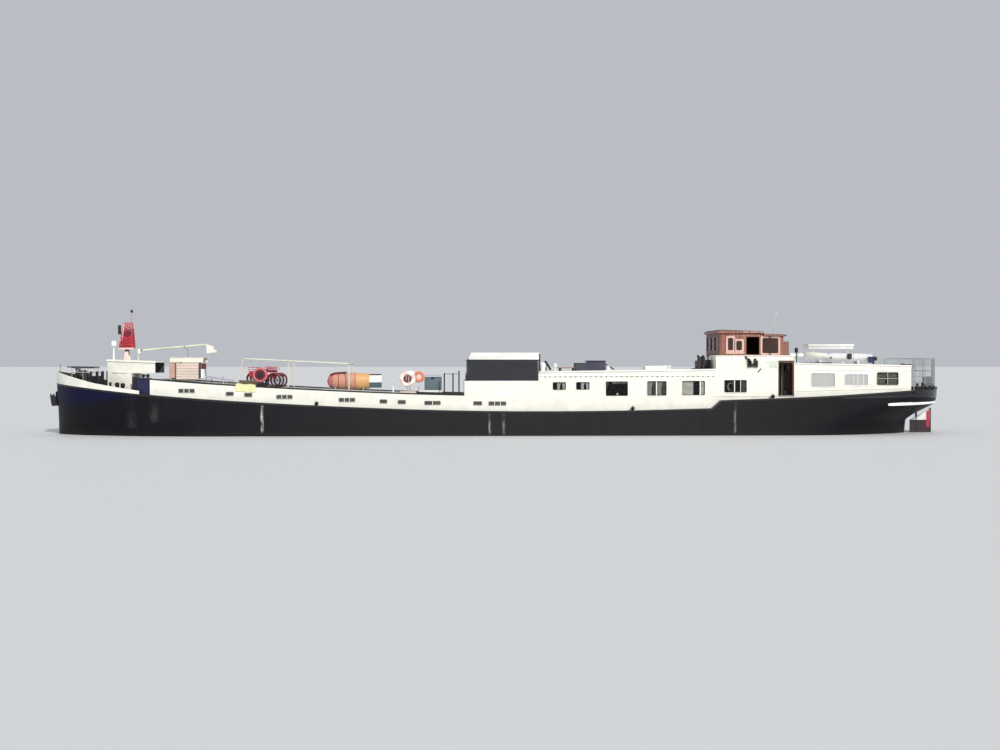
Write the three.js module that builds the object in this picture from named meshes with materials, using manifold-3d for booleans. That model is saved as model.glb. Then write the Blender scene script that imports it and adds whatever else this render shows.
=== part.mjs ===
import * as THREE from 'three';
import Module from 'manifold-3d';

// Hotel ship built from an old motor barge, 1:2 scale model, millimetres, bow towards -X, port side towards -Y.
// The origin is on the flat keel plate amidships and the water comes to WATER_Z.

const wasm = await Module();
wasm.setup();

// Main dimensions
const STEM_X = -11500;
const STERN_X = 11500;
const HALF_BEAM = 1575;
const WATER_Z = 600;
const BILGE_RADIUS = 260;
const EDGE_HALF = 20;
const SIDE_DECK = 250;
const HOUSE_Y = HALF_BEAM - SIDE_DECK;
const WALL = 20;
const GAP = 0.3;

// Height of the deck edge along the ship, before and after the step under the wheelhouse
const FORE_SHEER = [
  [-11500, 1925], [-10300, 1790], [-9500, 1702], [-8800, 1632], [-7380, 1520], [-5915, 1430],
  [-4083, 1337], [-2251, 1265], [-419, 1224], [1413, 1215], [3245, 1233], [5297, 1285],
];
const AFT_SHEER = [[5530, 1489], [7825, 1572], [9200, 1650], [10450, 1735], [11500, 1815]];
const STEP_FORE = 5297;
const STEP_AFT = 5530;

// Ends of the hull at each height
const FOREFOOT_RISE = 520;
const FOREFOOT_CUT = 420;
const STEM_RAKE = 40;
const STERN_PROFILE = [
  [0, 10330], [540, 10330], [600, 10700], [958, 10735], [1101, 10940], [1363, 11440], [1450, 11490],
  [1815, 11500],
];
const BOW_LENGTHS = [[0, 5200], [300, 4700], [600, 4100], [1200, 3500], [1925, 3100]];
const STERN_LENGTHS = [[0, 4800], [300, 4200], [600, 3300], [958, 2600], [1363, 1900], [1815, 1800]];
const LOW_LEVELS = [0, 30, 90, 180, 300, 440, 540, 600];
const HIGH_LEVELS = [0.3, 0.5, 0.65, 0.73, 0.87, 1];

// Superstructure
const HOUSE_FRONT = -966;
const LOUNGE_AFT = 910;
const BASE_FRONT = 5433;
const BASE_AFT = 7464;
const CABIN_AFT = 10452;
const SILL_Z = 1985;
const BASE_TOP = 2611;
const HOUSE_ROOF_FORE = 2183;
const HOUSE_ROOF_AFT = 2247;
const CABIN_TOP_FORE = 2404;
const CABIN_TOP_AFT = 2340;
const ROOF_THICK = 40;
const TRUNK_FRONT = -8863;
const TRUNK_HEIGHT = 375;

// Joints
const RUDDER_X = 11020;
const PROP_X = 10600;
const PROP_Z = 300;
const PROP_RADIUS = 215;
const MAST_PIVOT = [-9720, 2700];
const BOOM_PIVOT = [-9400, 2765];
const SEAT_PIVOT_Z = 2470;

const lerp = (a, b, t) => a + (b - a) * t;

function tableValue(table, x) {
  if (x <= table[0][0]) return table[0][1];
  for (let i = 1; i < table.length; i += 1) {
    if (x <= table[i][0]) {
      const [x0, y0] = table[i - 1];
      const [x1, y1] = table[i];
      return lerp(y0, y1, (x - x0) / (x1 - x0));
    }
  }
  return table[table.length - 1][1];
}

function smoothValue(table, x) {
  const last = table.length - 1;
  const slope = (i) => {
    const a = table[Math.max(i - 1, 0)];
    const b = table[Math.min(i + 1, last)];
    return (b[1] - a[1]) / (b[0] - a[0]);
  };
  let i = 0;
  while (i < last - 1 && x > table[i + 1][0]) i += 1;
  const [x0, y0] = table[i];
  const [x1, y1] = table[i + 1];
  const h = x1 - x0;
  const t = Math.min(Math.max((x - x0) / h, 0), 1);
  const s0 = slope(i) * h;
  const s1 = slope(i + 1) * h;
  return (2 * t ** 3 - 3 * t ** 2 + 1) * y0 + (t ** 3 - 2 * t ** 2 + t) * s0
    + (3 * t ** 2 - 2 * t ** 3) * y1 + (t ** 3 - t ** 2) * s1;
}

function sheerZ(x) {
  if (x <= STEP_FORE) return smoothValue(FORE_SHEER, x);
  if (x >= STEP_AFT) return smoothValue(AFT_SHEER, x);
  return lerp(FORE_SHEER[FORE_SHEER.length - 1][1], AFT_SHEER[0][1],
    (x - STEP_FORE) / (STEP_AFT - STEP_FORE));
}

// Stations along the ship, close together at the ends
const STATIONS = [
  -11500, -11485, -11440, -11365, -11260, -11120, -10950, -10740, -10490, -10200, -9870, -9500, -9090,
    -8640, -8150,
  -7500, -6700, -5900, -5000, -4083, -3160, -2251, -1330, -419, 500, 1413, 2330, 3245, 4270, 5297, 5530,
    6300, 7100,
  7825, 8300, 8750, 9180, 9580, 9950, 10290, 10590, 10830, 11020, 11180, 11300, 11390, 11450, 11485, 11500,
];

function deckZ(x) {
  let i = 0;
  while (i < STATIONS.length - 2 && x > STATIONS[i + 1]) i += 1;
  const t = (x - STATIONS[i]) / (STATIONS[i + 1] - STATIONS[i]);
  return lerp(sheerZ(STATIONS[i]), sheerZ(STATIONS[i + 1]), t);
}

function deckLine(x0, x1, offset) {
  const inner = STATIONS.filter((x) => x > x0 + 1 && x < x1 - 1);
  return [x0, ...inner, x1].map((x) => [x, deckZ(x) + offset]);
}

const stemX = (z) => STEM_X + STEM_RAKE * (1 - z / 1925) + FOREFOOT_CUT * Math.max(0,
  1 - z / FOREFOOT_RISE) ** 2;
const sternX = (z) => tableValue(STERN_PROFILE, z);

function endFactor(t, sharp, full) {
  const s = Math.min(Math.max(t, 0), 1);
  return (1 - (1 - s) ** sharp) ** (1 / full);
}

function halfBreadth(x, z) {
  const rise = Math.min(Math.max(z / 1800, 0), 1);
  const bow = endFactor((x - stemX(z)) / tableValue(BOW_LENGTHS, z), lerp(1.7, 2.3, rise),
    lerp(1.15, 2.0, rise));
  const stern = endFactor((sternX(z) - x) / tableValue(STERN_LENGTHS, z), lerp(1.7, 2.2, rise),
    lerp(1.0, 2.0, rise));
  const fill = bow * stern;
  const low = Math.max(0, 1 - z / BILGE_RADIUS);
  const bilge = BILGE_RADIUS * fill * (1 - Math.sqrt(1 - low ** 2));
  return Math.max(EDGE_HALF, HALF_BEAM * fill - bilge);
}

// Closed solids
function solid(points, faces) {
  let volume = 0;
  for (const [a, b, c] of faces) {
    const [p, q, r] = [points[a], points[b], points[c]];
    volume += p[0] * (q[1] * r[2] - q[2] * r[1]) + p[1] * (q[2] * r[0] - q[0] * r[2])
      + p[2] * (q[0] * r[1] - q[1] * r[0]);
  }
  const geometry = new THREE.BufferGeometry();
  geometry.setAttribute('position', new THREE.Float32BufferAttribute(points.flat(), 3));
  geometry.setIndex(faces.map(([a, b, c]) => (volume < 0 ? [a, c, b] : [a, b, c])).flat());
  return geometry;
}

function toManifold(geometry) {
  const vertProperties = new Float32Array(geometry.attributes.position.array);
  const triVerts = new Uint32Array(geometry.index.array);
  return new wasm.Manifold(new wasm.Mesh({ numProp: 3, vertProperties, triVerts }));
}

function fromManifold(shape) {
  const mesh = shape.getMesh();
  const geometry = new THREE.BufferGeometry();
  const points = [];
  for (let i = 0; i < mesh.vertProperties.length; i += mesh.numProp) {
    points.push(mesh.vertProperties[i], mesh.vertProperties[i + 1], mesh.vertProperties[i + 2]);
  }
  geometry.setAttribute('position', new THREE.Float32BufferAttribute(points, 3));
  geometry.setIndex(Array.from(mesh.triVerts));
  return geometry;
}

function join(parts) {
  let shape = toManifold(parts[0]);
  for (const part of parts.slice(1)) shape = shape.add(toManifold(part));
  return fromManifold(shape);
}

function cut(base, tools) {
  let shape = toManifold(base);
  for (const tool of tools) shape = shape.subtract(toManifold(tool));
  return fromManifold(shape);
}

// A flat outline pushed along one axis; the outline holds the other two coordinates in X, Y, Z order
function prism(axis, outline, low, high, holes = []) {
  const flat = outline.map(([u, v]) => new THREE.Vector2(u, v));
  if (THREE.ShapeUtils.isClockWise(flat)) flat.reverse();
  const caps = THREE.ShapeUtils.triangulateShape(flat, []);
  const place = (p, w) => {
    if (axis === 'x') return [w, p.x, p.y];
    return axis === 'y' ? [p.x, w, p.y] : [p.x, p.y, w];
  };
  const points = [...flat.map((p) => place(p, low)), ...flat.map((p) => place(p, high))];
  const count = flat.length;
  const faces = caps.flatMap(([a, b, c]) => [[a, c, b], [a + count, b + count, c + count]]);
  for (let a = 0; a < count; a += 1) {
    const b = (a + 1) % count;
    faces.push([a, b, b + count], [a, b + count, a + count]);
  }
  const body = solid(points, faces);
  return holes.length ? cut(body, holes.map((hole) => prism(axis, hole, low - 10, high + 10))) : body;
}

// What is left of a piece above a line of [x, z] points
function above(line, geometry) {
  const [first, last] = [line[0], line[line.length - 1]];
  return cut(geometry, [prism('y', [...line, [last[0], first[1] - 900], [first[0], first[1] - 900]], -2000,
    2000)]);
}

const rect = (u0, u1, v0, v1) => [[u0, v0], [u1, v0], [u1, v1], [u0, v1]];
const box = (x0, x1, y0, y1, z0, z1) => prism('z', rect(x0, x1, y0, y1), z0, z1);

function ringPoints(centre, direction, radius, sides, turn = 0) {
  const axis = new THREE.Vector3(...direction).normalize();
  const help = Math.abs(axis.z) > 0.9 ? new THREE.Vector3(1, 0, 0) : new THREE.Vector3(0, 0, 1);
  const u = new THREE.Vector3().crossVectors(axis, help).normalize();
  const v = new THREE.Vector3().crossVectors(axis, u);
  return Array.from({ length: sides }, (_, i) => {
    const a = (2 * Math.PI * i) / sides + turn;
    return [0, 1, 2].map((k) => centre[k]
      + radius * (Math.cos(a) * u.getComponent(k) + Math.sin(a) * v.getComponent(k)));
  });
}

// A solid of revolution: rows of [distance along the axis, radius] from one closed tip to the other
function turned(start, direction, rows, sides = 16) {
  const axis = new THREE.Vector3(...direction).normalize();
  const at = (d) => [0, 1, 2].map((k) => start[k] + axis.getComponent(k) * d);
  const points = [at(rows[0][0])];
  for (const [d, radius] of rows) points.push(...ringPoints(at(d), direction, radius, sides));
  points.push(at(rows[rows.length - 1][0]));
  const faces = [];
  const top = points.length - 1;
  const base = (row) => 1 + row * sides;
  for (let i = 0; i < sides; i += 1) {
    const j = (i + 1) % sides;
    faces.push([0, base(0) + j, base(0) + i], [top, base(rows.length - 1) + i, base(rows.length - 1) + j]);
    for (let row = 0; row < rows.length - 1; row += 1) {
      const [a, b] = [base(row), base(row + 1)];
      faces.push([a + i, a + j, b + j], [a + i, b + j, b + i]);
    }
  }
  return solid(points, faces);
}

function rod(from, to, radius, sides = 8) {
  const direction = [0, 1, 2].map((k) => to[k] - from[k]);
  return turned(from, direction, [[0, radius], [Math.hypot(...direction), radius]], sides);
}

function ring(centre, direction, radius, thick, around = 20, sides = 6) {
  const axis = new THREE.Vector3(...direction).normalize();
  const points = [];
  const spokes = ringPoints([0, 0, 0], direction, 1, around);
  for (const spoke of spokes) {
    for (let j = 0; j < sides; j += 1) {
      const a = (2 * Math.PI * j) / sides;
      points.push([0, 1, 2].map((k) => centre[k] + spoke[k] * (radius + thick * Math.cos(a))
        + axis.getComponent(k) * thick * Math.sin(a)));
    }
  }
  const faces = [];
  for (let i = 0; i < around; i += 1) {
    for (let j = 0; j < sides; j += 1) {
      const [a, b] = [i * sides + j, i * sides + ((j + 1) % sides)];
      const [c, d] = [((i + 1) % around) * sides + j, ((i + 1) % around) * sides + ((j + 1) % sides)];
      faces.push([a, c, d], [a, d, b]);
    }
  }
  return solid(points, faces);
}

// Rows of equally long closed sections joined into one solid; mirrored sections are capped level by level
function loft(sections, mirrored = false) {
  const n = sections[0].length;
  const points = sections.flat();
  const faces = [];
  for (let i = 0; i < sections.length - 1; i += 1) {
    for (let j = 0; j < n; j += 1) {
      const [a, b] = [i * n + j, i * n + ((j + 1) % n)];
      faces.push([a, b, b + n], [a, b + n, a + n]);
    }
  }
  const capFaces = (first, reverse) => {
    const cap = [];
    for (let j = 1; j < n - 1 && !mirrored; j += 1) cap.push([0, j, j + 1]);
    for (let j = 0; j < n / 2 - 1 && mirrored; j += 1) {
      cap.push([j, j + 1, n - 2 - j]);
      cap.push([j, n - 2 - j, n - 1 - j]);
    }
    for (const [a, b, c] of cap.filter(([i, j, k]) => i !== j && j !== k && i !== k)) {
      faces.push(reverse ? [first + a, first + c, first + b] : [first + a, first + b, first + c]);
    }
  };
  capFaces(0, true);
  capFaces((sections.length - 1) * n, false);
  return solid(points, faces);
}

// Hull: sections from the keel plate up both sides to a flat deck
function hullSection(x) {
  const bowShare = Math.max(0, 1 - (x - STEM_X) / 2500) ** 2;
  const sternShare = Math.max(0, 1 - (STERN_X - x) / 3500) ** 2;
  const top = sheerZ(x);
  const levels = [...LOW_LEVELS, ...HIGH_LEVELS.map((share) => lerp(WATER_Z, top, share))];
  const side = levels.map((z) => {
    const px = x + (stemX(z) - STEM_X) * bowShare + (sternX(z) - STERN_X) * sternShare;
    return [px, halfBreadth(px, z), z];
  });
  return [...side.map(([px, y, z]) => [px, -y, z]).reverse(), ...side];
}

function hull() {
  const body = loft(STATIONS.map(hullSection), true);
  const skeg = prism('y', [[9600, 1], [11120, 1], [11120, 60], [10200, 60], [9600, 160]], -30, 30);
  const sternTube = turned([10100, 0, PROP_Z], [1, 0, 0], [[0, 62], [330, 62], [370, 48]], 16);
  const rudderTrunk = rod([RUDDER_X, 0, 1000], [RUDDER_X, 0, 1330], 34, 16);
  const well = prism('z', [
    [10640, -1190], [10900, -1010], [11150, -740], [11330, -430], [11420, -150],
    [11420, 150], [11330, 430], [11150, 740], [10900, 1010], [10640, 1190],
  ], 1500, 1900);
  return cut(join([body, skeg, sternTube]), [rudderTrunk, well]);
}

function bowBulwark() {
  const heights = [[-11500, 290], [-10300, 130], [-9500, 85], [-9100, 70]];
  const xs = STATIONS.filter((x) => x < -9091).concat([-9090]);
  const edge = [...xs.map((x) => [x, -halfBreadth(x, sheerZ(x))]).reverse(),
    ...xs.map((x) => [x, halfBreadth(x, sheerZ(x))])];
  const sections = edge.map(([x, y], i) => {
    const a = edge[Math.max(i - 1, 0)];
    const b = edge[Math.min(i + 1, edge.length - 1)];
    const length = Math.hypot(b[0] - a[0], b[1] - a[1]);
    const nx = -(b[1] - a[1]) / length;
    const ny = (b[0] - a[0]) / length;
    const inward = nx * (-9000 - x) + ny * (0 - y) > 0 ? 1 : -1;
    const inset = (d) => [x + nx * inward * d, y + ny * inward * d];
    const [ox, oy] = inset(1.5);
    const [ix, iy] = inset(26);
    const rise = tableValue(heights, x);
    return [
      [ox, oy, deckZ(ox) + 0.6], [ix, iy, deckZ(ix) + 0.6], [ix, iy, deckZ(x) + rise], [ox, oy,
        deckZ(x) + rise],
    ];
  });
  return loft(sections);
}

function anchor() {
  const back = (z) => stemX(z) - 0.3;
  const shank = prism('y', [[back(1400), 1400], [back(1700), 1700], [-11560, 1700], [-11575, 1400]], -18, 18);
  const crown = prism('y', [[back(1330), 1330], [back(1420), 1420], [-11640, 1400], [-11620, 1320]], -150,
    150);
  const flukes = [-1, 1].map((side) => prism('y', [
    [-11590, 1340], [-11640, 1380], [-11672, 1600], [-11655, 1640], [-11610, 1560],
  ], side < 0 ? -145 : 85, side < 0 ? -85 : 145));
  return join([shank, crown, ...flukes]);
}

function foredeckGear() {
  const bed = prism('y', [...deckLine(-11150, -10180, -20), [-10180, deckZ(-10180) + 14],
    [-11150, deckZ(-11150) + 14]], -260, 260);
  const beam = prism('y', [...deckLine(-10330, -10180, -20), [-10180, deckZ(-10180) + 14],
    [-10330, deckZ(-10330) + 14]], -1120, 1120);
  const wings = [-1, 1].map((side) => prism('y', [...deckLine(-10330, -9560, -20), [-9560, deckZ(-9560) + 14],
    [-10330, deckZ(-10330) + 14]], side < 0 ? -1180 : 1080, side < 0 ? -1080 : 1180));
  const cheeks = [-1, 1].map((side) => prism('y', [
    [-11080, 1870], [-10700, 1840], [-10720, 2140], [-10850, 2260], [-11000, 2200],
  ], side * 190 - 14, side * 190 + 14));
  const barrels = [
    turned([-10880, -330, 2110], [0, 1, 0], [[0, 70], [40, 55], [110, 55], [130, 95], [230, 95], [250, 60],
      [410, 60],
      [430, 95], [530, 95], [550, 55], [620, 55], [660, 70]], 14),
    rod([-10990, -200, 2290], [-10990, 200, 2290], 26, 10),
    rod([-10990, -120, 2130], [-10990, -120, 2300], 18, 8),
    rod([-10990, 120, 2130], [-10990, 120, 2300], 18, 8),
    box(-11060, -10960, -210, 210, 1950, 2140),
  ];
  const posts = [];
  for (const side of [-1, 1]) {
    for (const x of [-9990, -9890, -9700, -9600]) {
      posts.push(turned([x, side * 1130, deckZ(x) + 4], [0, 0, 1], [[0, 30], [170, 30], [180, 40],
        [200, 34]], 10));
    }
  }
  return above(deckLine(-11400, -9000, 0.5), join([bed, beam, ...wings, ...cheeks, ...barrels, ...posts]));
}

const BOW_HOUSE_Y = 600;

function bowHouse() {
  const sideOutline = [...deckLine(-10087, -9472, -30), [-9472, 2176], [-8877, 2176], [-8877, 2455],
    [-10087, 2500]];
  const sides = [-1, 1].map((side) => prism('y', sideOutline, ...(side < 0
    ? [-BOW_HOUSE_Y, -BOW_HOUSE_Y + WALL] : [BOW_HOUSE_Y - WALL, BOW_HOUSE_Y])));
  const front = prism('x', rect(-BOW_HOUSE_Y, BOW_HOUSE_Y, deckZ(-10087) - 30, 2480), -10087, -10067);
  const aft = prism('x', rect(-BOW_HOUSE_Y, BOW_HOUSE_Y, deckZ(-9492) - 30, 2470), -9492, -9472,
    [rect(-250, 250, 1760, 2380)]);
  const roof = prism('y', [[-10110, 2490], [-8860, 2443], [-8860, 2483], [-10110, 2530]],
    -BOW_HOUSE_Y - 25, BOW_HOUSE_Y + 25);
  const cheeks = [-1, 1].map((side) => prism('y', [[-9790, 2500], [-9650, 2500], [-9680, 2740],
    [-9760, 2740]],
    side < 0 ? -84.4 : 60.4, side < 0 ? -60.4 : 84.4));
  const boomPost = box(-9440, -9400 - 30, -20, 20, 2490, 2700);
  const boomFork = [-1, 1].map((side) => prism('y', [[-9440, 2690], [-9370, 2690], [-9370, 2800],
    [-9440, 2800]],
    side < 0 ? -46 : 28.4, side < 0 ? -28.4 : 46));
  const boomSeat = box(-9440, -9370, -46, 46, 2690, 2710);
  const lampPole = turned([-9990, -330, 2500], [0, 0, 1], [[0, 60], [60, 22], [380, 18]], 10);
  const lamp = turned([-9990, -330, 2870], [0, 0, 1], [[0, 20], [10, 40], [45, 62], [90, 62], [120, 42],
    [135, 12]], 14);
  return above(deckLine(-10300, -8700, 0.5),
    join([...sides, front, aft, roof, ...cheeks, boomPost, boomSeat, ...boomFork, lampPole, lamp]));
}

const bowLocker = () => above(deckLine(-9400, -8700, 0.5), box(-9210, -8890, -1310, -970, 1400, 2062));

const knuckles = (x, y, levels) => levels.map((z) => rod([x, y, z], [x, y, z + 70], 4.6, 12));

const bowHouseDoor = () => join([box(-9490, -9474, -244, 245, 1766, 2374), box(-9480, -9462, -215, -195,
  2040, 2090),
  ...knuckles(-9474, 245, [1850, 2220])]);

function mast() {
  const [px, pz] = MAST_PIVOT;
  const foot = box(px - 45, px + 45, -60, 60, pz - 60, pz + 90);
  const plate = box(px - 190, px + 190, -190, 190, pz + 90, pz + 130);
  const legs = [];
  for (const sx of [-1, 1]) {
    for (const sy of [-1, 1]) {
      legs.push(rod([px + sx * 170, sy * 170, pz + 120], [px + sx * 95 + 30, sy * 80, pz + 780], 15, 6));
    }
  }
  const rings = [];
  for (const [level, spread] of [[330, 0.32], [550, 0.65], [765, 0.98]]) {
    const hx = lerp(170, 95, spread);
    const hy = lerp(170, 80, spread);
    const cx = px + 30 * spread;
    rings.push(box(cx - hx - 6, cx + hx + 6, -hy - 6, -hy + 6, pz + level - 8, pz + level + 8));
    rings.push(box(cx - hx - 6, cx + hx + 6, hy - 6, hy + 6, pz + level - 8, pz + level + 8));
    rings.push(box(cx - hx - 6, cx - hx + 6, -hy - 6, hy + 6, pz + level - 8, pz + level + 8));
    rings.push(box(cx + hx - 6, cx + hx + 6, -hy - 6, hy + 6, pz + level - 8, pz + level + 8));
  }
  const topPlate = box(px - 75, px + 135, -90, 90, pz + 770, pz + 790);
  const pole = rod([px + 120, 0, pz + 778], [px + 120, 0, pz + 1050], 10, 8);
  const lamp = turned([px + 120, 0, pz + 1045], [0, 0, 1], [[0, 16], [6, 32], [60, 32], [70, 18]], 12);
  const sideLamp = join([box(px - 230, px - 160, -24, 24, pz + 480, pz + 720),
    box(px - 170, px - 60, -10, 10, pz + 552, pz + 568)]);
  return join([foot, plate, ...legs, ...rings, topPlate, pole, lamp, sideLamp]);
}

function boom() {
  const [px, pz] = BOOM_PIVOT;
  const spar = turned([px + 60, 0, pz + 3], [1710, 0, 153], [[0, 26], [60, 30], [1710, 20]], 10);
  const heel = rod([px, -28, pz], [px, 28, pz], 26, 12);
  const neck = box(px, px + 80, -20, 20, pz - 18, pz + 24);
  const tip = join([box(px + 1745, px + 1800, -90, 90, pz + 105, pz + 165),
    box(px + 1745, px + 1980, -90, -70, pz - 70, pz + 130), box(px + 1745, px + 1980, 70, 90, pz - 70,
    pz + 130)]);
  return join([spar, heel, neck, tip]);
}

function trunkTop(x) {
  return deckZ(x) + TRUNK_HEIGHT;
}

function trunkLine(x0, x1, offset) {
  return deckLine(x0, x1, TRUNK_HEIGHT + offset);
}

const trunk = () => prism('y', [...deckLine(TRUNK_FRONT, HOUSE_FRONT - GAP, 0.5),
  ...trunkLine(TRUNK_FRONT, HOUSE_FRONT - GAP, 0).reverse()], -HOUSE_Y, HOUSE_Y);

const CRUTCH_X = -8230;

function boomCrutch() {
  const base = trunkTop(CRUTCH_X);
  const sparZ = BOOM_PIVOT[1] + ((CRUTCH_X - BOOM_PIVOT[0] - 20) * 157) / 1750;
  const foot = prism('y', [[CRUTCH_X - 60, base - 30], [CRUTCH_X + 60, base - 30],
    [CRUTCH_X + 60, base + 14], [CRUTCH_X - 60, base + 14]], 340, 460);
  const post = rod([CRUTCH_X, 400, base + 10], [CRUTCH_X, 400, sparZ - 60], 14, 8);
  const arm = rod([CRUTCH_X, 405, sparZ - 66], [CRUTCH_X, -30, sparZ - 44], 12, 8);
  const fork = [-1, 1].map((side) => box(CRUTCH_X - 12, CRUTCH_X + 12, side * 40 - 6, side * 40 + 6,
    sparZ - 60, sparZ + 30));
  const seat = box(CRUTCH_X - 12, CRUTCH_X + 12, -46, 46, sparZ - 60, sparZ - 32);
  return above(trunkLine(CRUTCH_X - 300, CRUTCH_X + 300, 0.5), join([foot, post, arm, seat, ...fork]));
}

const SEAT = { x0: -8500, x1: -7650, y0: -640, y1: 60 };
const SEAT_PANEL = { x0: -8351, x1: -7770, low: 2020, high: 2440 };

function seatFrame() {
  const parts = [];
  const midY = (SEAT.y0 + SEAT.y1) / 2;
  for (const x of [SEAT.x0 + 20, SEAT.x1 - 20]) {
    for (const y of [SEAT.y0 + 30, SEAT.y1 - 30]) {
      parts.push(rod([x, y, trunkTop(x) + 6], [x, midY, SEAT_PIVOT_Z + 20], 14, 8));
    }
    parts.push(prism('y', [[x - 20, trunkTop(x) - 30], [x + 20, trunkTop(x) - 30],
      [x + 20, trunkTop(x) + 20], [x - 20, trunkTop(x) + 20]], SEAT.y0, SEAT.y1));
  }
  parts.push(box(SEAT_PANEL.x0, SEAT_PANEL.x1, SEAT.y0 + 5, SEAT.y0 + 25, SEAT_PANEL.low, SEAT_PANEL.high));
  for (const x of [SEAT_PANEL.x0 + 40, SEAT_PANEL.x1 - 40]) {
    parts.push(box(x - 15, x + 15, SEAT.y0 + 8, SEAT.y0 + 22, SEAT_PANEL.high - 20, SEAT_PIVOT_Z + 45));
  }
  parts.push(rod([SEAT.x0 + 20, midY, SEAT_PIVOT_Z + 20], [SEAT.x1 - 20, midY, SEAT_PIVOT_Z + 20], 16, 8));
  const roof = prism('x', [[SEAT.y0, SEAT_PIVOT_Z + 30], [SEAT.y0 + 30, SEAT_PIVOT_Z + 80], [midY,
    SEAT_PIVOT_Z + 115],
    [SEAT.y1 - 30, SEAT_PIVOT_Z + 80], [SEAT.y1, SEAT_PIVOT_Z + 30], [SEAT.y1 - 20, SEAT_PIVOT_Z + 20],
    [SEAT.y0 + 20, SEAT_PIVOT_Z + 20]], SEAT.x0, SEAT.x1);
  return above(trunkLine(SEAT.x0 - 200, SEAT.x1 + 200, 0.5), join([...parts, roof]));
}

function seatBench() {
  const midY = (SEAT.y0 + SEAT.y1) / 2;
  const x0 = SEAT.x0 + 70;
  const x1 = SEAT.x1 - 70;
  const low = 2150;
  const parts = [box(x0, x1, midY - 220, midY + 180, low, low + 40),
    prism('x', [[midY + 150, low + 20], [midY + 190, low + 20], [midY + 240, low + 260],
      [midY + 200, low + 260]], x0, x1)];
  for (const x of [x0 + 10, x1 - 10]) {
    parts.push(rod([x, midY - 190, low + 20], [x, midY, SEAT_PIVOT_Z - 30], 9, 6));
    parts.push(rod([x, midY + 160, low + 20], [x, midY, SEAT_PIVOT_Z - 30], 9, 6));
    parts.push(rod([x, midY, SEAT_PIVOT_Z - 55], [x, midY, SEAT_PIVOT_Z + 3.5], 12, 6));
  }
  return join(parts);
}

function pergola() {
  const parts = [];
  const top = (x) => lerp(2557, 2427, (x + 6596) / 2707) - 12;
  const rows = [-880, 520];
  for (const y of rows) {
    parts.push(rod([-6730, y, trunkTop(-6730) + 8], [-6596, y, top(-6596)], 14, 8));
    for (const x of [-5459, -3912]) parts.push(rod([x, y, trunkTop(x) + 8], [x, y, top(x)], 14, 8));
    parts.push(rod([-6606, y, top(-6606)], [-3900, y, top(-3900)], 14, 8));
    for (const x of [-6730, -5459, -3912]) {
      parts.push(prism('y', [[x - 40, trunkTop(x) - 30], [x + 40, trunkTop(x) - 30],
        [x + 40, trunkTop(x) + 14], [x - 40, trunkTop(x) + 14]], y - 40, y + 40));
    }
  }
  for (const x of [-6596, -5459, -3912]) parts.push(rod([x, rows[0], top(x)], [x, rows[1], top(x)], 12, 8));
  return above(trunkLine(-6900, -3700, 0.5), join(parts));
}

function bicycles() {
  const parts = [];
  const foot = (x) => trunkTop(x) + 0.5;
  const bikes = [-560, -220, 120];
  parts.push(prism('y', [[-6480, foot(-6480) - 30], [-5700, foot(-5700) - 30], [-5700, foot(-5700) + 20],
    [-6480, foot(-6480) + 20]], -640, 200));
  bikes.forEach((y, i) => {
    const dx = i * 45 - 45;
    const [rear, front] = [-6330 + dx, -5810 + dx];
    const radius = 165;
    const [zr, zf] = [foot(rear) + radius + 24, foot(front) + radius + 24];
    parts.push(ring([rear, y, zr], [0, 1, 0], radius, 14, 16, 4));
    parts.push(ring([front, y, zf], [0, 1, 0], radius, 14, 16, 4));
    const crank = [rear + 215, y, zr - 25];
    const saddle = [rear + 150, y, zr + 240];
    const head = [front - 95, y, zf + 235];
    parts.push(rod([rear, y, zr], crank, 10, 6), rod([rear, y, zr], saddle, 10, 6), rod(crank, saddle, 10,
      6));
    parts.push(rod(crank, head, 11, 6), rod(saddle, head, 11, 6), rod([front, y, zf], head, 11, 6));
    parts.push(rod(head, [head[0] - 25, y, head[2] + 70], 10, 6));
    parts.push(rod([head[0] - 25, y - 120, head[2] + 70], [head[0] - 25, y + 120, head[2] + 70], 9, 6));
    parts.push(box(saddle[0] - 60, saddle[0] + 50, y - 30, y + 30, saddle[2] - 5, saddle[2] + 25));
    for (const [x, z] of [[rear, zr], [front, zf]]) {
      parts.push(rod([x, y - 20, z], [x, y + 20, z], 16, 6));
      parts.push(rod([x, y, z - 190], [x, y, z + 160], 6, 4));
    }
  });
  return above(trunkLine(-6700, -5400, 0.5), join(parts));
}

function deckBoat() {
  const rows = [[-4500, 90, 95], [-4440, 160, 160], [-4300, 205, 205], [-4000, 220, 222], [-3700, 215, 218],
    [-3420, 185, 190], [-3230, 140, 150], [-3070, 90, 110]];
  const sections = rows.map(([x, w, h]) => Array.from({ length: 12 }, (_, i) => {
    const a = (2 * Math.PI * i) / 12;
    return [x, -430 + w * Math.cos(a), 1966 + h * Math.sin(a)];
  }));
  const cradles = [-4280, -3560].map((x) => prism('x', [[-610, trunkTop(x) - 30], [-250, trunkTop(x) - 30],
    [-280, 1900], [-580, 1900]], x - 15, x + 15));
  return above(trunkLine(-4600, -3000, 0.5), join([loft(sections), ...cradles]));
}

function deckLocker() {
  const foot = (x) => trunkTop(x) + 0.5;
  const plinth = prism('y', [[-2160, foot(-2160) - 30], [-1540, foot(-1540) - 30], [-1540, 1740],
    [-2160, 1740]], -900, -420);
  const chest = box(-1985, -1545, -880, -440, 1730, 2090);
  const lid = prism('x', [[-895, 2080], [-425, 2080], [-425, 2130], [-895, 2112]], -2000, -1530);
  const posts = [-1476, -1256].map((x) => rod([x, -1200, 1610], [x, -1200, 2180], 12, 8));
  const tie = box(-1560, -1240, -1215, -1185, foot(-1560) - 30, foot(-1560) + 26);
  const link = box(-1560, -1530, -1200, -800, foot(-1560) - 30, foot(-1560) + 26);
  return above(trunkLine(-2300, -1000, 0.5), join([plinth, chest, lid, tie, link, ...posts]));
}

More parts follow.
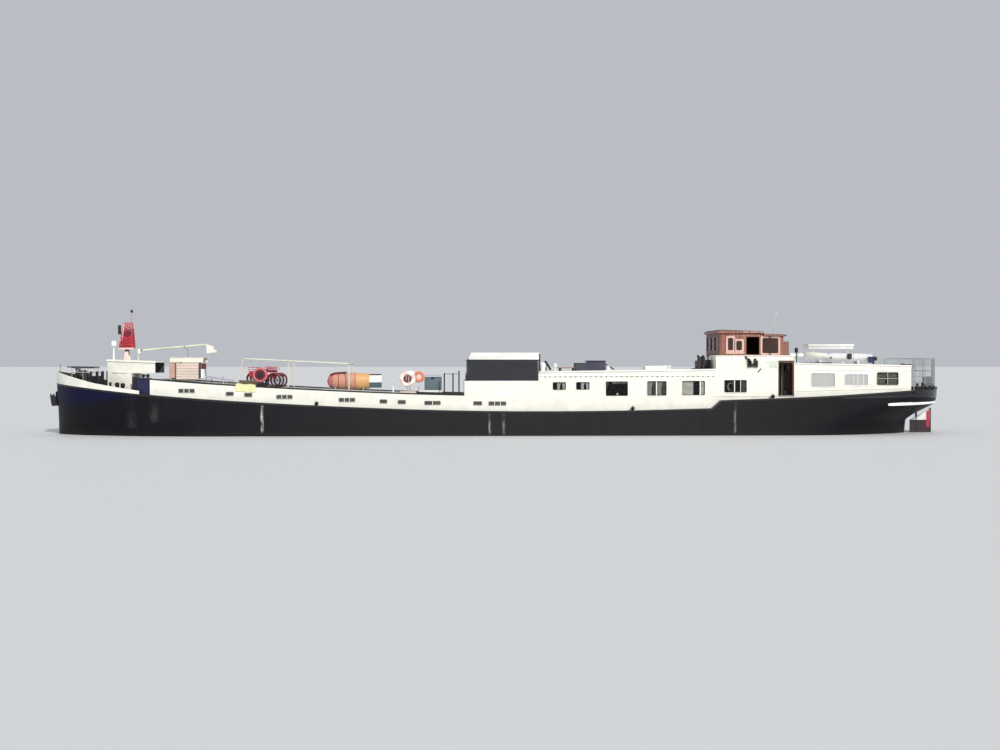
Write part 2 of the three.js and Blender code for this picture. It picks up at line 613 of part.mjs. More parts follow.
function lifebuoyRail() {
  const x = -2410;
  const foot = trunkTop(x) + 0.5;
  const parts = [prism('x', rect(-1260, 1260, foot - 30, foot + 22), x - 30, x + 30)];
  for (const y of [-1180, 1180]) {
    parts.push(box(x - 12, x + 12, y - 12, y + 12, foot + 10, foot + 230));
    parts.push(ring([x, y * 1.02, foot + 390], [0, 1, 0], 150, 48, 24, 8));
  }
  return above(trunkLine(x - 100, x + 100, 0.5), join(parts));
}

// Cabin walls
const SIDES = { port: [-HOUSE_Y, -HOUSE_Y + WALL], starboard: [HOUSE_Y - WALL, HOUSE_Y] };
const INNER_Y = HOUSE_Y - WALL - GAP;

const HOUSE_WINDOWS = [
  [1270, 1606, 1752, 1951], [1864, 2206, 1757, 1955], [2620, 3183, 1600, 1969], [3676, 4169, 1607, 1976],
  [4570, 5151, 1614, 1983],
];
const BASE_WINDOW = [5645, 6221, 1686, 2004];
const DOORWAY = [7032, 7440, 1580, 2499];
const CABIN_WINDOWS = [[7885, 8484, 1835, 2172], [8738, 9337, 1870, 2147], [9577, 10121, 1877, 2195]];

function houseWall(side) {
  const outline = [...deckLine(HOUSE_FRONT, BASE_FRONT - GAP, 0.5), [BASE_FRONT - GAP, HOUSE_ROOF_AFT],
    [LOUNGE_AFT, HOUSE_ROOF_FORE], [LOUNGE_AFT, SILL_Z], [HOUSE_FRONT, SILL_Z]];
  return prism('y', outline, ...SIDES[side], HOUSE_WINDOWS.map((w) => rect(...w)));
}

function baseWall(side) {
  const outline = [...deckLine(BASE_FRONT, BASE_AFT - GAP, 0.5), [BASE_AFT - GAP, 2440], [BASE_AFT - 30,
    2540],
    [BASE_AFT - 90, 2592], [BASE_AFT - 170, BASE_TOP], [BASE_FRONT, BASE_TOP]];
  const holes = side === 'port' ? [rect(...BASE_WINDOW), rect(...DOORWAY)] : [rect(...BASE_WINDOW)];
  return prism('y', outline, ...SIDES[side], holes);
}

function cabinWall(side) {
  const outline = [...deckLine(BASE_AFT, CABIN_AFT, 0.5), [CABIN_AFT, CABIN_TOP_AFT], [BASE_AFT,
    CABIN_TOP_FORE]];
  return prism('y', outline, ...SIDES[side], CABIN_WINDOWS.map((w) => rect(...w)));
}

const houseFront = () => prism('x', rect(-INNER_Y, INNER_Y, deckZ(HOUSE_FRONT) + 0.5, SILL_Z),
  HOUSE_FRONT, HOUSE_FRONT + WALL);

function baseFront() {
  const bottom = Math.max(deckZ(BASE_FRONT), deckZ(BASE_FRONT + WALL)) + 0.5;
  return prism('x', rect(-INNER_Y, INNER_Y, bottom, BASE_TOP), BASE_FRONT, BASE_FRONT + WALL,
    [rect(-300, 300, bottom + 60, 2140)]);
}

function baseAft() {
  const bottom = Math.max(deckZ(BASE_AFT - WALL), deckZ(BASE_AFT)) + 0.5;
  return prism('x', rect(-INNER_Y, INNER_Y, bottom, 2430), BASE_AFT - WALL - GAP, BASE_AFT - GAP,
    [rect(-300, 300, bottom + 60, 2380)]);
}

function cabinEnd() {
  const bottom = Math.max(deckZ(CABIN_AFT - WALL), deckZ(CABIN_AFT)) + 0.5;
  return prism('x', rect(-INNER_Y, INNER_Y, bottom, CABIN_TOP_AFT - 1), CABIN_AFT - WALL, CABIN_AFT,
    [rect(-350, 150, bottom + 30, 2290)]);
}

function houseRoof() {
  const low = (x) => lerp(HOUSE_ROOF_FORE, HOUSE_ROOF_AFT,
    (x - LOUNGE_AFT) / (BASE_FRONT - GAP - LOUNGE_AFT)) + 0.5;
  const [x0, x1] = [LOUNGE_AFT + 1, BASE_FRONT - 1];
  return prism('y', [[x0, low(x0)], [x1, low(x1)], [x1, low(x1) + ROOF_THICK], [x0, low(x0) + ROOF_THICK]],
    -HOUSE_Y - 30, HOUSE_Y + 30);
}

function loungeBand() {
  const outer = prism('y', [[-920, SILL_Z + GAP], [LOUNGE_AFT - 1, SILL_Z + GAP], [LOUNGE_AFT - 8, 2520],
    [-885, 2520]],
    -HOUSE_Y + 2, HOUSE_Y - 2);
  const inner = prism('y', [[-885, 1900], [LOUNGE_AFT - 35, 1900], [LOUNGE_AFT - 40, 2600], [-850, 2600]],
    -HOUSE_Y + 34, HOUSE_Y - 34);
  const bays = [];
  for (const y of [-HOUSE_Y, HOUSE_Y]) {
    for (const [x0, x1] of [[-850, -440], [-410, 0], [30, 440], [470, 870]]) {
      bays.push(box(x0, x1, y - 50, y + 50, 2030, 2475));
    }
  }
  for (const x of [-900, LOUNGE_AFT - 20]) {
    for (const [y0, y1] of [[-1240, -440], [-400, 400], [440, 1240]]) bays.push(box(x - 60, x + 60, y0, y1,
      2030, 2475));
  }
  return cut(outer, [inner, ...bays]);
}

const loungeRoof = () => prism('y', [[-850, 2520.5], [930, 2520.5], [925, 2700], [-790, 2700], [-870, 2560]],
  -HOUSE_Y - 15, HOUSE_Y + 15);

function roofOverhead(x) {
  const span = BASE_FRONT - GAP - LOUNGE_AFT;
  return lerp(HOUSE_ROOF_FORE, HOUSE_ROOF_AFT, (x - LOUNGE_AFT) / span) + 0.5 + ROOF_THICK;
}

const houseRoofLine = (x0, x1) => [[x0, roofOverhead(x0) + 0.5], [x1, roofOverhead(x1) + 0.5]];

const COWL = { x: 1080, y: -450 };

function cowl() {
  const foot = roofOverhead(COWL.x + 95) + 0.5;
  const neck = turned([COWL.x, COWL.y, foot], [0, 0, 1], [[0, 95], [15, 95], [22, 48], [80, 48]], 14);
  const mouth = turned([COWL.x - 40, COWL.y, foot + 98], [1, 0, 0.18], [[-35, 26], [-20, 50], [20, 66],
    [135, 84]], 16);
  const bore = turned([COWL.x + 30, COWL.y, foot + 111], [1, 0, 0.18], [[0, 44], [90, 72]], 12);
  return cut(join([neck, mouth]), [bore]);
}

function roofChest() {
  const foot = (x) => roofOverhead(x) + 0.6;
  const bench = join([prism('y', [[1450, foot(1450) - 20], [1890, foot(1890) - 20], [1890, foot(1890) + 14],
    [1450, foot(1450) + 14]], -1010, -560), box(1480, 1520, -1000, -570, foot(1890), 2300), box(1820, 1860,
    -1000, -570, foot(1890), 2300),
  box(1450, 1880, -1010, -560, 2295, 2325)]);
  const chest = prism('x', [[-1010, foot(1880) - 20], [-420, foot(1880) - 20], [-430, 2440], [-990, 2440]],
    1880, 2190);
  const tall = prism('x', [[-1010, foot(2180) - 20], [-420, foot(2180) - 20], [-430, 2500], [-980, 2500]],
    2180, 2660);
  const dome = turned([2740, -700, foot(2740)], [0, 0, 1], [[0, 60], [60, 60], [100, 50], [125, 25]], 12);
  const plate = prism('y', [[2600, foot(2600) - 20], [2810, foot(2810) - 20], [2810, foot(2810) + 12],
    [2600, foot(2600) + 12]], -780, -620);
  return above(houseRoofLine(1400, 2900), join([bench, chest, tall, plate, dome]));
}

const SKY = { x0: 3690, x1: 4240, y0: -900, y1: -300 };

function skylightFrame() {
  const foot = (x) => roofOverhead(x) + 0.6;
  const outline = [[SKY.x0, foot(SKY.x0) - 20], [SKY.x1, foot(SKY.x1) - 20], [SKY.x1, foot(SKY.x1) + 60],
    [SKY.x0, foot(SKY.x0) + 60]];
  const ringBody = cut(prism('y', outline, SKY.y0, SKY.y1),
    [box(SKY.x0 + 25, SKY.x1 - 25, SKY.y0 + 25, SKY.y1 - 25, 2000, 2500)]);
  const vent = turned([4340, -600, foot(4340)], [0, 0, 1], [[0, 40], [70, 40], [75, 62], [100, 56]], 12);
  const start = SKY.x1 - 10;
  const tie = prism('y', [[start, foot(start) - 20], [4400, foot(4400) - 20], [4400, foot(4400) + 10],
    [start, foot(start) + 10]], -650, -550);
  return above(houseRoofLine(3600, 4500), join([ringBody, tie, vent]));
}

function skylightLid() {
  const foot = (x) => roofOverhead(x) + 0.6 + 60 + 1;
  return prism('y', [[SKY.x0 - 12, foot(SKY.x0 - 12)], [SKY.x1 + 4, foot(SKY.x1 + 4)],
    [SKY.x1 + 4, foot(SKY.x1 + 4) + 34], [SKY.x0 - 12, foot(SKY.x0 - 12) + 34]], SKY.y0 - 12, SKY.y1 + 12);
}

// The base roof runs down round the aft top corner of its side walls.
function baseRoof() {
  const under = [[BASE_FRONT - 20, BASE_TOP + 0.5], [BASE_AFT - 170, BASE_TOP + 0.5], [BASE_AFT - 89.5,
    2592.8],
    [BASE_AFT - 29.3, 2540.6], [BASE_AFT + 0.4, 2446]];
  const over = [[BASE_AFT + 20, 2446], [BASE_AFT - 11, 2552], [BASE_AFT - 80, 2611], [BASE_AFT - 167,
    BASE_TOP + 20],
    [BASE_FRONT - 20, BASE_TOP + 20]];
  return cut(prism('y', [...under, ...over], -HOUSE_Y - 20, HOUSE_Y + 20), [box(5660, 6920, -840, 840, 2500,
    2700)]);
}

const roofLocker = () => box(WH.x1 + 0.4, 7440, -760, -120, BASE_TOP + 20.5, 2950);

function wheelhouseFloor() {
  const slab = box(BASE_FRONT + WALL + 0.5, 6950, -INNER_Y, INNER_Y, 2235, 2255);
  const console_ = prism('y', [[5690, 2250], [5870, 2250], [5870, 2820], [5700, 2900], [5690, 2900]], -420,
    420);
  return join([slab, console_]);
}

const HELM = [5880, 2740];

function helmWheel() {
  const [x, z] = HELM;
  const hub = turned([x - 9.6, 0, z], [1, 0, 0], [[0, 22], [60, 22]], 10);
  const rim = ring([x + 40, 0, z], [1, 0, 0], 165, 13, 24, 6);
  const spokes = Array.from({ length: 6 }, (_, i) => {
    const a = (Math.PI * i) / 3;
    return rod([x + 40, 0, z], [x + 40, 205 * Math.cos(a), z + 205 * Math.sin(a)], 8, 6);
  });
  return join([hub, rim, ...spokes]);
}

const WH = { x0: 5591, x1: 7260, y: 900, t: 30 };
const WH_FOOT = BASE_TOP + 20.5;

function wheelhouse() {
  const outline = [[WH.x0, WH_FOOT], [WH.x1, WH_FOOT], [WH.x1, 3120], [6731, 3125], [6731, 3200], [WH.x0,
    3200]];
  const windows = [[5811, 5966, 2753, 3090], [6027, 6195, 2753, 3015], [6705, 7136, 2679, 3090]];
  const doorway = [6303, 6635, 2655, 3110];
  const port = prism('y', outline, -WH.y, -WH.y + WH.t, [...windows, doorway].map((w) => rect(...w)));
  const starboard = prism('y', outline, WH.y - WH.t, WH.y, windows.map((w) => rect(...w)));
  const panes = [[-800, -300], [-250, 250], [300, 800]];
  const front = prism('x', rect(-WH.y, WH.y, WH_FOOT, 3200), WH.x0, WH.x0 + WH.t,
    panes.map(([a, b]) => rect(a, b, 2760, 3110)));
  const aft = prism('x', rect(-WH.y, WH.y, WH_FOOT, 3120), WH.x1 - WH.t, WH.x1,
    panes.map(([a, b]) => rect(a, b, 2760, 3060)));
  const step = box(6699, 6729, -WH.y + 10, WH.y - 10, 3114, 3195);
  const track = box(6295, 7010, -875, -842, 2640, 2656.5);
  return join([port, starboard, front, aft, step, track]);
}

function wheelhouseRoof() {
  const front = prism('y', [[5530, 3200.5], [6760, 3200.5], [6760, 3240], [5600, 3275], [5530, 3240]], -960,
    960);
  const aft = prism('y', [[6747, 3125.5], [7330, 3125.5], [7330, 3160], [6747, 3180]], -960, 960);
  const riser = box(6747, 6760, -960, 960, 3140, 3230);
  const antenna = rod([7100, -300, 3150], [7230, -300, 3800], 7, 6);
  return join([front, riser, aft, antenna]);
}

const wheelhouseDoor = () => prism('y', rect(6648, 6993, 2657, 3104), -862, -846, [rect(6698, 6943, 2800,
  3060)]);

const entranceDoor = () => join([box(7419, 7435, -1307, -909, 1586, 2493), box(7400, 7424, -960, -940, 2030,
  2060),
  ...knuckles(7435, -1307, [1720, 2020, 2320])]);

function cabinRoof() {
  const low = (x) => lerp(CABIN_TOP_FORE, CABIN_TOP_AFT, (x - BASE_AFT) / (CABIN_AFT - BASE_AFT)) + 0.5;
  const [x0, x1] = [BASE_AFT + 1, CABIN_AFT + 30];
  return prism('y', [[x0, low(x0)], [x1, low(x1)], [x1, low(x1) + ROOF_THICK], [x0, low(x0) + ROOF_THICK]],
    -HOUSE_Y - 25, HOUSE_Y + 25);
}

function cabinRoofTop(x) {
  return lerp(CABIN_TOP_FORE, CABIN_TOP_AFT, (x - BASE_AFT) / (CABIN_AFT - BASE_AFT)) + 0.5 + ROOF_THICK;
}

function cabinDoor() {
  const bottom = Math.max(deckZ(CABIN_AFT - WALL), deckZ(CABIN_AFT)) + 0.5 + 30;
  return join([box(CABIN_AFT - 18, CABIN_AFT - 2, -345, 145, bottom + 6, 2284),
    box(CABIN_AFT - 10, CABIN_AFT + 16, -310, -290, 2020, 2060),
    ...knuckles(CABIN_AFT - 2, 145, [1840, 2150])]);
}

const DINGHY = { x0: 7985, x1: 9700, y: -250 };
const OUTBOARD = [9725, 2520];

function dinghy() {
  const rows = [[0, 30, 150, 330], [0.06, 150, 120, 320], [0.18, 250, 90, 300], [0.4, 300, 78, 280],
    [0.7, 300, 78, 275], [1, 250, 90, 280]];
  const outer = rows.map(([t, w, low, top]) => {
    const x = lerp(DINGHY.x0, DINGHY.x1, t);
    const z = cabinRoofTop(DINGHY.x1) + 6;
    return [[x, DINGHY.y - w, z + top], [x, DINGHY.y - w * 0.92, z + lerp(low, top, 0.4)],
      [x, DINGHY.y - w * 0.55, z + low], [x, DINGHY.y + w * 0.55, z + low],
      [x, DINGHY.y + w * 0.92, z + lerp(low, top, 0.4)], [x, DINGHY.y + w, z + top]];
  });
  const inner = rows.slice(1).map(([t, w, low, top], i) => {
    const x = lerp(DINGHY.x0, DINGHY.x1, t) - (i === rows.length - 2 ? 25 : 0);
    const z = cabinRoofTop(DINGHY.x1) + 6;
    const s = w - 26;
    return [[x, DINGHY.y - s, z + top + 40], [x, DINGHY.y - s * 0.92, z + lerp(low, top, 0.45)],
      [x, DINGHY.y - s * 0.5, z + low + 25], [x, DINGHY.y + s * 0.5, z + low + 25],
      [x, DINGHY.y + s * 0.92, z + lerp(low, top, 0.45)], [x, DINGHY.y + s, z + top + 40]];
  });
  const cradles = [8350, 9350].map((x) => prism('x', [[DINGHY.y - 220, cabinRoofTop(x - 20) + 0.5],
    [DINGHY.y + 220, cabinRoofTop(x - 20) + 0.5], [DINGHY.y + 150, 2510], [DINGHY.y - 150, 2510]], x - 20,
    x + 20));
  const thwart = box(8900, 9000, DINGHY.y - 275, DINGHY.y + 275, 2590, 2606);
  const [px, pz] = OUTBOARD;
  const ears = [-42, 29.4].map((y) => prism('y', rect(9680, px + 14, pz - 16, pz + 16), DINGHY.y + y,
    DINGHY.y + y + 12.6));
  return join([cut(loft(outer), [loft(inner)]), ...cradles, thwart, ...ears]);
}

function outboard() {
  const [x, z] = OUTBOARD;
  const y = DINGHY.y;
  const hood = prism('y', [[x + 28, z - 22], [x + 150, z - 22], [x + 166, z + 26], [x + 138, z + 78],
    [x + 44, z + 88], [x + 28, z + 60]], y - 55, y + 55);
  const neck = prism('y', rect(x - 12, x + 90, z - 16, z + 16), y - 29, y + 29);
  const leg = box(x + 56, x + 100, y - 18, y + 18, z - 112, z + 10);
  return join([hood, neck, leg]);
}

function solarRack() {
  const foot = (x) => cabinRoofTop(x) + 0.5;
  const parts = [box(8230, 9430, 330, 900, 2805, 2882), box(8215, 9445, 315, 915, 2880, 2940)];
  for (const x of [8370, 9290]) {
    for (const y of [380, 850]) {
      parts.push(rod([x, y, foot(x) + 6], [x, y, 2860], 12, 8));
      parts.push(prism('y', [[x - 35, foot(x - 35)], [x + 35, foot(x + 35)], [x + 35, foot(x) + 14],
        [x - 35, foot(x) + 14]], y - 35, y + 35));
    }
    parts.push(rod([x, 380, 2640], [x, 850, 2640], 8, 6));
  }
  return join(parts);
}

function aftRail(side) {
  const parts = [];
  const start = side < 0 ? [11430, 0] : [11428, 13.2];
  const posts = [[11360, 440], [11180, 780], [10900, 1060], [10560, 1250]];
  const path = [start, ...posts.map(([x, y]) => [x, y * side])];
  const top = 2550;
  for (const [x, y] of path.slice(side < 0 ? 0 : 1)) {
    parts.push(rod([x, y, deckZ(x) + 5], [x, y, top], 11, 6));
    parts.push(box(x - 22, x + 22, y - 22, y + 22, deckZ(x) - 30, deckZ(x) + 16));
  }
  for (let i = 0; i < path.length - 1; i += 1) {
    for (const z of [top, 2230]) {
      parts.push(rod([...path[i], z], [...path[i + 1], z], 11, 6));
    }
  }
  return above(deckLine(10400, 11499, 0.5), join(parts));
}

function rudder() {
  const blade = prism('y', [[10852, 90], [11400, 90], [11400, 1215], [11230, 1120], [10960, 985],
    [10852, 925]], -22, 22);
  const stock = rod([RUDDER_X, 0, 70], [RUDDER_X, 0, 1322], 26, 12);
  const heel = rod([RUDDER_X, 0, 60.5], [RUDDER_X, 0, 100], 40, 12);
  const strap = box(11380, 11412, -30, 30, 600, 1250);
  return join([blade, stock, heel, strap]);
}

function propeller() {
  const hub = turned([10470.4, 0, PROP_Z], [1, 0, 0], [[0, 46], [40, 56], [180, 52], [240, 30], [262, 8]],
    16);
  const blades = [];
  for (let i = 0; i < 4; i += 1) {
    const turn = (Math.PI * i) / 2 + Math.PI / 4;
    const sections = [40, 85, 130, 175, 205, PROP_RADIUS].map((radius, k) => {
      const chord = [34, 62, 78, 72, 46, 14][k];
      const pitch = Math.atan2(330, 2 * Math.PI * Math.max(radius, 50));
      return [[-1, 0], [0, 7], [1, 0], [0, -7]].map(([c, thick]) => {
        const along = c * chord;
        const axial = along * Math.sin(pitch) + thick * Math.cos(pitch);
        const around = along * Math.cos(pitch) - thick * Math.sin(pitch);
        const angle = turn + around / radius;
        return [PROP_X + axial, radius * Math.cos(angle), PROP_Z + radius * Math.sin(angle)];
      });
    });
    blades.push(loft(sections));
  }
  return join([hub, ...blades]);
}

const COLOURS = {
  black: 0x2a2a2e, cream: 0xfff7e4, navy: 0x1d2048, brown: 0x96503f, white: 0xf2f2ee, steel: 0x9a9da0,
    red: 0xb8242a,
  orange: 0xe8743a, grey: 0x8d97a6, bronze: 0xa9803f, glass: 0x262a33, canvas: 0xe9e2cf,
};

const PIECES = [
  ['hull', hull, 'black'],
  ['bow_bulwark', bowBulwark, 'cream'],
  ['anchor', anchor, 'black'],
  ['foredeck_gear', foredeckGear, 'black'],
  ['bow_house', bowHouse, 'cream'],
  ['bow_house_door', bowHouseDoor, 'brown'],
  ['bow_locker', bowLocker, 'navy'],
  ['mast', mast, 'red'],
  ['boom', boom, 'white'],
  ['boom_crutch', boomCrutch, 'steel'],
  ['trunk', trunk, 'cream'],
  ['deck_seat_frame', seatFrame, 'canvas'],
  ['deck_seat_bench', seatBench, 'canvas'],
  ['pergola', pergola, 'white'],
  ['bicycles', bicycles, 'red'],
  ['deck_boat', deckBoat, 'orange'],
  ['deck_locker', deckLocker, 'grey'],
  ['lifebuoy_rail', lifebuoyRail, 'orange'],
  ['deckhouse_port_wall', () => houseWall('port'), 'cream'],
  ['deckhouse_starboard_wall', () => houseWall('starboard'), 'cream'],
  ['deckhouse_front_wall', houseFront, 'cream'],
  ['deckhouse_roof', houseRoof, 'white'],
  ['lounge_band', loungeBand, 'navy'],
  ['lounge_roof', loungeRoof, 'white'],
  ['cowl_vent', cowl, 'white'],
  ['roof_chest', roofChest, 'navy'],
  ['skylight_frame', skylightFrame, 'white'],
  ['skylight_lid', skylightLid, 'white'],
  ['base_port_wall', () => baseWall('port'), 'cream'],
  ['base_starboard_wall', () => baseWall('starboard'), 'cream'],
  ['base_front_wall', baseFront, 'cream'],
  ['base_aft_wall', baseAft, 'cream'],
  ['base_roof', baseRoof, 'cream'],
  ['roof_locker', roofLocker, 'brown'],
  ['wheelhouse_floor', wheelhouseFloor, 'brown'],
  ['helm_wheel', helmWheel, 'brown'],
  ['wheelhouse', wheelhouse, 'brown'],
  ['wheelhouse_roof', wheelhouseRoof, 'brown'],
  ['wheelhouse_door', wheelhouseDoor, 'brown'],
  ['entrance_door', entranceDoor, 'brown'],
  ['aft_cabin_port_wall', () => cabinWall('port'), 'cream'],
  ['aft_cabin_starboard_wall', () => cabinWall('starboard'), 'cream'],
  ['aft_cabin_end_wall', cabinEnd, 'cream'],
  ['aft_cabin_roof', cabinRoof, 'cream'],
  ['aft_cabin_door', cabinDoor, 'brown'],
  ['dinghy', dinghy, 'white'],
  ['outboard', outboard, 'navy'],
  ['solar_rack', solarRack, 'white'],
  ['aft_rail_port', () => aftRail(-1), 'steel'],
  ['aft_rail_starboard', () => aftRail(1), 'steel'],
  ['rudder', rudder, 'white'],
  ['propeller', propeller, 'bronze'],
];

const group = new THREE.Group();
group.name = 'hotel_ship';
for (const [name, make, colour] of PIECES) {
  const mesh = new THREE.Mesh(make(), new THREE.MeshStandardMaterial({ color: COLOURS[colour],
    roughness: 0.6 }));
  mesh.name = name;
  group.add(mesh);
}

export default group;
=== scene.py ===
"""Visual model of the hotel ship in the CAD frame: metres, +Z up, bow towards -X, port side towards -Y."""

import logging
import math
from dataclasses import dataclass, field
from enum import Enum
from typing import Iterable, Sequence

import bpy
import numpy as np
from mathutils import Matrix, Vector


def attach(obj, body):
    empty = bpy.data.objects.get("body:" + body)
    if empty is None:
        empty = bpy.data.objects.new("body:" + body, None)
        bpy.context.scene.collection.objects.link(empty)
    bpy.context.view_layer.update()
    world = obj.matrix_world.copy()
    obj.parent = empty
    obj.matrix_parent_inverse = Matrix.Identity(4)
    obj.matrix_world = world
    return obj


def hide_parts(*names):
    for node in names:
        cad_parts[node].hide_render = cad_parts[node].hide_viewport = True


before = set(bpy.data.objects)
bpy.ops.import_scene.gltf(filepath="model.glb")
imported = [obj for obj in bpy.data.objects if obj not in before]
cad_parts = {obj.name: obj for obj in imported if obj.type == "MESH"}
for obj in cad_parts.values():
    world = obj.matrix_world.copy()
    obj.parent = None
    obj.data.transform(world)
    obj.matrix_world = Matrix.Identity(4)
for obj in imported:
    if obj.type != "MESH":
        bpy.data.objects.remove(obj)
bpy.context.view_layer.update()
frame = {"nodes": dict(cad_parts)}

log = logging.getLogger("hotel_ship")

Array = np.ndarray
Point = tuple[float, float, float]
Colour = tuple[float, float, float]
Shape = tuple[Array, list[tuple[int, ...]]]

# Main dimensions, the same as in the CAD source
STEM_X = -11.5
STERN_X = 11.5
HALF_BEAM = 1.575
WATER_Z = 0.6
BILGE_RADIUS = 0.26
HOUSE_Y = 1.325
FORE_SHEER = (
    (-11.5, 1.925), (-10.3, 1.79), (-9.5, 1.702), (-8.8, 1.632), (-7.38, 1.52), (-5.915, 1.43),
    (-4.083, 1.337), (-2.251, 1.265), (-0.419, 1.224), (1.413, 1.215), (3.245, 1.233), (5.297, 1.285),
)
AFT_SHEER = ((5.53, 1.489), (7.825, 1.572), (9.2, 1.65), (10.45, 1.735), (11.5, 1.815))
STERN_PROFILE = (
    (0.0, 10.33), (0.54, 10.33), (0.6, 10.7), (0.958, 10.735), (1.101, 10.94), (1.363, 11.44),
    (1.45, 11.49), (1.815, 11.5))
BOW_LENGTHS = ((0.0, 5.2), (0.3, 4.7), (0.6, 4.1), (1.2, 3.5), (1.925, 3.1))
STERN_LENGTHS = ((0.0, 4.8), (0.3, 4.2), (0.6, 3.3), (0.958, 2.6), (1.363, 1.9), (1.815, 1.8))
STATIONS = (
    -11.5, -11.485, -11.44, -11.365, -11.26, -11.12, -10.95, -10.74, -10.49, -10.2, -9.87, -9.5, -9.09,
    -8.64, -8.15, -7.5, -6.7, -5.9, -5.0, -4.083, -3.16, -2.251, -1.33, -0.419, 0.5, 1.413, 2.33, 3.245,
    4.27, 5.297, 5.53, 6.3, 7.1, 7.825, 8.3, 8.75, 9.18, 9.58, 9.95, 10.29, 10.59, 10.83, 11.02, 11.18,
    11.3, 11.39, 11.45, 11.485, 11.5)
WELL_EDGE = ((10.64, 1.19), (10.9, 1.01), (11.15, 0.74), (11.33, 0.43), (11.42, 0.15))
WELL_FLOOR = 1.5
TRUNK_FRONT = -8.863
TRUNK_HEIGHT = 0.375
HOUSE_FRONT = -0.966
LOUNGE_AFT = 0.91
BASE_FRONT = 5.433
BASE_AFT = 7.464
CABIN_AFT = 10.452
ROOF_THICK = 0.04
WHEELHOUSE_Y = 0.9

# Directions
UP = (0.0, 0.0, 1.0)
ABEAM = (0.0, 1.0, 0.0)
ASTERN = (1.0, 0.0, 0.0)

# Joined corners and rounded edges
WELD_DISTANCE = 0.00005
SPLIT_ANGLE = math.radians(32)
BEVEL_ANGLE = math.radians(40)
BEVEL_STEPS = 2

# Curtains and blinds
CURTAIN_IN = 0.037
PLEAT_PITCH = 0.035
PLEAT_DEPTH = 0.006
SLAT_PITCH = 0.028
SLAT_DEPTH = 0.012
THIN_BAR = 0.007


class Side(Enum):
    """The two sides of the ship, as the sign of Y."""

    PORT = -1
    STARBOARD = 1


BOTH = (Side.PORT, Side.STARBOARD)


# Curves of the ship

def sheer(x: Array | float) -> Array:
    """Height of the deck edge: a smooth cubic through the table rows, before and after the step."""
    x = np.atleast_1d(np.asarray(x, float))

    def cubic(rows: Sequence[tuple[float, float]], at: Array) -> Array:
        xs, ys = np.array(rows).T
        ends_a = np.maximum(np.arange(len(xs)) - 1, 0)
        ends_b = np.minimum(np.arange(len(xs)) + 1, len(xs) - 1)
        slopes = (ys[ends_b] - ys[ends_a]) / (xs[ends_b] - xs[ends_a])
        i = np.clip(np.searchsorted(xs, at, side="right") - 1, 0, len(xs) - 2)
        h = xs[i + 1] - xs[i]
        t = np.clip((at - xs[i]) / h, 0, 1)
        return (
            (2 * t**3 - 3 * t**2 + 1) * ys[i] + (t**3 - 2 * t**2 + t) * slopes[i] * h
            + (3 * t**2 - 2 * t**3) * ys[i + 1] + (t**3 - t**2) * slopes[i + 1] * h)

    step = np.interp(x, (FORE_SHEER[-1][0], AFT_SHEER[0][0]), (FORE_SHEER[-1][1], AFT_SHEER[0][1]))
    aft = np.where(x >= AFT_SHEER[0][0], cubic(AFT_SHEER, x), step)
    return np.where(x <= FORE_SHEER[-1][0], cubic(FORE_SHEER, x), aft)


STATION_HEIGHTS = sheer(np.array(STATIONS))


def deck(x: Array | float) -> Array | float:
    """Height of the deck, straight between the stations of the CAD hull."""
    return np.interp(x, STATIONS, STATION_HEIGHTS)


def trunk_top(x: Array | float) -> Array | float:
    """Height of the trunk roof, which follows the deck."""
    return deck(x) + TRUNK_HEIGHT


def house_roof(x: float) -> float:
    """Top of the deckhouse roof."""
    return float(np.interp(x, (LOUNGE_AFT, BASE_FRONT), (2.183, 2.247))) + ROOF_THICK


def cabin_roof(x: float) -> float:
    """Top of the aft cabin roof."""
    return float(np.interp(x, (BASE_AFT, CABIN_AFT), (2.404, 2.34))) + ROOF_THICK


def stem(z: Array) -> Array:
    """The bow end of the hull at each height."""
    return STEM_X + 0.04 * (1 - z / 1.925) + 0.42 * np.maximum(0, 1 - z / 0.52) ** 2


def stern(z: Array) -> Array:
    """The stern end of the hull at each height."""
    return np.interp(z, *np.array(STERN_PROFILE).T)


def half_breadth(x: Array, z: Array) -> Array:
    """Half width of the hull: a power curve at each end, times a round bilge at the foot."""
    rise = np.clip(z / 1.8, 0, 1)

    def end(t: Array, sharp: Array, full: Array) -> Array:
        return (1 - (1 - np.clip(t, 0, 1)) ** sharp) ** (1 / full)

    bow = end((x - stem(z)) / np.interp(z, *np.array(BOW_LENGTHS).T), 1.7 + 0.6 * rise, 1.15 + 0.85 * rise)
    aft = end((stern(z) - x) / np.interp(z, *np.array(STERN_LENGTHS).T), 1.7 + 0.5 * rise, 1.0 + rise)
    fill = bow * aft
    low = np.maximum(0, 1 - z / BILGE_RADIUS)
    return np.maximum(0.02, HALF_BEAM * fill - BILGE_RADIUS * fill * (1 - np.sqrt(1 - low**2)))


# Shapes as points and faces

def quads(rows: int, columns: int, around: bool = False, along: bool = False) -> list[tuple[int, ...]]:
    """Faces of a grid of rows times columns points, closed across or along it where asked."""
    i = np.arange(rows if along else rows - 1)[:, None]
    j = np.arange(columns if around else columns - 1)[None, :]
    i2, j2 = (i + 1) % rows, (j + 1) % columns
    corners = np.stack(
        np.broadcast_arrays(i * columns + j, i * columns + j2, i2 * columns + j2, i2 * columns + j), -1)
    return [tuple(face) for face in corners.reshape(-1, 4).tolist()]


def grid(points: Array, around: bool = False, along: bool = False) -> Shape:
    """A surface through an array of rows x columns x 3 points."""
    rows, columns = points.shape[:2]
    return points.reshape(-1, 3), quads(rows, columns, around, along)


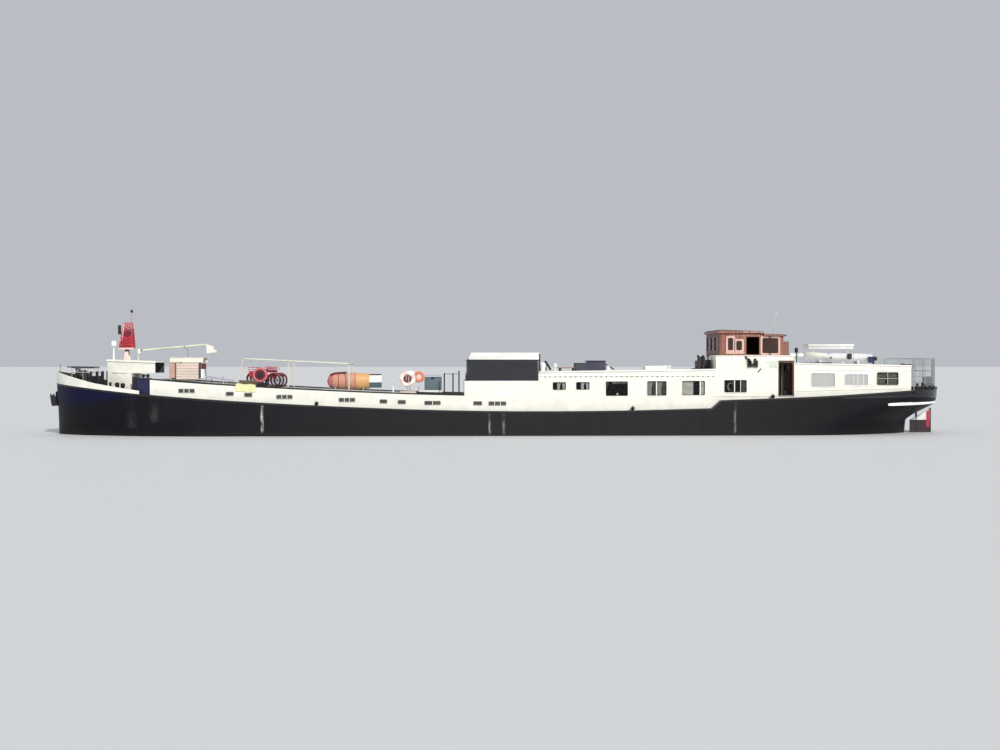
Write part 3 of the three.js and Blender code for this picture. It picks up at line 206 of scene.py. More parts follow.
def loft(sections: Array) -> Shape:
    """A closed body through equally long closed sections, capped at both ends."""
    points, faces = grid(sections, around=True)
    rows, columns = sections.shape[:2]
    faces.append(tuple(range(columns))[::-1])
    faces.append(tuple(range((rows - 1) * columns, rows * columns)))
    return points, faces


def place(axis: str, outline: Array, level: float) -> Array:
    """Points of a flat outline at one level of an axis; it holds the other two in X, Y, Z order."""
    index = "xyz".index(axis)
    return np.insert(np.asarray(outline, float), index, level, axis=1)


def prism(axis: str, outline: Iterable, low: float, high: float) -> Shape:
    """A flat outline pushed along one axis."""
    outline = np.array(list(outline), float)
    return loft(np.stack((place(axis, outline, low), place(axis, outline, high))))


def box(low: Point, high: Point) -> Shape:
    """A block between two corners."""
    return prism("z", rectangle(low[0], high[0], low[1], high[1]), low[2], high[2])


def rectangle(u0: float, u1: float, v0: float, v1: float, radius: float = 0.0, steps: int = 5) -> Array:
    """A flat rectangle outline with rounded corners."""
    if radius <= 0:
        return np.array(((u0, v0), (u1, v0), (u1, v1), (u0, v1)))
    turn = np.linspace(0, math.pi / 2, steps)
    corners = (
        (u1 - radius, v1 - radius, 0), (u0 + radius, v1 - radius, 1), (u0 + radius, v0 + radius, 2),
        (u1 - radius, v0 + radius, 3))
    return np.concatenate([
        np.stack(
            (u + radius * np.cos(turn + k * math.pi / 2), v + radius * np.sin(turn + k * math.pi / 2)), -1)
        for u, v, k in corners])


def hoop(axis: str, outer: Array, inner: Array, low: float, high: float) -> Shape:
    """A flat frame between two outlines of the same number of points."""
    rows = np.stack((
        place(axis, outer, low), place(axis, outer, high), place(axis, inner, high),
        place(axis, inner, low)))
    return grid(rows, around=True, along=True)


def across(direction: Array) -> tuple[Array, Array]:
    """Two unit vectors square to a direction."""
    direction = direction / np.linalg.norm(direction)
    other = np.array(UP if abs(direction[2]) < 0.9 else ASTERN)
    u = np.cross(direction, other)
    u /= np.linalg.norm(u)
    return u, np.cross(direction, u)


def circle(count: int, turn: float = 0.0) -> Array:
    """Unit circle points, count x 2."""
    angle = np.arange(count) * 2 * math.pi / count + turn
    return np.stack((np.cos(angle), np.sin(angle)), -1)


def turned(start: Point, direction: Point, rows: Sequence[tuple[float, float]], sides: int = 20) -> Shape:
    """A body of revolution from rows of distance along its axis and radius."""
    axis = np.array(direction, float)
    axis /= np.linalg.norm(axis)
    u, v = across(axis)
    spokes = circle(sides) @ np.stack((u, v))
    along, radius = np.array(rows, float).T
    centre = np.array(start, float) + along[:, None] * axis
    return loft(centre[:, None] + radius[:, None, None] * spokes[None])


def upright(foot: Point, rows: Sequence[tuple[float, float]], sides: int = 20) -> Shape:
    """A body of revolution that stands on its foot, from rows of height and radius."""
    return turned(foot, UP, rows, sides)


def tube(path: Iterable, radius: float | Sequence[float], sides: int = 8, closed: bool = False) -> Shape:
    """A round bar along a path, its cross-section carried on from point to point without twist."""
    path = np.array(list(path), float)
    radii = np.broadcast_to(np.asarray(radius, float), len(path))
    ahead = np.roll(path, -1, axis=0) - path
    if closed:
        tangent = ahead + np.roll(ahead, 1, axis=0)
    else:
        ahead[-1] = ahead[-2]
        tangent = ahead.copy()
        sizes = np.linalg.norm(ahead, axis=1)
        tangent[1:] += ahead[:-1] * (sizes[1:] / sizes[:-1])[:, None]
    tangent /= np.linalg.norm(tangent, axis=1)[:, None]
    u, _ = across(tangent[0])
    rings = []
    for t, centre, r in zip(tangent, path, radii):
        u = u - t * np.dot(u, t)
        u /= np.linalg.norm(u)
        rings.append(centre + r * (circle(sides) @ np.stack((u, np.cross(t, u)))))
    if closed:
        return grid(np.array(rings), around=True, along=True)
    return loft(np.array(rings))


def bar(start: Point, end: Point, radius: float, sides: int = 8) -> Shape:
    """A straight round bar."""
    return tube((start, end), radius, sides)


def ring(
    centre: Point, direction: Point, radius: float, thick: float, around: int = 32, sides: int = 10
) -> Shape:
    """A round ring of round bar."""
    u, v = across(np.array(direction, float))
    return tube(np.array(centre) + radius * (circle(around) @ np.stack((u, v))), thick, sides, closed=True)


def carried(xs: Array, heights: Array, profile: Iterable[tuple[float, float]]) -> Array:
    """Rows of a profile of Y and rise, carried along the ship at the heights given."""
    return np.stack([np.column_stack((xs, np.full_like(xs, y), heights + rise)) for y, rise in profile], 1)


def layer(side: Side, inner: float, outer: float) -> list[float]:
    """The lower and the higher Y of a layer on one side, from its two distances off the middle line."""
    return sorted((side.value * inner, side.value * outer))


def joined(*shapes: Shape) -> Shape:
    """Several shapes as one."""
    points, faces, first = [], [], 0
    for shape_points, shape_faces in shapes:
        points.append(shape_points)
        faces += [tuple(i + first for i in face) for face in shape_faces]
        first += len(shape_points)
    return np.concatenate(points), faces


def mirrored(shape: Shape) -> Shape:
    """The same shape on the other side of the ship."""
    points, faces = shape
    return points * (1, -1, 1), [face[::-1] for face in faces]


# Shader building

class Graph:
    """Short calls that add and link shader nodes in one node tree."""

    def __init__(self, tree: bpy.types.NodeTree) -> None:
        self.tree = tree

    def add(self, kind: str, **settings: object) -> bpy.types.Node:
        """Adds a node and sets its properties."""
        node = self.tree.nodes.new("ShaderNode" + kind if not kind.startswith("Node") else kind)
        for name, value in settings.items():
            setattr(node, name, value)
        return node

    def put(self, socket: bpy.types.NodeSocket, value: object) -> None:
        """Links a socket to another one, or sets its number or colour."""
        if isinstance(value, bpy.types.NodeSocket):
            self.tree.links.new(value, socket)
        elif socket.type == "RGBA":
            socket.default_value = (*value[:3], 1.0)
        else:
            socket.default_value = value

    def math(self, operation: str, a: object, b: object = 0.0, clamp: bool = False) -> bpy.types.NodeSocket:
        """One sum with two numbers."""
        node = self.add("Math", operation=operation, use_clamp=clamp)
        self.put(node.inputs[0], a)
        self.put(node.inputs[1], b)
        return node.outputs[0]

    def stretched(self, where: object, factors: Point) -> bpy.types.NodeSocket:
        """A place scaled apart along each axis."""
        node = self.add("VectorMath", operation="MULTIPLY")
        self.put(node.inputs[0], where)
        self.put(node.inputs[1], factors)
        return node.outputs[0]

    def noise(
        self, where: object, scale: float, detail: float = 4.0, rough: float = 0.55
    ) -> bpy.types.NodeSocket:
        """Fractal noise from 0 to 1."""
        node = self.add("TexNoise", noise_dimensions="3D")
        self.put(node.inputs["Vector"], where)
        self.put(node.inputs["Scale"], scale)
        self.put(node.inputs["Detail"], detail)
        self.put(node.inputs["Roughness"], rough)
        return node.outputs[0]

    def span(
        self, value: object, low: object, high: object, to_low: object = 0.0, to_high: object = 1.0
    ) -> bpy.types.NodeSocket:
        """A number carried smoothly from one range to another and held at its ends."""
        node = self.add("MapRange", interpolation_type="SMOOTHSTEP", clamp=True)
        for socket, number in zip(node.inputs[:5], (value, low, high, to_low, to_high)):
            self.put(socket, number)
        return node.outputs[0]

    def mix(self, factor: object, a: object, b: object, blend: str = "MIX") -> bpy.types.NodeSocket:
        """A blend of two colours."""
        node = self.add("Mix", data_type="RGBA", blend_type=blend)
        self.put(node.inputs[0], factor)
        self.put(node.inputs[6], a)
        self.put(node.inputs[7], b)
        return node.outputs[2]

    def dress(
        self, shader: bpy.types.Node, colour: object, roughness: object, normal: object, **numbers: float
    ) -> None:
        """Sets a shader's colour, roughness and normal, and other sockets by name with underscores."""
        self.put(shader.inputs["Base Color"], colour)
        self.put(shader.inputs["Roughness"], roughness)
        self.put(shader.inputs["Normal"], normal)
        for name, number in numbers.items():
            shader.inputs[name.replace("_", " ")].default_value = number

    def weathered(self, colour: object, dirt_colour: object, dirt: float, streaks: float) -> bpy.types.Node:
        """Adds the weather group for a colour."""
        return self.use(EFFECTS.weather, Colour=colour, Dirt_Colour=dirt_colour, Dirt=dirt, Streaks=streaks)

    def object_place(self) -> bpy.types.NodeSocket:
        """The place on the object, in metres in the ship's frame."""
        return self.add("TexCoord").outputs["Object"]

    def parts(self, where: object) -> tuple[bpy.types.NodeSocket, ...]:
        """The X, Y and Z of a place."""
        node = self.add("SeparateXYZ")
        self.put(node.inputs[0], where)
        return tuple(node.outputs)

    def bump(self, height: object, strength: float, distance: float) -> bpy.types.NodeSocket:
        """A normal raised by a height."""
        node = self.add("Bump")
        self.put(node.inputs["Height"], height)
        node.inputs["Strength"].default_value = strength
        node.inputs["Distance"].default_value = distance
        return node.outputs[0]

    def use(self, group: bpy.types.NodeTree, **values: object) -> bpy.types.Node:
        """Adds a shared group and sets its inputs by name, with spaces written as underscores."""
        node = self.add("Group", node_tree=group)
        for name, value in values.items():
            self.put(node.inputs[name.replace("_", " ")], value)
        return node


@dataclass
class SharedEffect:
    """A shader node group that several finishes use.

    Args:
        name: name of the group.
        inputs: name, socket kind and value of each input.
        outputs: name and socket kind of each output.
    """

    name: str
    inputs: tuple[tuple[str, str, object], ...]
    outputs: tuple[tuple[str, str], ...]

    def start(self) -> tuple[bpy.types.NodeTree, Graph, bpy.types.Node, bpy.types.Node]:
        """Makes the empty group.

        Returns:
            The group, its graph, its input node and its output node.
        """
        tree = bpy.data.node_groups.new(self.name, "ShaderNodeTree")
        for name, kind, value in self.inputs:
            socket = tree.interface.new_socket(name, in_out="INPUT", socket_type="NodeSocket" + kind)
            socket.default_value = (*value, 1.0) if kind == "Color" else value
        for name, kind in self.outputs:
            tree.interface.new_socket(name, in_out="OUTPUT", socket_type="NodeSocket" + kind)
        graph = Graph(tree)
        return tree, graph, graph.add("NodeGroupInput"), graph.add("NodeGroupOutput")


class Effects:
    """The shared shader groups, each made once."""

    def __init__(self) -> None:
        self.weather = self._weather()
        self.plates = self._plates()
        self.boards = self._boards()
        self.grain = self._grain()
        self.weave = self._weave()
        self.run = self._run()
        self.tread = self._tread()

    def _weather(self) -> bpy.types.NodeTree:
        """Uneven colour, dirt in patches and rain streaks down the sides."""
        effect = SharedEffect(
            "weather",
            (
                ("Colour", "Color", (0.8, 0.8, 0.8)), ("Dirt Colour", "Color", (0.2, 0.17, 0.13)),
                ("Dirt", "Float", 0.2), ("Streaks", "Float", 0.2)),
            (("Colour", "Color"), ("Mask", "Float"), ("Height", "Float")))
        tree, g, start, end = effect.start()
        where = g.object_place()
        patches = g.span(g.noise(where, 1.3, 6.0, 0.62), 0.42, 0.78)
        fine = g.noise(where, 22.0, 3.0)
        streak = g.span(g.noise(g.stretched(where, (7.0, 7.0, 0.55)), 1.0, 4.0, 0.6), 0.5, 0.78)
        dirt = g.math("MULTIPLY", patches, start.outputs["Dirt"])
        runs = g.math("MULTIPLY", streak, start.outputs["Streaks"])
        mask = g.math("ADD", dirt, runs, clamp=True)
        tinted = g.mix(mask, start.outputs["Colour"], start.outputs["Dirt Colour"])
        uneven = g.span(g.noise(where, 4.0, 3.0), 0.3, 0.7, 0.93, 1.05)
        shade = g.add("CombineColor")
        for socket in shade.inputs:
            g.put(socket, uneven)
        g.put(end.inputs["Colour"], g.mix(1.0, tinted, shade.outputs[0], "MULTIPLY"))
        g.put(end.inputs["Mask"], mask)
        g.put(end.inputs["Height"], fine)
        return tree

    def _plates(self) -> bpy.types.NodeTree:
        """Weld seams between steel plates and the shallow waves of the plating."""
        effect = SharedEffect(
            "plates", (("Pitch", "Float", 1.8), ("Row", "Float", 0.52)),
            (("Seam", "Float"), ("Height", "Float")))
        tree, g, start, end = effect.start()
        where = g.object_place()
        x, _, z = g.parts(where)
        row = g.math("FLOOR", g.math("DIVIDE", z, start.outputs["Row"]))
        shifted = g.math("ADD", x, g.math("MULTIPLY", row, 0.73))
        near_x = g.math("PINGPONG", shifted, g.math("MULTIPLY", start.outputs["Pitch"], 0.5))
        near_z = g.math("PINGPONG", z, g.math("MULTIPLY", start.outputs["Row"], 0.5))
        seam = g.math("MAXIMUM", g.span(near_x, 0.018, 0.006), g.span(near_z, 0.02, 0.006))
        waves = g.noise(g.stretched(where, (1.6, 1.6, 2.6)), 1.0, 2.0)
        g.put(end.inputs["Seam"], seam)
        g.put(end.inputs["Height"], g.math("ADD", g.math("MULTIPLY", seam, 0.12), waves))
        return tree

    def _boards(self) -> bpy.types.NodeTree:
        """Boards side by side with a groove between them and a shade of their own."""
        effect = SharedEffect(
            "boards", (("Across", "Float", 0.0), ("Width", "Float", 0.09)),
            (("Groove", "Float"), ("Shade", "Float")))
        tree, g, start, end = effect.start()
        share = g.math("DIVIDE", start.outputs["Across"], start.outputs["Width"])
        noise = g.add("TexWhiteNoise", noise_dimensions="1D")
        g.put(noise.inputs["W"], g.math("FLOOR", share))
        edge = g.math("PINGPONG", share, 0.5)
        g.put(end.inputs["Groove"], g.span(edge, 0.09, 0.03))
        g.put(end.inputs["Shade"], noise.outputs["Value"])
        return tree

    def _grain(self) -> bpy.types.NodeTree:
        """Long wood grain along one axis, which the stretch of the place gives."""
        effect = SharedEffect(
            "grain", (("Place", "Vector", (0.0, 0.0, 0.0)),), (("Light", "Float"), ("Pores", "Float")))
        tree, g, start, end = effect.start()
        bands = g.noise(start.outputs["Place"], 1.0, 5.0, 0.6)
        pores = g.noise(start.outputs["Place"], 6.0, 3.0, 0.7)
        g.put(end.inputs["Light"], g.span(bands, 0.3, 0.7))
        g.put(end.inputs["Pores"], pores)
        return tree

    def _weave(self) -> bpy.types.NodeTree:
        """Threads over and under each other, with slubs."""
        effect = SharedEffect(
            "weave", (("Threads", "Float", 260.0),), (("Height", "Float"), ("Fade", "Float")))
        tree, g, start, end = effect.start()
        where = g.object_place()
        x, y, z = g.parts(where)
        turn = g.math("MULTIPLY", g.math("ADD", x, g.math("MULTIPLY", y, 0.83)), start.outputs["Threads"])
        rise = g.math("MULTIPLY", g.math("ADD", z, g.math("MULTIPLY", y, 0.47)), start.outputs["Threads"])
        threads = g.math("MULTIPLY", g.math("SINE", turn), g.math("SINE", rise))
        g.put(end.inputs["Height"], g.math("ADD", threads, g.noise(where, 60.0, 2.0)))
        g.put(end.inputs["Fade"], g.span(g.noise(where, 5.0, 4.0), 0.3, 0.75))
        return tree

    def _run(self) -> bpy.types.NodeTree:
        """One narrow stain that runs down the side and fades to its foot."""
        effect = SharedEffect(
            "run",
            (("At", "Float", 0.0), ("Width", "Float", 0.03), ("Foot", "Float", 0.7), ("Top", "Float", 1.2)),
            (("Mask", "Float"),))
        tree, g, start, end = effect.start()
        where = g.object_place()
        x, _, z = g.parts(where)
        wander = g.math("MULTIPLY", g.math("SUBTRACT", g.noise(where, 3.5, 2.0), 0.5), 0.05)
        apart = g.math("ABSOLUTE", g.math("ADD", g.math("SUBTRACT", x, start.outputs["At"]), wander))
        narrow = g.span(apart, start.outputs["Width"], 0.0)
        below = g.span(z, start.outputs["Foot"], g.math("ADD", start.outputs["Foot"], 0.12))
        above = g.span(z, start.outputs["Top"], g.math("SUBTRACT", start.outputs["Top"], 0.25), 0.25, 1.0)
        broken = g.span(g.noise(g.stretched(where, (30.0, 30.0, 5.0)), 1.0, 2.0), 0.3, 0.6)
        mask = g.math("MULTIPLY", g.math("MULTIPLY", narrow, below), g.math("MULTIPLY", above, broken))
        g.put(end.inputs["Mask"], mask)
        return tree

    def _tread(self) -> bpy.types.NodeTree:
        """Sand in non-slip deck paint and paths worn through it."""
        effect = SharedEffect("tread", (), (("Height", "Float"), ("Worn", "Float")))
        tree, g, _, end = effect.start()
        where = g.object_place()
        cells = g.add("TexVoronoi", feature="F1")
        g.put(cells.inputs["Vector"], where)
        g.put(cells.inputs["Scale"], 90.0)
        g.put(end.inputs["Height"], cells.outputs["Distance"])
        g.put(
            end.inputs["Worn"], g.span(g.noise(g.stretched(where, (0.7, 1.6, 1.0)), 1.0, 5.0), 0.46, 0.72))
        return tree


EFFECTS = Effects()
MATERIALS: dict[str, bpy.types.Material] = {}


@dataclass(frozen=True)
class Finish:
    """What every finish has.

    Args:
        name: name of the material.
        colour: main colour, linear.
        roughness: how matt it is, from 0 to 1.
    """

    name: str
    colour: Colour
    roughness: float = 0.5

    def material(self) -> bpy.types.Material:
        """Gives the material, made the first time it is asked for."""
        made = MATERIALS.get(self.name)
        if made is None:
            made = MATERIALS[self.name] = bpy.data.materials.new(self.name)
            made.use_nodes = True
            tree = made.node_tree
            tree.nodes.clear()
            graph = Graph(tree)
            shader = graph.add("BsdfPrincipled")
            output = graph.add("OutputMaterial")
            tree.links.new(shader.outputs[0], output.inputs[0])
            self.dress(graph, shader)
        return made

    def dress(self, g: Graph, shader: bpy.types.Node) -> None:
        """Sets the shader's sockets."""
        g.put(shader.inputs["Base Color"], self.colour)
        g.put(shader.inputs["Roughness"], self.roughness)


@dataclass(frozen=True)
class Paint(Finish):
    """Ship's paint on steel: dirt, rain streaks and a brushed or rolled surface."""

    dirt: float = 0.3
    streaks: float = 0.2
    dirt_colour: Colour = (0.35, 0.3, 0.22)
    coat: float = 0.0
    metallic: float = 0.0
    lined_and_shaded: bool = False

    def dress(self, g: Graph, shader: bpy.types.Node) -> None:
        """Sets the shader's sockets; on a wall whose faces inside the rooms are panelled, those faces are
        near-black, painted that dark as the shade in the rooms.
        """
        weather = g.weathered(self.colour, self.dirt_colour, self.dirt, self.streaks)
        colour = weather.outputs["Colour"]
        if self.lined_and_shaded:
            # painted shade: faces inside the rooms are near-black, for panelling and for the rooms' shade
            depth = g.math("ABSOLUTE", g.parts(g.object_place())[1])
            colour = g.mix(g.math("LESS_THAN", depth, HOUSE_Y - 0.012), colour, (0.02, 0.014, 0.01))
        rough = g.span(weather.outputs["Mask"], 0.0, 0.4, self.roughness, min(1.0, self.roughness + 0.25))
        g.dress(
            shader, colour, rough, g.bump(weather.outputs["Height"], 0.25, 0.002), Metallic=self.metallic,
            Coat_Weight=self.coat, Coat_Roughness=0.15)


@dataclass(frozen=True)
class HullPaint(Finish):
    """Dark hull paint, navy high on the bow, with seams, white run stains and silt above the water."""

    bow: Colour = (0.004, 0.004, 0.034)
    faded: Colour = (0.0175, 0.0175, 0.0205)
    silt: Colour = (0.02, 0.02, 0.018)
    stains: tuple[tuple[float, float, float, float, float], ...] = (
        (-6.03, 0.05, 0.66, 1.42, 0.7), (-0.34, 0.045, 0.62, 1.08, 0.4), (0.02, 0.06, 0.6, 1.08, 0.22),
        (5.88, 0.05, 0.62, 1.35, 0.2), (-8.72, 0.16, 0.9, 1.45, 0.05), (-9.3, 0.2, 0.75, 1.3, 0.03))

    def dress(self, g: Graph, shader: bpy.types.Node) -> None:
        """Sets the shader's sockets."""
        where = g.object_place()
        x, _, z = g.parts(where)
        drop = g.add("Attribute", attribute_name="below_deck", attribute_type="GEOMETRY").outputs["Fac"]
        ragged = g.math("MULTIPLY", g.math("SUBTRACT", g.noise(where, 2.4, 5.0), 0.5), 0.22)
        reach = g.span(x, -11.4, -8.3, 0.5, -0.12)
        share = g.math("SUBTRACT", g.math("ADD", drop, ragged), reach)
        navy = g.span(share, 0.16, -0.12)
        sunned = g.math("MULTIPLY", g.span(x, -10.5, -0.5), g.span(x, 4.0, 10.0, 1.0, 0.0))
        base = g.mix(navy, g.mix(sunned, self.colour, self.faded), self.bow)
        weather = g.weathered(base, (0.013, 0.013, 0.016), 0.4, 0.4)
        silt = g.span(g.math("ADD", z, g.math("MULTIPLY", ragged, 0.6)), 0.8, 0.6, 0.0, 0.4)
        colour = g.mix(silt, weather.outputs["Colour"], self.silt)
        for at, width, foot, top, strength in self.stains:
            run = g.use(EFFECTS.run, At=at, Width=width, Foot=foot, Top=top)
            colour = g.mix(g.math("MULTIPLY", run.outputs[0], strength), colour, (0.75, 0.75, 0.72))
        plates = g.use(EFFECTS.plates, Pitch=2.4, Row=0.47)
        rough = g.span(weather.outputs["Mask"], 0.0, 0.5, self.roughness, 0.62)
        height = g.math(
            "ADD", plates.outputs["Height"], g.math("MULTIPLY", weather.outputs["Height"], 0.04))
        g.dress(shader, colour, rough, g.bump(height, 0.5, 0.02), Specular_IOR_Level=0.14)


@dataclass(frozen=True)
class DeckPaint(Finish):
    """Sanded non-slip deck paint, worn in paths."""

    worn: Colour = (0.3, 0.3, 0.29)

    def dress(self, g: Graph, shader: bpy.types.Node) -> None:
        """Sets the shader's sockets."""
        tread = g.use(EFFECTS.tread)
        weather = g.weathered(self.colour, self.worn, 0.5, 0.0)
        colour = g.mix(g.math("MULTIPLY", tread.outputs["Worn"], 0.5), weather.outputs["Colour"], self.worn)
        rough = g.span(tread.outputs["Worn"], 0.0, 1.0, self.roughness, self.roughness - 0.2)
        g.dress(shader, colour, rough, g.bump(tread.outputs["Height"], 0.4, 0.003))


@dataclass(frozen=True)
class Wood(Finish):
    """Varnished or oiled boards with grain."""

    light: Colour = (0.5, 0.22, 0.14)
    board: float = 0.09
    upright: bool = True
    coat: float = 0.35

    def dress(self, g: Graph, shader: bpy.types.Node) -> None:
        """Sets the shader's sockets."""
        where = g.object_place()
        x, y, z = g.parts(where)
        along = (14.0, 14.0, 1.1) if self.upright else (1.1, 14.0, 14.0)
        grain = g.use(EFFECTS.grain, Place=g.stretched(where, along))
        measure = g.math("ADD", x, y) if self.upright else g.math("ADD", y, z)
        boards = g.use(EFFECTS.boards, Across=measure, Width=self.board)
        mixed = g.mix(grain.outputs["Light"], self.colour, self.light)
        tone = g.span(boards.outputs["Shade"], 0.0, 1.0, 0.0, 0.4)
        mixed = g.mix(tone, mixed, g.mix(0.5, self.colour, (0.02, 0.01, 0.01)))
        dark = g.mix(g.math("MULTIPLY", boards.outputs["Groove"], 0.7), mixed, (0.02, 0.01, 0.008))
        rough = g.span(grain.outputs["Pores"], 0.3, 0.7, self.roughness, self.roughness + 0.2)
        height = g.math(
            "SUBTRACT", g.math("MULTIPLY", grain.outputs["Pores"], 0.2), boards.outputs["Groove"])
        g.dress(shader, dark, rough, g.bump(height, 0.5, 0.003), Coat_Weight=self.coat, Coat_Roughness=0.2)


@dataclass(frozen=True)
class Metal(Finish):
    """Bare metal with brushed and dulled patches."""

    dull: float = 0.25

    def dress(self, g: Graph, shader: bpy.types.Node) -> None:
        """Sets the shader's sockets."""
        weather = g.weathered(self.colour, (0.2, 0.18, 0.16), self.dull, 0.1)
        rough = g.span(weather.outputs["Mask"], 0.0, 0.4, self.roughness, 0.7)
        bumps = g.bump(weather.outputs["Height"], 0.2, 0.001)
        g.dress(shader, weather.outputs["Colour"], rough, bumps, Metallic=0.95)


@dataclass(frozen=True)
class Fabric(Finish):
    """Woven cloth with sheen and sun fading."""

    faded: Colour = (0.9, 0.88, 0.82)
    threads: float = 260.0
    sheen: float = 0.3

    def dress(self, g: Graph, shader: bpy.types.Node) -> None:
        """Sets the shader's sockets."""
        weave = g.use(EFFECTS.weave, Threads=self.threads)
        weather = g.weathered(self.colour, self.faded, 0.35, 0.1)
        colour = g.mix(
            g.math("MULTIPLY", weave.outputs["Fade"], 0.3), weather.outputs["Colour"], self.faded)
        rough = g.span(weave.outputs["Height"], -1.0, 2.0, self.roughness, 1.0)
        g.dress(
            shader, colour, rough, g.bump(weave.outputs["Height"], 0.35, 0.0015), Sheen_Weight=self.sheen,
            Sheen_Roughness=0.5)


@dataclass(frozen=True)
class Glass(Finish):
    """Window glass that shows some of the room behind it, with smears."""

    alpha: float = 0.45

    def dress(self, g: Graph, shader: bpy.types.Node) -> None:
        """Sets the shader's sockets."""
        where = g.object_place()
        smear = g.noise(g.stretched(where, (3.0, 3.0, 9.0)), 1.0, 5.0)
        rough = g.span(smear, 0.35, 0.75, self.roughness, self.roughness + 0.12)
        g.dress(
            shader, self.colour, rough, g.bump(g.noise(where, 2.0, 1.0), 0.06, 0.01),
            Specular_IOR_Level=0.6)
        g.put(shader.inputs["Alpha"], g.span(smear, 0.3, 0.8, self.alpha, min(1.0, self.alpha + 0.12)))


CREAM = Paint(
    "cream_paint", (0.88, 0.87, 0.78), 0.4, dirt=0.03, streaks=0.05, dirt_colour=(0.6, 0.55, 0.42))
WALL = Paint(
    "wall_paint", (0.88, 0.87, 0.78), 0.4, dirt=0.03, streaks=0.05, dirt_colour=(0.6, 0.55, 0.42),
    lined_and_shaded=True)
ROOF_WHITE = Paint("roof_white", (0.86, 0.86, 0.83), 0.45, streaks=0.0, dirt_colour=(0.5, 0.48, 0.42))
WHITE = Paint("white_paint", (0.88, 0.88, 0.85), 0.35, dirt=0.1, streaks=0.1, dirt_colour=(0.5, 0.46, 0.38))
BLACK = Paint("black_paint", (0.007, 0.007, 0.009), 0.42, dirt_colour=(0.03, 0.03, 0.03))
GLOSS_BLACK = Paint(
    "gloss_black_paint", (0.008, 0.008, 0.01), 0.2, dirt=0.2, streaks=0.1, dirt_colour=(0.04, 0.04, 0.04))
NAVY = Paint(
    "navy_paint", (0.008, 0.01, 0.06), 0.35, dirt=0.2, streaks=0.15, dirt_colour=(0.06, 0.06, 0.11),
    coat=0.15)
LOUNGE_DARK = Paint(
    "lounge_paint", (0.022, 0.022, 0.035), 0.35, dirt=0.2, streaks=0.1, dirt_colour=(0.05, 0.045, 0.07))
LOUNGE_EDGE = Paint(
    "lounge_edge", (0.016, 0.012, 0.045), 0.35, dirt=0.2, streaks=0.1, dirt_colour=(0.04, 0.03, 0.08))
RED = Paint("red_paint", (0.46, 0.014, 0.035), 0.4, dirt=0.2, dirt_colour=(0.5, 0.12, 0.14), coat=0.1)
PINK = Paint("faded_red_paint", (0.6, 0.15, 0.18), 0.5, streaks=0.3, dirt_colour=(0.66, 0.36, 0.36))
PALE_PINK = Paint("pale_pink_paint", (0.82, 0.6, 0.56), 0.5, streaks=0.1, dirt_colour=(0.8, 0.7, 0.62))
DARK_RED = Paint("dark_red_paint", (0.13, 0.01, 0.02), 0.4, dirt=0.2, dirt_colour=(0.3, 0.1, 0.1))
MAROON = Paint("maroon_paint", (0.022, 0.009, 0.016), 0.45, streaks=0.1, dirt_colour=(0.06, 0.03, 0.035))
DOOR_BROWN = Paint("doorway_paint", (0.1, 0.04, 0.028), 0.45, streaks=0.1, dirt_colour=(0.05, 0.02, 0.015))
GREY = Paint("grey_paint", (0.3, 0.32, 0.34), 0.45)
LIGHT_GREY = Paint("light_grey_paint", (0.5, 0.51, 0.5), 0.5)
PALE_GREEN = Paint("pale_green_paint", (0.66, 0.7, 0.6), 0.5, dirt=0.2, streaks=0.1)
SEAT_CREAM = Paint("seat_paint", (0.7, 0.6, 0.5), 0.55, streaks=0.1, dirt_colour=(0.8, 0.7, 0.6))
GREY_GREEN = Paint("grey_green_paint", (0.4, 0.44, 0.38), 0.5)
LAVENDER = Paint("pale_grey_paint", (0.5, 0.5, 0.6), 0.5, streaks=0.1)
DARK_GREY = Paint("dark_grey_paint", (0.045, 0.047, 0.052), 0.5, dirt=0.4, dirt_colour=(0.1, 0.09, 0.08))
TEAL = Paint("blue_grey_paint", (0.022, 0.034, 0.042), 0.5, dirt_colour=(0.05, 0.06, 0.07))
PALE_TEAL = Paint("pale_blue_grey_paint", (0.05, 0.09, 0.12), 0.5, dirt_colour=(0.1, 0.12, 0.13))
LOCKER = Paint("grey_plastic", (0.11, 0.15, 0.18), 0.55, dirt_colour=(0.2, 0.22, 0.24))
ORANGE = Paint("orange_plastic", (0.62, 0.29, 0.21), 0.55, streaks=0.15, dirt_colour=(0.7, 0.4, 0.34))
BRIGHT_ORANGE = Paint(
    "bright_orange", (0.72, 0.22, 0.13), 0.45, streaks=0.1, dirt_colour=(0.75, 0.42, 0.34))
YELLOW = Paint("yellow_plastic", (0.78, 0.42, 0.16), 0.45, dirt=0.25, streaks=0.1)
GELCOAT = Paint("white_gelcoat", (0.8, 0.8, 0.83), 0.3, dirt=0.2, streaks=0.15, coat=0.3)
IRON = Paint(
    "iron", (0.012, 0.012, 0.018), 0.55, dirt=0.4, streaks=0.3, dirt_colour=(0.05, 0.035, 0.03),
    metallic=0.3)
RUBBER = Paint("rubber", (0.018, 0.018, 0.018), 0.8, dirt=0.4, streaks=0.0, dirt_colour=(0.07, 0.07, 0.07))
OLIVE = Paint("olive_paint", (0.14, 0.13, 0.09), 0.6, streaks=0.1, dirt_colour=(0.2, 0.18, 0.13))
GREEN = Paint("green_lamp", (0.02, 0.3, 0.1), 0.2, dirt=0.1, streaks=0.0, coat=0.5)
BOOM_PALE = Paint("boom_paint", (0.66, 0.76, 0.56), 0.5, streaks=0.0)
PERGOLA = Paint("pergola_paint", (0.78, 0.76, 0.62), 0.45)
LIGHT_GLASS = Paint(
    "small_window_glass", (0.055, 0.057, 0.05), 0.15, dirt=0.4, streaks=0.1, dirt_colour=(0.2, 0.2, 0.18))
STEEL = Metal("steel", (0.55, 0.56, 0.57), 0.32)
BRONZE = Metal("bronze", (0.55, 0.35, 0.12), 0.28)
DECK = DeckPaint("deck_paint", (0.07, 0.075, 0.08), 0.85, worn=(0.2, 0.2, 0.19))
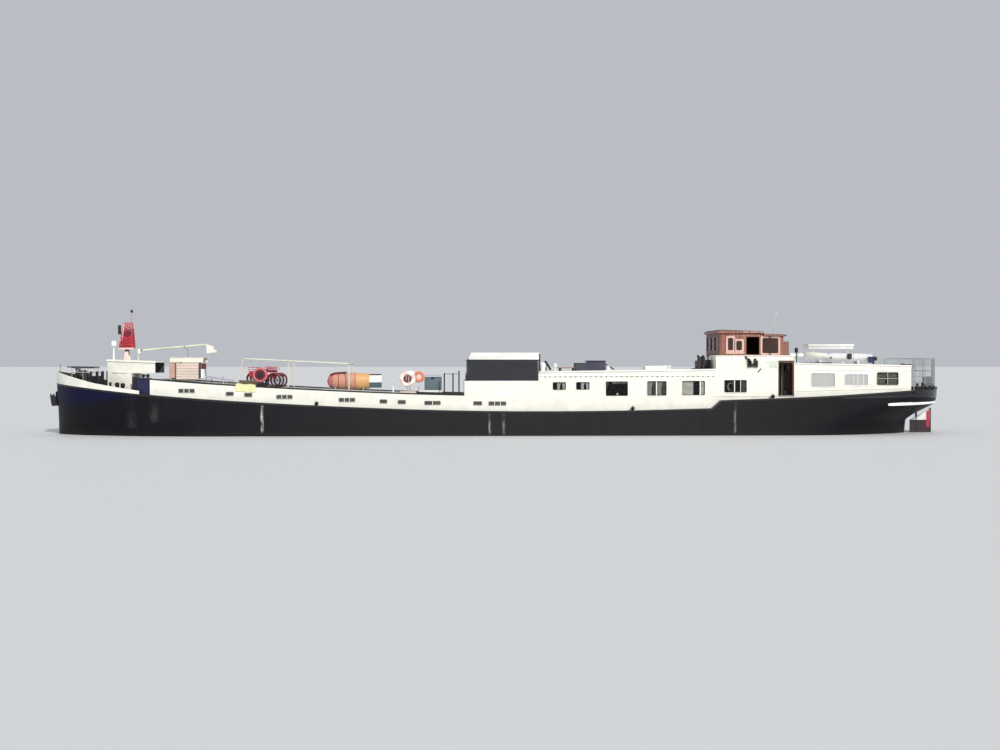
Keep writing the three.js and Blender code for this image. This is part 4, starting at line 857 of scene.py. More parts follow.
ROOF_DECK = DeckPaint("roof_deck_paint", (0.42, 0.43, 0.4), 0.85, worn=(0.58, 0.57, 0.52))
CABIN_FLOOR = Wood("cabin_floor", (0.2, 0.1, 0.05), 0.45, light=(0.35, 0.2, 0.1), upright=False)
HULL = HullPaint("hull_paint", (0.0055, 0.0055, 0.008), 0.45)
MAHOGANY = Wood("varnished_wood", (0.25, 0.09, 0.062), 0.45, light=(0.42, 0.19, 0.14), coat=0.12)
BROWN_WOOD = Wood("brown_wood", (0.13, 0.045, 0.03), 0.5, light=(0.24, 0.09, 0.06), coat=0.1)
PALE_WOOD = Wood(
    "pale_window_wood", (0.74, 0.44, 0.37), 0.45, light=(0.88, 0.64, 0.56), board=0.6, coat=0.1)
TEAK = Wood("oiled_wood", (0.2, 0.1, 0.06), 0.6, light=(0.36, 0.2, 0.12), upright=False, coat=0.0)
CANVAS = Fabric("canvas", (0.84, 0.76, 0.64), 0.85, faded=(0.92, 0.87, 0.78))
# darker pink side cloth: partly the cloth's colour, partly painted shade of the canopy's side
CANVAS_PINK = Fabric("canvas_side", (0.6, 0.4, 0.33), 0.85, faded=(0.75, 0.58, 0.5))
CUSHION = Fabric("cushion_cloth", (0.78, 0.7, 0.56), 0.85, faded=(0.88, 0.82, 0.7), threads=420.0)
CURTAIN = Fabric("curtain", (0.82, 0.82, 0.8), 0.9, faded=(0.92, 0.92, 0.9), threads=500.0)
GREY_CURTAIN = Fabric("grey_curtain", (0.42, 0.43, 0.4), 0.9, faded=(0.55, 0.55, 0.5), threads=500.0)
DARK_CURTAIN = Fabric("dark_curtain", (0.09, 0.09, 0.075), 0.9, faded=(0.16, 0.16, 0.13), threads=500.0)
OLIVE_CURTAIN = Fabric("olive_curtain", (0.17, 0.165, 0.12), 0.9, faded=(0.26, 0.25, 0.2), threads=500.0)
YELLOW_CLOTH = Fabric("yellow_cloth", (0.8, 0.8, 0.42), 0.85, faded=(0.9, 0.88, 0.6))
BROWN_CLOTH = Fabric("brown_cloth", (0.1, 0.07, 0.04), 0.85, faded=(0.2, 0.15, 0.1))
WINDOW_GLASS = Glass("window_glass", (0.008, 0.009, 0.01), 0.05, alpha=0.16)
DARK_GLASS = Glass("dark_glass", (0.02, 0.022, 0.026), 0.1, alpha=0.9)
MAROON_GLASS = Glass("maroon_glass", (0.05, 0.022, 0.014), 0.1, alpha=0.72)
PALE_GLASS = Glass("pale_glass", (0.55, 0.56, 0.54), 0.08, alpha=0.78)


@dataclass
class Piece:
    """One named piece of the visual model, made of shapes that each have a finish.

    Args:
        name: name of the object.
        body: CAD body that it rides on.
        slot: name of a material slot of the record; not used.
        replaces: CAD nodes that it stands for.
        bevel: width of the rounded edges, 0 for none.
        shapes: its shapes, each with its finish.
        values: numbers per point that a finish reads, by attribute name.
    """

    name: str
    body: str = "ship"
    slot: str = ""
    replaces: tuple[str, ...] = ()
    bevel: float = 0.0
    shapes: list[tuple[Shape, Finish]] = field(default_factory=list)
    values: dict[str, list[Array]] = field(default_factory=dict)

    def add(self, finish: Finish, *shapes: Shape) -> "Piece":
        """Adds shapes of one finish."""
        self.shapes += [(shape, finish) for shape in shapes]
        return self

    def both(self, finish: Finish, *shapes: Shape) -> "Piece":
        """Adds shapes and their mirror images on the other side."""
        for shape in shapes:
            self.add(finish, shape, mirrored(shape))
        return self

    def build(self, smooth_angle: float = 35.0) -> bpy.types.Object:
        """Makes the object.

        Args:
            smooth_angle: edges that turn by more than this, in degrees, stay sharp.

        Returns:
            The finished object, riding on its body.
        """
        finishes = list(dict.fromkeys(finish for _, finish in self.shapes))
        points, faces = joined(*(shape for shape, _ in self.shapes))
        mesh = bpy.data.meshes.new(self.name)
        mesh.from_pydata(points.tolist(), [], faces)
        for finish in finishes:
            mesh.materials.append(finish.material())
        index = np.concatenate(
            [np.full(len(shape[1]), finishes.index(finish), np.int32) for shape, finish in self.shapes])
        mesh.polygons.foreach_set("material_index", index)
        mesh.polygons.foreach_set("use_smooth", np.ones(len(faces), bool))
        mesh.update()
        mesh.validate()
        mesh.set_sharp_from_angle(angle=math.radians(smooth_angle))
        for name, chunks in self.values.items():
            attribute = mesh.attributes.new(name, "FLOAT", "POINT")
            attribute.data.foreach_set("value", np.concatenate(chunks).astype(np.float32))
        made = bpy.data.objects.new(self.name, mesh)
        bpy.context.scene.collection.objects.link(made)
        if self.bevel > 0:
            round_edges(made, self.bevel)
        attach(made, self.body)
        if self.replaces:
            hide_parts(*self.replaces)
        log.info("%s: %d points, %d faces", self.name, len(points), len(faces))
        return made


def round_edges(made: bpy.types.Object, width: float) -> None:
    """Rounds the sharp edges of an object with a modifier."""
    bevel = made.modifiers.new("edges", "BEVEL")
    bevel.width = width
    bevel.segments = BEVEL_STEPS
    bevel.limit_method = "ANGLE"
    bevel.angle_limit = BEVEL_ANGLE
    bevel.harden_normals = True
    bevel.use_clamp_overlap = True


@dataclass(frozen=True)
class NodeLook:
    """How a CAD node is finished where it is kept.

    Args:
        finish: its finish.
        bevel: width of its rounded edges.
    """

    finish: Finish
    bevel: float = 0.0


NODE_LOOKS = {
    "anchor": NodeLook(IRON, 0.006), "foredeck_gear": NodeLook(BLACK, 0.006),
    "bow_house": NodeLook(CREAM, 0.008), "bow_house_door": NodeLook(MAHOGANY, 0.004),
    "boom_crutch": NodeLook(STEEL), "trunk": NodeLook(CREAM), "deckhouse_port_wall": NodeLook(WALL),
    "deckhouse_starboard_wall": NodeLook(WALL), "deckhouse_front_wall": NodeLook(CREAM),
    "deckhouse_roof": NodeLook(ROOF_WHITE, 0.012), "lounge_band": NodeLook(LOUNGE_DARK, 0.004),
    "lounge_roof": NodeLook(WHITE, 0.015), "cowl_vent": NodeLook(WHITE),
    "skylight_frame": NodeLook(WHITE, 0.005), "skylight_lid": NodeLook(WHITE, 0.008),
    "base_port_wall": NodeLook(WALL), "base_starboard_wall": NodeLook(WALL),
    "base_front_wall": NodeLook(CREAM), "base_aft_wall": NodeLook(CREAM),
    "base_roof": NodeLook(CREAM, 0.006), "roof_locker": NodeLook(BROWN_WOOD, 0.006),
    "wheelhouse_floor": NodeLook(CABIN_FLOOR, 0.004), "helm_wheel": NodeLook(TEAK),
    "wheelhouse": NodeLook(MAHOGANY, 0.004), "wheelhouse_roof": NodeLook(MAHOGANY, 0.008),
    "wheelhouse_door": NodeLook(BROWN_WOOD, 0.003), "entrance_door": NodeLook(BROWN_WOOD, 0.003),
    "aft_cabin_port_wall": NodeLook(WALL), "aft_cabin_starboard_wall": NodeLook(WALL),
    "aft_cabin_end_wall": NodeLook(CREAM), "aft_cabin_roof": NodeLook(ROOF_WHITE, 0.012),
    "aft_cabin_door": NodeLook(MAHOGANY, 0.003), "dinghy": NodeLook(GELCOAT, 0.004),
    "outboard": NodeLook(NAVY, 0.01), "solar_rack": NodeLook(WHITE, 0.004),
    "aft_rail_port": NodeLook(STEEL), "aft_rail_starboard": NodeLook(STEEL), "propeller": NodeLook(BRONZE)}


def dress_nodes() -> None:
    """Gives every CAD node its finish, joined corners, smooth shading and rounded edges."""
    for name, look in NODE_LOOKS.items():
        node = frame["nodes"][name]
        node.data.materials.clear()
        node.data.materials.append(look.finish.material())
        weld = node.modifiers.new("joined_corners", "WELD")
        weld.merge_threshold = WELD_DISTANCE
        node.data.polygons.foreach_set("use_smooth", np.ones(len(node.data.polygons), bool))
        if look.bevel:
            round_edges(node, look.bevel)
        split = node.modifiers.new("sharp_edges", "EDGE_SPLIT")
        split.split_angle = SPLIT_ANGLE
        split.use_edge_sharp = False


@dataclass
class HullShell:
    """Side plating, deck and stern well, the rubbing strake, stem bar and white stern band.

    Args:
        rows: rows of points between the turn of the bilge and the deck edge.
        inset: how far the plating lies inside the hull solid, to leave room for the strake.
    """

    rows: int = 26
    inset: float = 0.012

    def stations(self) -> Array:
        """Places of the frames: close together at the ends and at the step."""
        bow = STEM_X + np.array((0, 0.008, 0.03, 0.065, 0.11, 0.17, 0.24, 0.32, 0.42, 0.53, 0.65))
        stern_end = STERN_X - np.array((0.17, 0.12, 0.08, 0.05, 0.025, 0.01, 0))
        spaced = (
            np.arange(-10.7, -5.0, 0.15), np.arange(-5.0, 5.29, 0.4), np.array((5.297, 5.53)),
            np.arange(5.7, 10.5, 0.2), np.arange(10.5, 11.3, 0.08))
        return np.unique(np.round(np.concatenate((bow, *spaced, stern_end, [x for x, _ in WELL_EDGE])), 4))

    def side(self, xs: Array) -> tuple[Array, Array]:
        """Gives the points of the starboard side, from the keel plate to the deck edge at each station.

        Near each end a station leans with the stem and the stern.

        Args:
            xs: places of the stations.

        Returns:
            The points, stations x rows x 3, and how far each is below the deck edge.
        """
        top = sheer(xs)
        turn = np.array((0, 0.03, 0.09, 0.18, 0.3, 0.44, 0.54))
        share = np.concatenate((turn, np.full(self.rows, WATER_Z)))
        up = np.concatenate((np.zeros(len(turn)), np.linspace(0, 1, self.rows)))
        z = share[None] + up[None] * (top[:, None] - WATER_Z)
        bow = np.maximum(0, 1 - (xs - STEM_X) / 2.5) ** 2
        aft = np.maximum(0, 1 - (STERN_X - xs) / 3.5) ** 2
        x = xs[:, None] + (stem(z) - STEM_X) * bow[:, None] + (stern(z) - STERN_X) * aft[:, None]
        y = half_breadth(x, z) - np.where(up[None] < 0.97, self.inset, 0.0)
        return np.stack((x, np.maximum(y, 0.008), z), -1), top[:, None] - z

    def make(self) -> None:
        """Makes the hull pieces."""
        xs = self.stations()
        side, below = self.side(xs)
        shell = Piece("hull_shell", slot="hull_paint", replaces=("hull",))
        for sign in (1, -1):
            points = side * (1, sign, 1)
            points = points if sign > 0 else points[:, ::-1]
            shell.add(HULL, grid(points))
            shell.values.setdefault("below_deck", []).append(
                (below if sign > 0 else below[:, ::-1]).ravel())
        keel = side[:, 0]
        bottom = np.stack((keel * (1, -1, 1), keel), 1)
        self.extra(shell, BLACK, grid(bottom))
        edge = side[:, -1]
        self.add_deck(shell, edge)
        self.extra(shell, HULL, grid(np.stack((side[-1] * (1, -1, 1), side[-1]), 1)))
        self.extra(shell, HULL, grid(np.stack((side[0], side[0] * (1, -1, 1)), 1)))
        shell.build(40)
        self.make_strake(xs, edge)
        self.make_trim(xs, side)

    def extra(self, piece: Piece, finish: Finish, *shapes: Shape) -> None:
        """Adds shapes that don't read the depth below the deck."""
        piece.add(finish, *shapes)
        piece.values["below_deck"] += [np.full(len(shape[0]), 1.0) for shape in shapes]

    def add_deck(self, piece: Piece, edge: Array) -> None:
        """Adds the deck on both sides of the stern well, the well's sides and its floor."""
        well_x, well_y = np.array(WELL_EDGE).T
        xs, ys, zs = edge.T
        for sign in (1, -1):
            for low, high, inner in (
                (STEM_X, well_x[0], None), (well_x[0], well_x[-1], well_y), (well_x[-1], 12, None)
            ):
                chosen = (xs >= low - 1e-6) & (xs <= high + 1e-6)
                x, y, z = xs[chosen], ys[chosen], zs[chosen] - 0.001
                inside = np.zeros_like(x) if inner is None else np.interp(x, well_x, well_y)
                strip = np.stack((np.stack((x, sign * inside, z), -1), np.stack((x, sign * y, z), -1)), 1)
                self.extra(piece, DECK, grid(strip))
        outline = np.concatenate((np.array(WELL_EDGE), np.array(WELL_EDGE)[::-1] * (1, -1)))
        top = np.column_stack((outline, deck(outline[:, 0])))
        foot = np.column_stack((outline, np.full(len(outline), WELL_FLOOR)))
        self.extra(piece, BLACK, grid(np.stack((top, foot)), around=True))
        self.extra(piece, TEAK, (foot, [tuple(range(len(foot)))[::-1]]))

    def make_strake(self, xs: Array, edge: Array) -> None:
        """Makes the rounded steel strake under the deck edge."""
        piece = Piece("rubbing_strake", slot="black_paint")
        profile = np.array(
            ((-0.012, 0.004), (0.0, 0.0), (0.0, -0.015), (0.0, -0.035), (-0.006, -0.05), (-0.03, -0.055)))
        x, y, z = edge.T
        along = np.gradient(edge[:, :2], axis=0)
        out = np.stack((-along[:, 1], along[:, 0]), -1)
        out /= np.maximum(np.linalg.norm(out, axis=1), 1e-9)[:, None]
        rows = np.empty((len(x), len(profile), 3))
        for k, (push, drop) in enumerate(profile):
            rows[:, k, 0] = x + out[:, 0] * push
            rows[:, k, 1] = np.maximum(y + out[:, 1] * push, 0.0)
            rows[:, k, 2] = z + drop
        keep = (xs > STEM_X + 0.02) & (xs < STERN_X - 0.02)
        piece.both(BLACK, grid(rows[keep]))
        piece.build(50)
        roll = Piece("stern_fender", slot="black_paint")
        aft = edge[(xs > 10.3) & (xs < 11.49)] * (1, -1, 1)
        inward = np.column_stack(
            (aft[:, 0] - 0.03 * (aft[:, 0] - 10.3) / 1.19, aft[:, 1] * 0.985, aft[:, 2] - 0.05))
        roll.add(GLOSS_BLACK, tube(np.concatenate((inward, inward[::-1] * (1, -1, 1))), 0.036, 10))
        roll.build(50)

    def make_trim(self, xs: Array, side: Array) -> None:
        """Makes the stem bar and the white band round the stern."""
        z = np.linspace(0.45, 1.93, 24)
        front = stem(z)
        bar = np.stack(
            [np.column_stack((front + dx, np.full_like(z, y), z)) for dx, y in (
                (0.035, -0.028), (0.004, -0.02), (0.0, 0.0), (0.004, 0.02), (0.035, 0.028))], 1)
        Piece("stem_bar", slot="black_paint").add(BLACK, grid(bar)).build(60)
        band = Piece("stern_band", slot="white_paint")
        where = np.concatenate((np.linspace(9.79, 11.2, 30), np.linspace(11.22, 11.47, 14)))
        middle = np.interp(where, (9.791, 11.446), (1.378, 1.435))
        reach = half_breadth(where, middle)
        along = np.gradient(np.stack((where, reach), -1), axis=0)
        out = np.stack((-along[:, 1], along[:, 0]), -1)
        out /= np.linalg.norm(out, axis=1)[:, None]
        half = np.interp(where, (9.79, 9.85, 10.3, 11.5), (0.02, 0.034, 0.04, 0.046))
        profile = ((-0.02, 1.0), (-0.004, 1.0), (0.0, 0.5), (0.0, -0.5), (-0.004, -1.0), (-0.02, -1.0))
        rows = np.stack(
            [
                np.column_stack((
                    where + out[:, 0] * push, np.maximum(reach + out[:, 1] * push, 0.01),
                    middle + rise * half)) for push, rise in profile], 1)
        band.both(WHITE, grid(rows))
        band.build(50)
        edge = Piece("stern_edge_band", slot="black_paint")
        where = np.concatenate((np.linspace(8.6, 11.2, 40), np.linspace(11.22, 11.47, 14)))
        half = np.interp(where, (8.6, 10.4, 11.2, 11.47), (0.015, 0.06, 0.1, 0.105))
        middle = sheer(where) - 0.055 - half
        reach = half_breadth(where, middle)
        rows = np.stack(
            [
                np.column_stack(
                    (where, np.clip(reach + push, 0.01, HALF_BEAM - 0.0005), middle + rise * half))
                for push, rise in ((-0.02, 1.0), (0.004, 0.9), (0.006, 0.0), (0.004, -0.9), (-0.02, -1.0))],
            1)
        edge.both(GLOSS_BLACK, grid(rows))
        edge.build(50)


def cloth(
    name: str, finish: Finish, surface: Array, thick: float = 0.003,
    body: str = "ship"
) -> bpy.types.Object:
    """Makes a sheet of cloth with two faces and a hem.

    Args:
        name: name of the object.
        finish: its finish.
        surface: its upper face, rows x columns x 3 points.
        thick: thickness of the cloth.
        body: CAD body that it rides on.

    Returns:
        The finished object.
    """
    square = np.cross(np.gradient(surface, axis=0), np.gradient(surface, axis=1))
    square /= np.maximum(np.linalg.norm(square, axis=2), 1e-9)[..., None]
    back = surface - square * thick
    made = Piece(name, body=body, slot="canvas").add(
        finish, loft(np.concatenate((surface, back[:, ::-1]), 1))).build(60)
    return made


def curtain(x0: float, x1: float, z0: float, z1: float, y: float, tie: float = 0.0) -> Array:
    """The face of a pleated curtain, across x down; tie is how far its waist is drawn back.

    The free edge follows a squared sine, and the pleats are a sine across the cloth that deepens downwards.
    """
    share = np.linspace(0, 1, 37)[:, None]
    down = np.linspace(0, 1, 11)[None, :]
    pull = 1 - tie * np.sin(math.pi * np.clip(down / 1.3, 0, 1)) ** 2
    x = x0 + (x1 - x0) * share * pull
    pleats = max(3, round(abs(x1 - x0) / PLEAT_PITCH))
    depth = PLEAT_DEPTH * np.sin(share * pleats * 2 * math.pi) * (0.5 + 0.5 * down)
    z = np.broadcast_to(z1 + (z0 - z1) * down, x.shape)
    return np.stack((x, np.broadcast_to(y + depth, x.shape), z), -1)


def slats(x0: float, x1: float, z0: float, z1: float, y: float) -> Shape:
    """A blind of level slats, each a shallow step."""
    count = max(4, int((z1 - z0) / SLAT_PITCH))
    z = np.repeat(np.linspace(z1, z0, count + 1), 2)[1:-1]
    depth = np.tile((0.0, SLAT_DEPTH), count)
    rows = [np.column_stack((np.full_like(z, x), y + depth, z)) for x in (x0, x1)]
    return grid(np.stack(rows, 1))


@dataclass(frozen=True)
class Drape:
    """One curtain or blind behind a window.

    Args:
        start: forward edge, as a share of the window's width.
        end: after edge, as a share.
        finish: its cloth, or the paint of a slatted blind.
        tie: how far a curtain is drawn back at its waist.
        foot: its lower edge, as a share of the window's height.
    """

    start: float
    end: float
    finish: Finish
    tie: float = 0.0
    foot: float = -0.1


@dataclass(frozen=True)
class Window:
    """One window in a wall along the ship.

    Args:
        x0: forward end of the hole.
        x1: after end of the hole.
        z0: foot of the hole.
        z1: head of the hole.
        bars: share of the width and half thickness of each upright bar.
        cross: level of a cross bar, as a share of the height, 0 for none.
        drapes: what hangs behind it on the port side.
        frame: finish of the frame.
        seal: finish of the seal round the pane.
        width: width of the frame.
        glass: finish of the pane.
    """

    x0: float
    x1: float
    z0: float
    z1: float
    bars: tuple[tuple[float, float], ...] = ()
    cross: float = 0.0
    drapes: tuple[Drape, ...] = ()
    frame: Finish = CREAM
    seal: Finish = RUBBER
    width: float = 0.024
    glass: Finish = WINDOW_GLASS

    def add_to(self, frames: Piece, panes: Piece, wall_y: float, side: Side) -> None:
        """Adds the frame, its seal, the bars and the pane."""
        low, high = layer(side, wall_y + 0.01, wall_y - 0.028)
        radius = min(0.03, (self.z1 - self.z0) * 0.15)
        edge = rectangle(self.x0, self.x1, self.z0, self.z1, radius)
        grown = self.width
        wide = rectangle(self.x0 - grown, self.x1 + grown, self.z0 - grown, self.z1 + grown, radius + 0.015)
        slim = rectangle(self.x0 + 0.01, self.x1 - 0.01, self.z0 + 0.01, self.z1 - 0.01, radius)
        frames.add(self.frame, hoop("y", wide, edge, *layer(side, wall_y + 0.0003, wall_y + 0.01)))
        frames.add(self.seal, hoop("y", edge, slim, low + 0.004, high - 0.004))
        panes.add(self.glass, prism("y", slim, *layer(side, wall_y - 0.008, wall_y - 0.012)))
        for share, half in self.bars:
            x = self.x0 + share * (self.x1 - self.x0)
            frames.add(
                self.frame,
                box((x - half, low + 0.004, self.z0 + 0.008), (x + half, high - 0.004, self.z1 - 0.008)))
        if self.cross:
            z = self.z0 + self.cross * (self.z1 - self.z0)
            frames.add(
                self.frame,
                box((self.x0 + 0.008, low + 0.006, z - 0.008), (self.x1 - 0.008, high - 0.006, z + 0.008)))

    def hang(self, name: str, frames: Piece, side: Side) -> None:
        """Hangs the curtains and blinds behind the pane; the starboard side has its curtains drawn."""
        y = side.value * (HOUSE_Y - CURTAIN_IN)
        drapes = self.drapes if side is Side.PORT else (Drape(0.0, 1.0, DARK_CURTAIN),)
        for k, drape in enumerate(drapes):
            x0, x1 = (self.x0 + share * (self.x1 - self.x0) for share in (drape.start, drape.end))
            z0 = self.z0 + drape.foot * (self.z1 - self.z0)
            if isinstance(drape.finish, Fabric):
                face = curtain(x0, x1, z0, self.z1 + 0.02, y, drape.tie)
                cloth(f"{name}_{k}", drape.finish, face, thick=0.002)
            else:
                frames.add(drape.finish, slats(x0, x1, z0, self.z1 + 0.02, y))


WINDOWS = {
    "deckhouse": (
        Window(
            1.27, 1.606, 1.752, 1.951,
            drapes=(Drape(0.34, 0.64, CURTAIN, 0.3), Drape(1.0, 0.7, CURTAIN, 0.2))),
        Window(
            1.864, 2.206, 1.757, 1.955,
            drapes=(Drape(0.38, 0.66, CURTAIN, 0.3), Drape(1.0, 0.72, CURTAIN, 0.2))),
        Window(
            2.62, 3.183, 1.6, 1.969,
            drapes=(Drape(-0.03, 0.16, DARK_CURTAIN, 0.7), Drape(0.3, 1.02, GREY_CURTAIN, foot=0.86))),
        Window(
            3.676, 4.169, 1.607, 1.976, bars=((0.48, 0.012),),
            drapes=(
                Drape(-0.03, 0.3, GREY_CURTAIN, 0.2), Drape(0.3, 0.44, DARK_CURTAIN),
                Drape(0.52, 0.8, GREY_CURTAIN, 0.2), Drape(0.8, 1.02, DARK_CURTAIN))),
        Window(
            4.57, 5.151, 1.614, 1.983, bars=((0.8, 0.016),),
            drapes=(Drape(-0.03, 0.5, CREAM), Drape(0.86, 1.02, CURTAIN)))),
    "base": (
        Window(
            5.645, 6.221, 1.686, 2.004, bars=((0.46, 0.012), (0.73, THIN_BAR)),
            drapes=(Drape(0.8, 1.02, DARK_CURTAIN),)),),
    "cabin": (
        Window(
            7.885, 8.484, 1.835, 2.172, drapes=(Drape(-0.03, 1.03, LIGHT_GREY),), frame=CREAM, seal=GREY,
            glass=PALE_GLASS),
        Window(
            8.738, 9.337, 1.87, 2.147, bars=((0.36, THIN_BAR), (0.56, THIN_BAR), (0.8, THIN_BAR)),
            frame=WHITE, drapes=(Drape(-0.03, 0.62, CURTAIN), Drape(0.62, 1.02, CURTAIN)), seal=LAVENDER,
            glass=PALE_GLASS),
        Window(
            9.577, 10.121, 1.877, 2.195, bars=((0.5, 0.009),), cross=0.5, frame=GREY_GREEN, width=0.012,
            drapes=(Drape(-0.03, 0.5, OLIVE_CURTAIN, 0.2), Drape(0.52, 1.02, OLIVE_CURTAIN, 0.1))))}
TRUNK_LIGHTS = (
    (-8.144, -7.752, 3), (-6.959, -6.775, 1), (-6.498, -6.314, 1), (-5.696, -5.304, 3), (-4.129, -3.732, 3),
    (-3.101, -2.925, 1), (-2.644, -2.455, 1), (-1.971, -1.575, 2), (-0.736, -0.528, 1), (-0.348, 0.085, 3),
)


@dataclass
class Trunk:
    """The cream trunk: small windows, a raised black roof edge strip that is partly painted shade, hatch
    seams, and the balls on the side deck.
    """

    light_height: float = 0.045

    def make(self) -> None:
        """Makes the pieces."""
        self.make_lights()
        self.make_roof()
        self.make_balls()

    def make_lights(self) -> None:
        """Makes the small windows low in the trunk and in the foot of the lounge."""
        frames = Piece("small_window_frames", slot="white_paint")
        panes = Piece("small_window_panes")
        for x0, x1, count in TRUNK_LIGHTS:
            middle = deck((x0 + x1) / 2) + (0.175 if x1 < HOUSE_FRONT else 0.19)
            z0, z1 = middle - self.light_height, middle + self.light_height
            for side in BOTH:
                face = HOUSE_Y + 0.0004
                low, high = layer(side, face, face + 0.009)
                outer = rectangle(x0 - 0.014, x1 + 0.014, z0 - 0.014, z1 + 0.014, 0.025)
                inner = rectangle(x0, x1, z0, z1, 0.018)
                frames.add(LIGHT_GREY, hoop("y", outer, inner, low, high))
                panes.add(LIGHT_GLASS, prism("y", inner, *layer(side, face, face + 0.003)))
                for k in range(1, count):
                    x = x0 + (x1 - x0) * k / count
                    frames.add(CREAM, box((x - 0.008, low, z0), (x + 0.008, high - 0.002, z1)))
        frames.build()
        panes.build()

    def make_roof(self) -> None:
        """Makes the raised black strip along the roof edge, black to stand partly for the shade along that
        edge, the roof covering and its seams.
        """
        xs = np.linspace(TRUNK_FRONT + 0.004, HOUSE_FRONT - 0.004, 60)
        top = trunk_top(xs)
        kerb_and_shade = Piece("trunk_kerb", slot="black_paint")
        # painted shade: the raised edge strip is black to stand partly for the shade along the roof edge
        profile = (
            (-1.3245, 0.002), (-1.3245, 0.03), (-1.318, 0.036), (-1.29, 0.036), (-1.284, 0.03),
            (-1.284, 0.002))
        kerb_and_shade.both(BLACK, loft(carried(xs, top, profile)))
        ends = np.array((-2.17, -0.98))
        raised = ((-1.32, 0.002), (-1.32, 0.072), (-1.29, 0.072), (-1.29, 0.002))
        kerb_and_shade.add(BLACK, loft(carried(ends, trunk_top(ends), raised)))
        kerb_and_shade.build()
        cover = Piece("trunk_roof_cover", slot="white_paint")

        def camber(y: float) -> float:
            return 0.012 * (1 - (y / 1.28) ** 2)

        crown = [(y, camber(y)) for y in np.linspace(-1.283, 1.283, 9)]
        cover.add(ROOF_DECK, grid(carried(xs, top + 0.0015, crown)))
        for x in np.arange(-8.2, -1.2, 0.9):
            z = trunk_top(x) + 0.002
            cover.add(
                GREY, tube([(x, y, z + 1.15 * camber(y)) for y in np.linspace(-1.27, 1.27, 7)], 0.008, 6))
        cover.build()

    def make_balls(self) -> None:
        """Makes the round black fender balls on the side deck."""
        piece = Piece("fender_balls", slot="black_paint")
        turn = np.linspace(0.12, math.pi - 0.02, 12)
        rows = np.column_stack((0.052 - 0.05 * np.cos(turn), 0.05 * np.sin(turn)))
        for x in (-4.683, 3.297, 6.874):
            z = deck(x) + 0.002
            piece.both(BLACK, upright((x, -1.43, z), rows, 20))
            piece.both(STEEL, ring((x, -1.43, z + 0.112), ABEAM, 0.012, 0.003, 16, 6))
        piece.build(70)


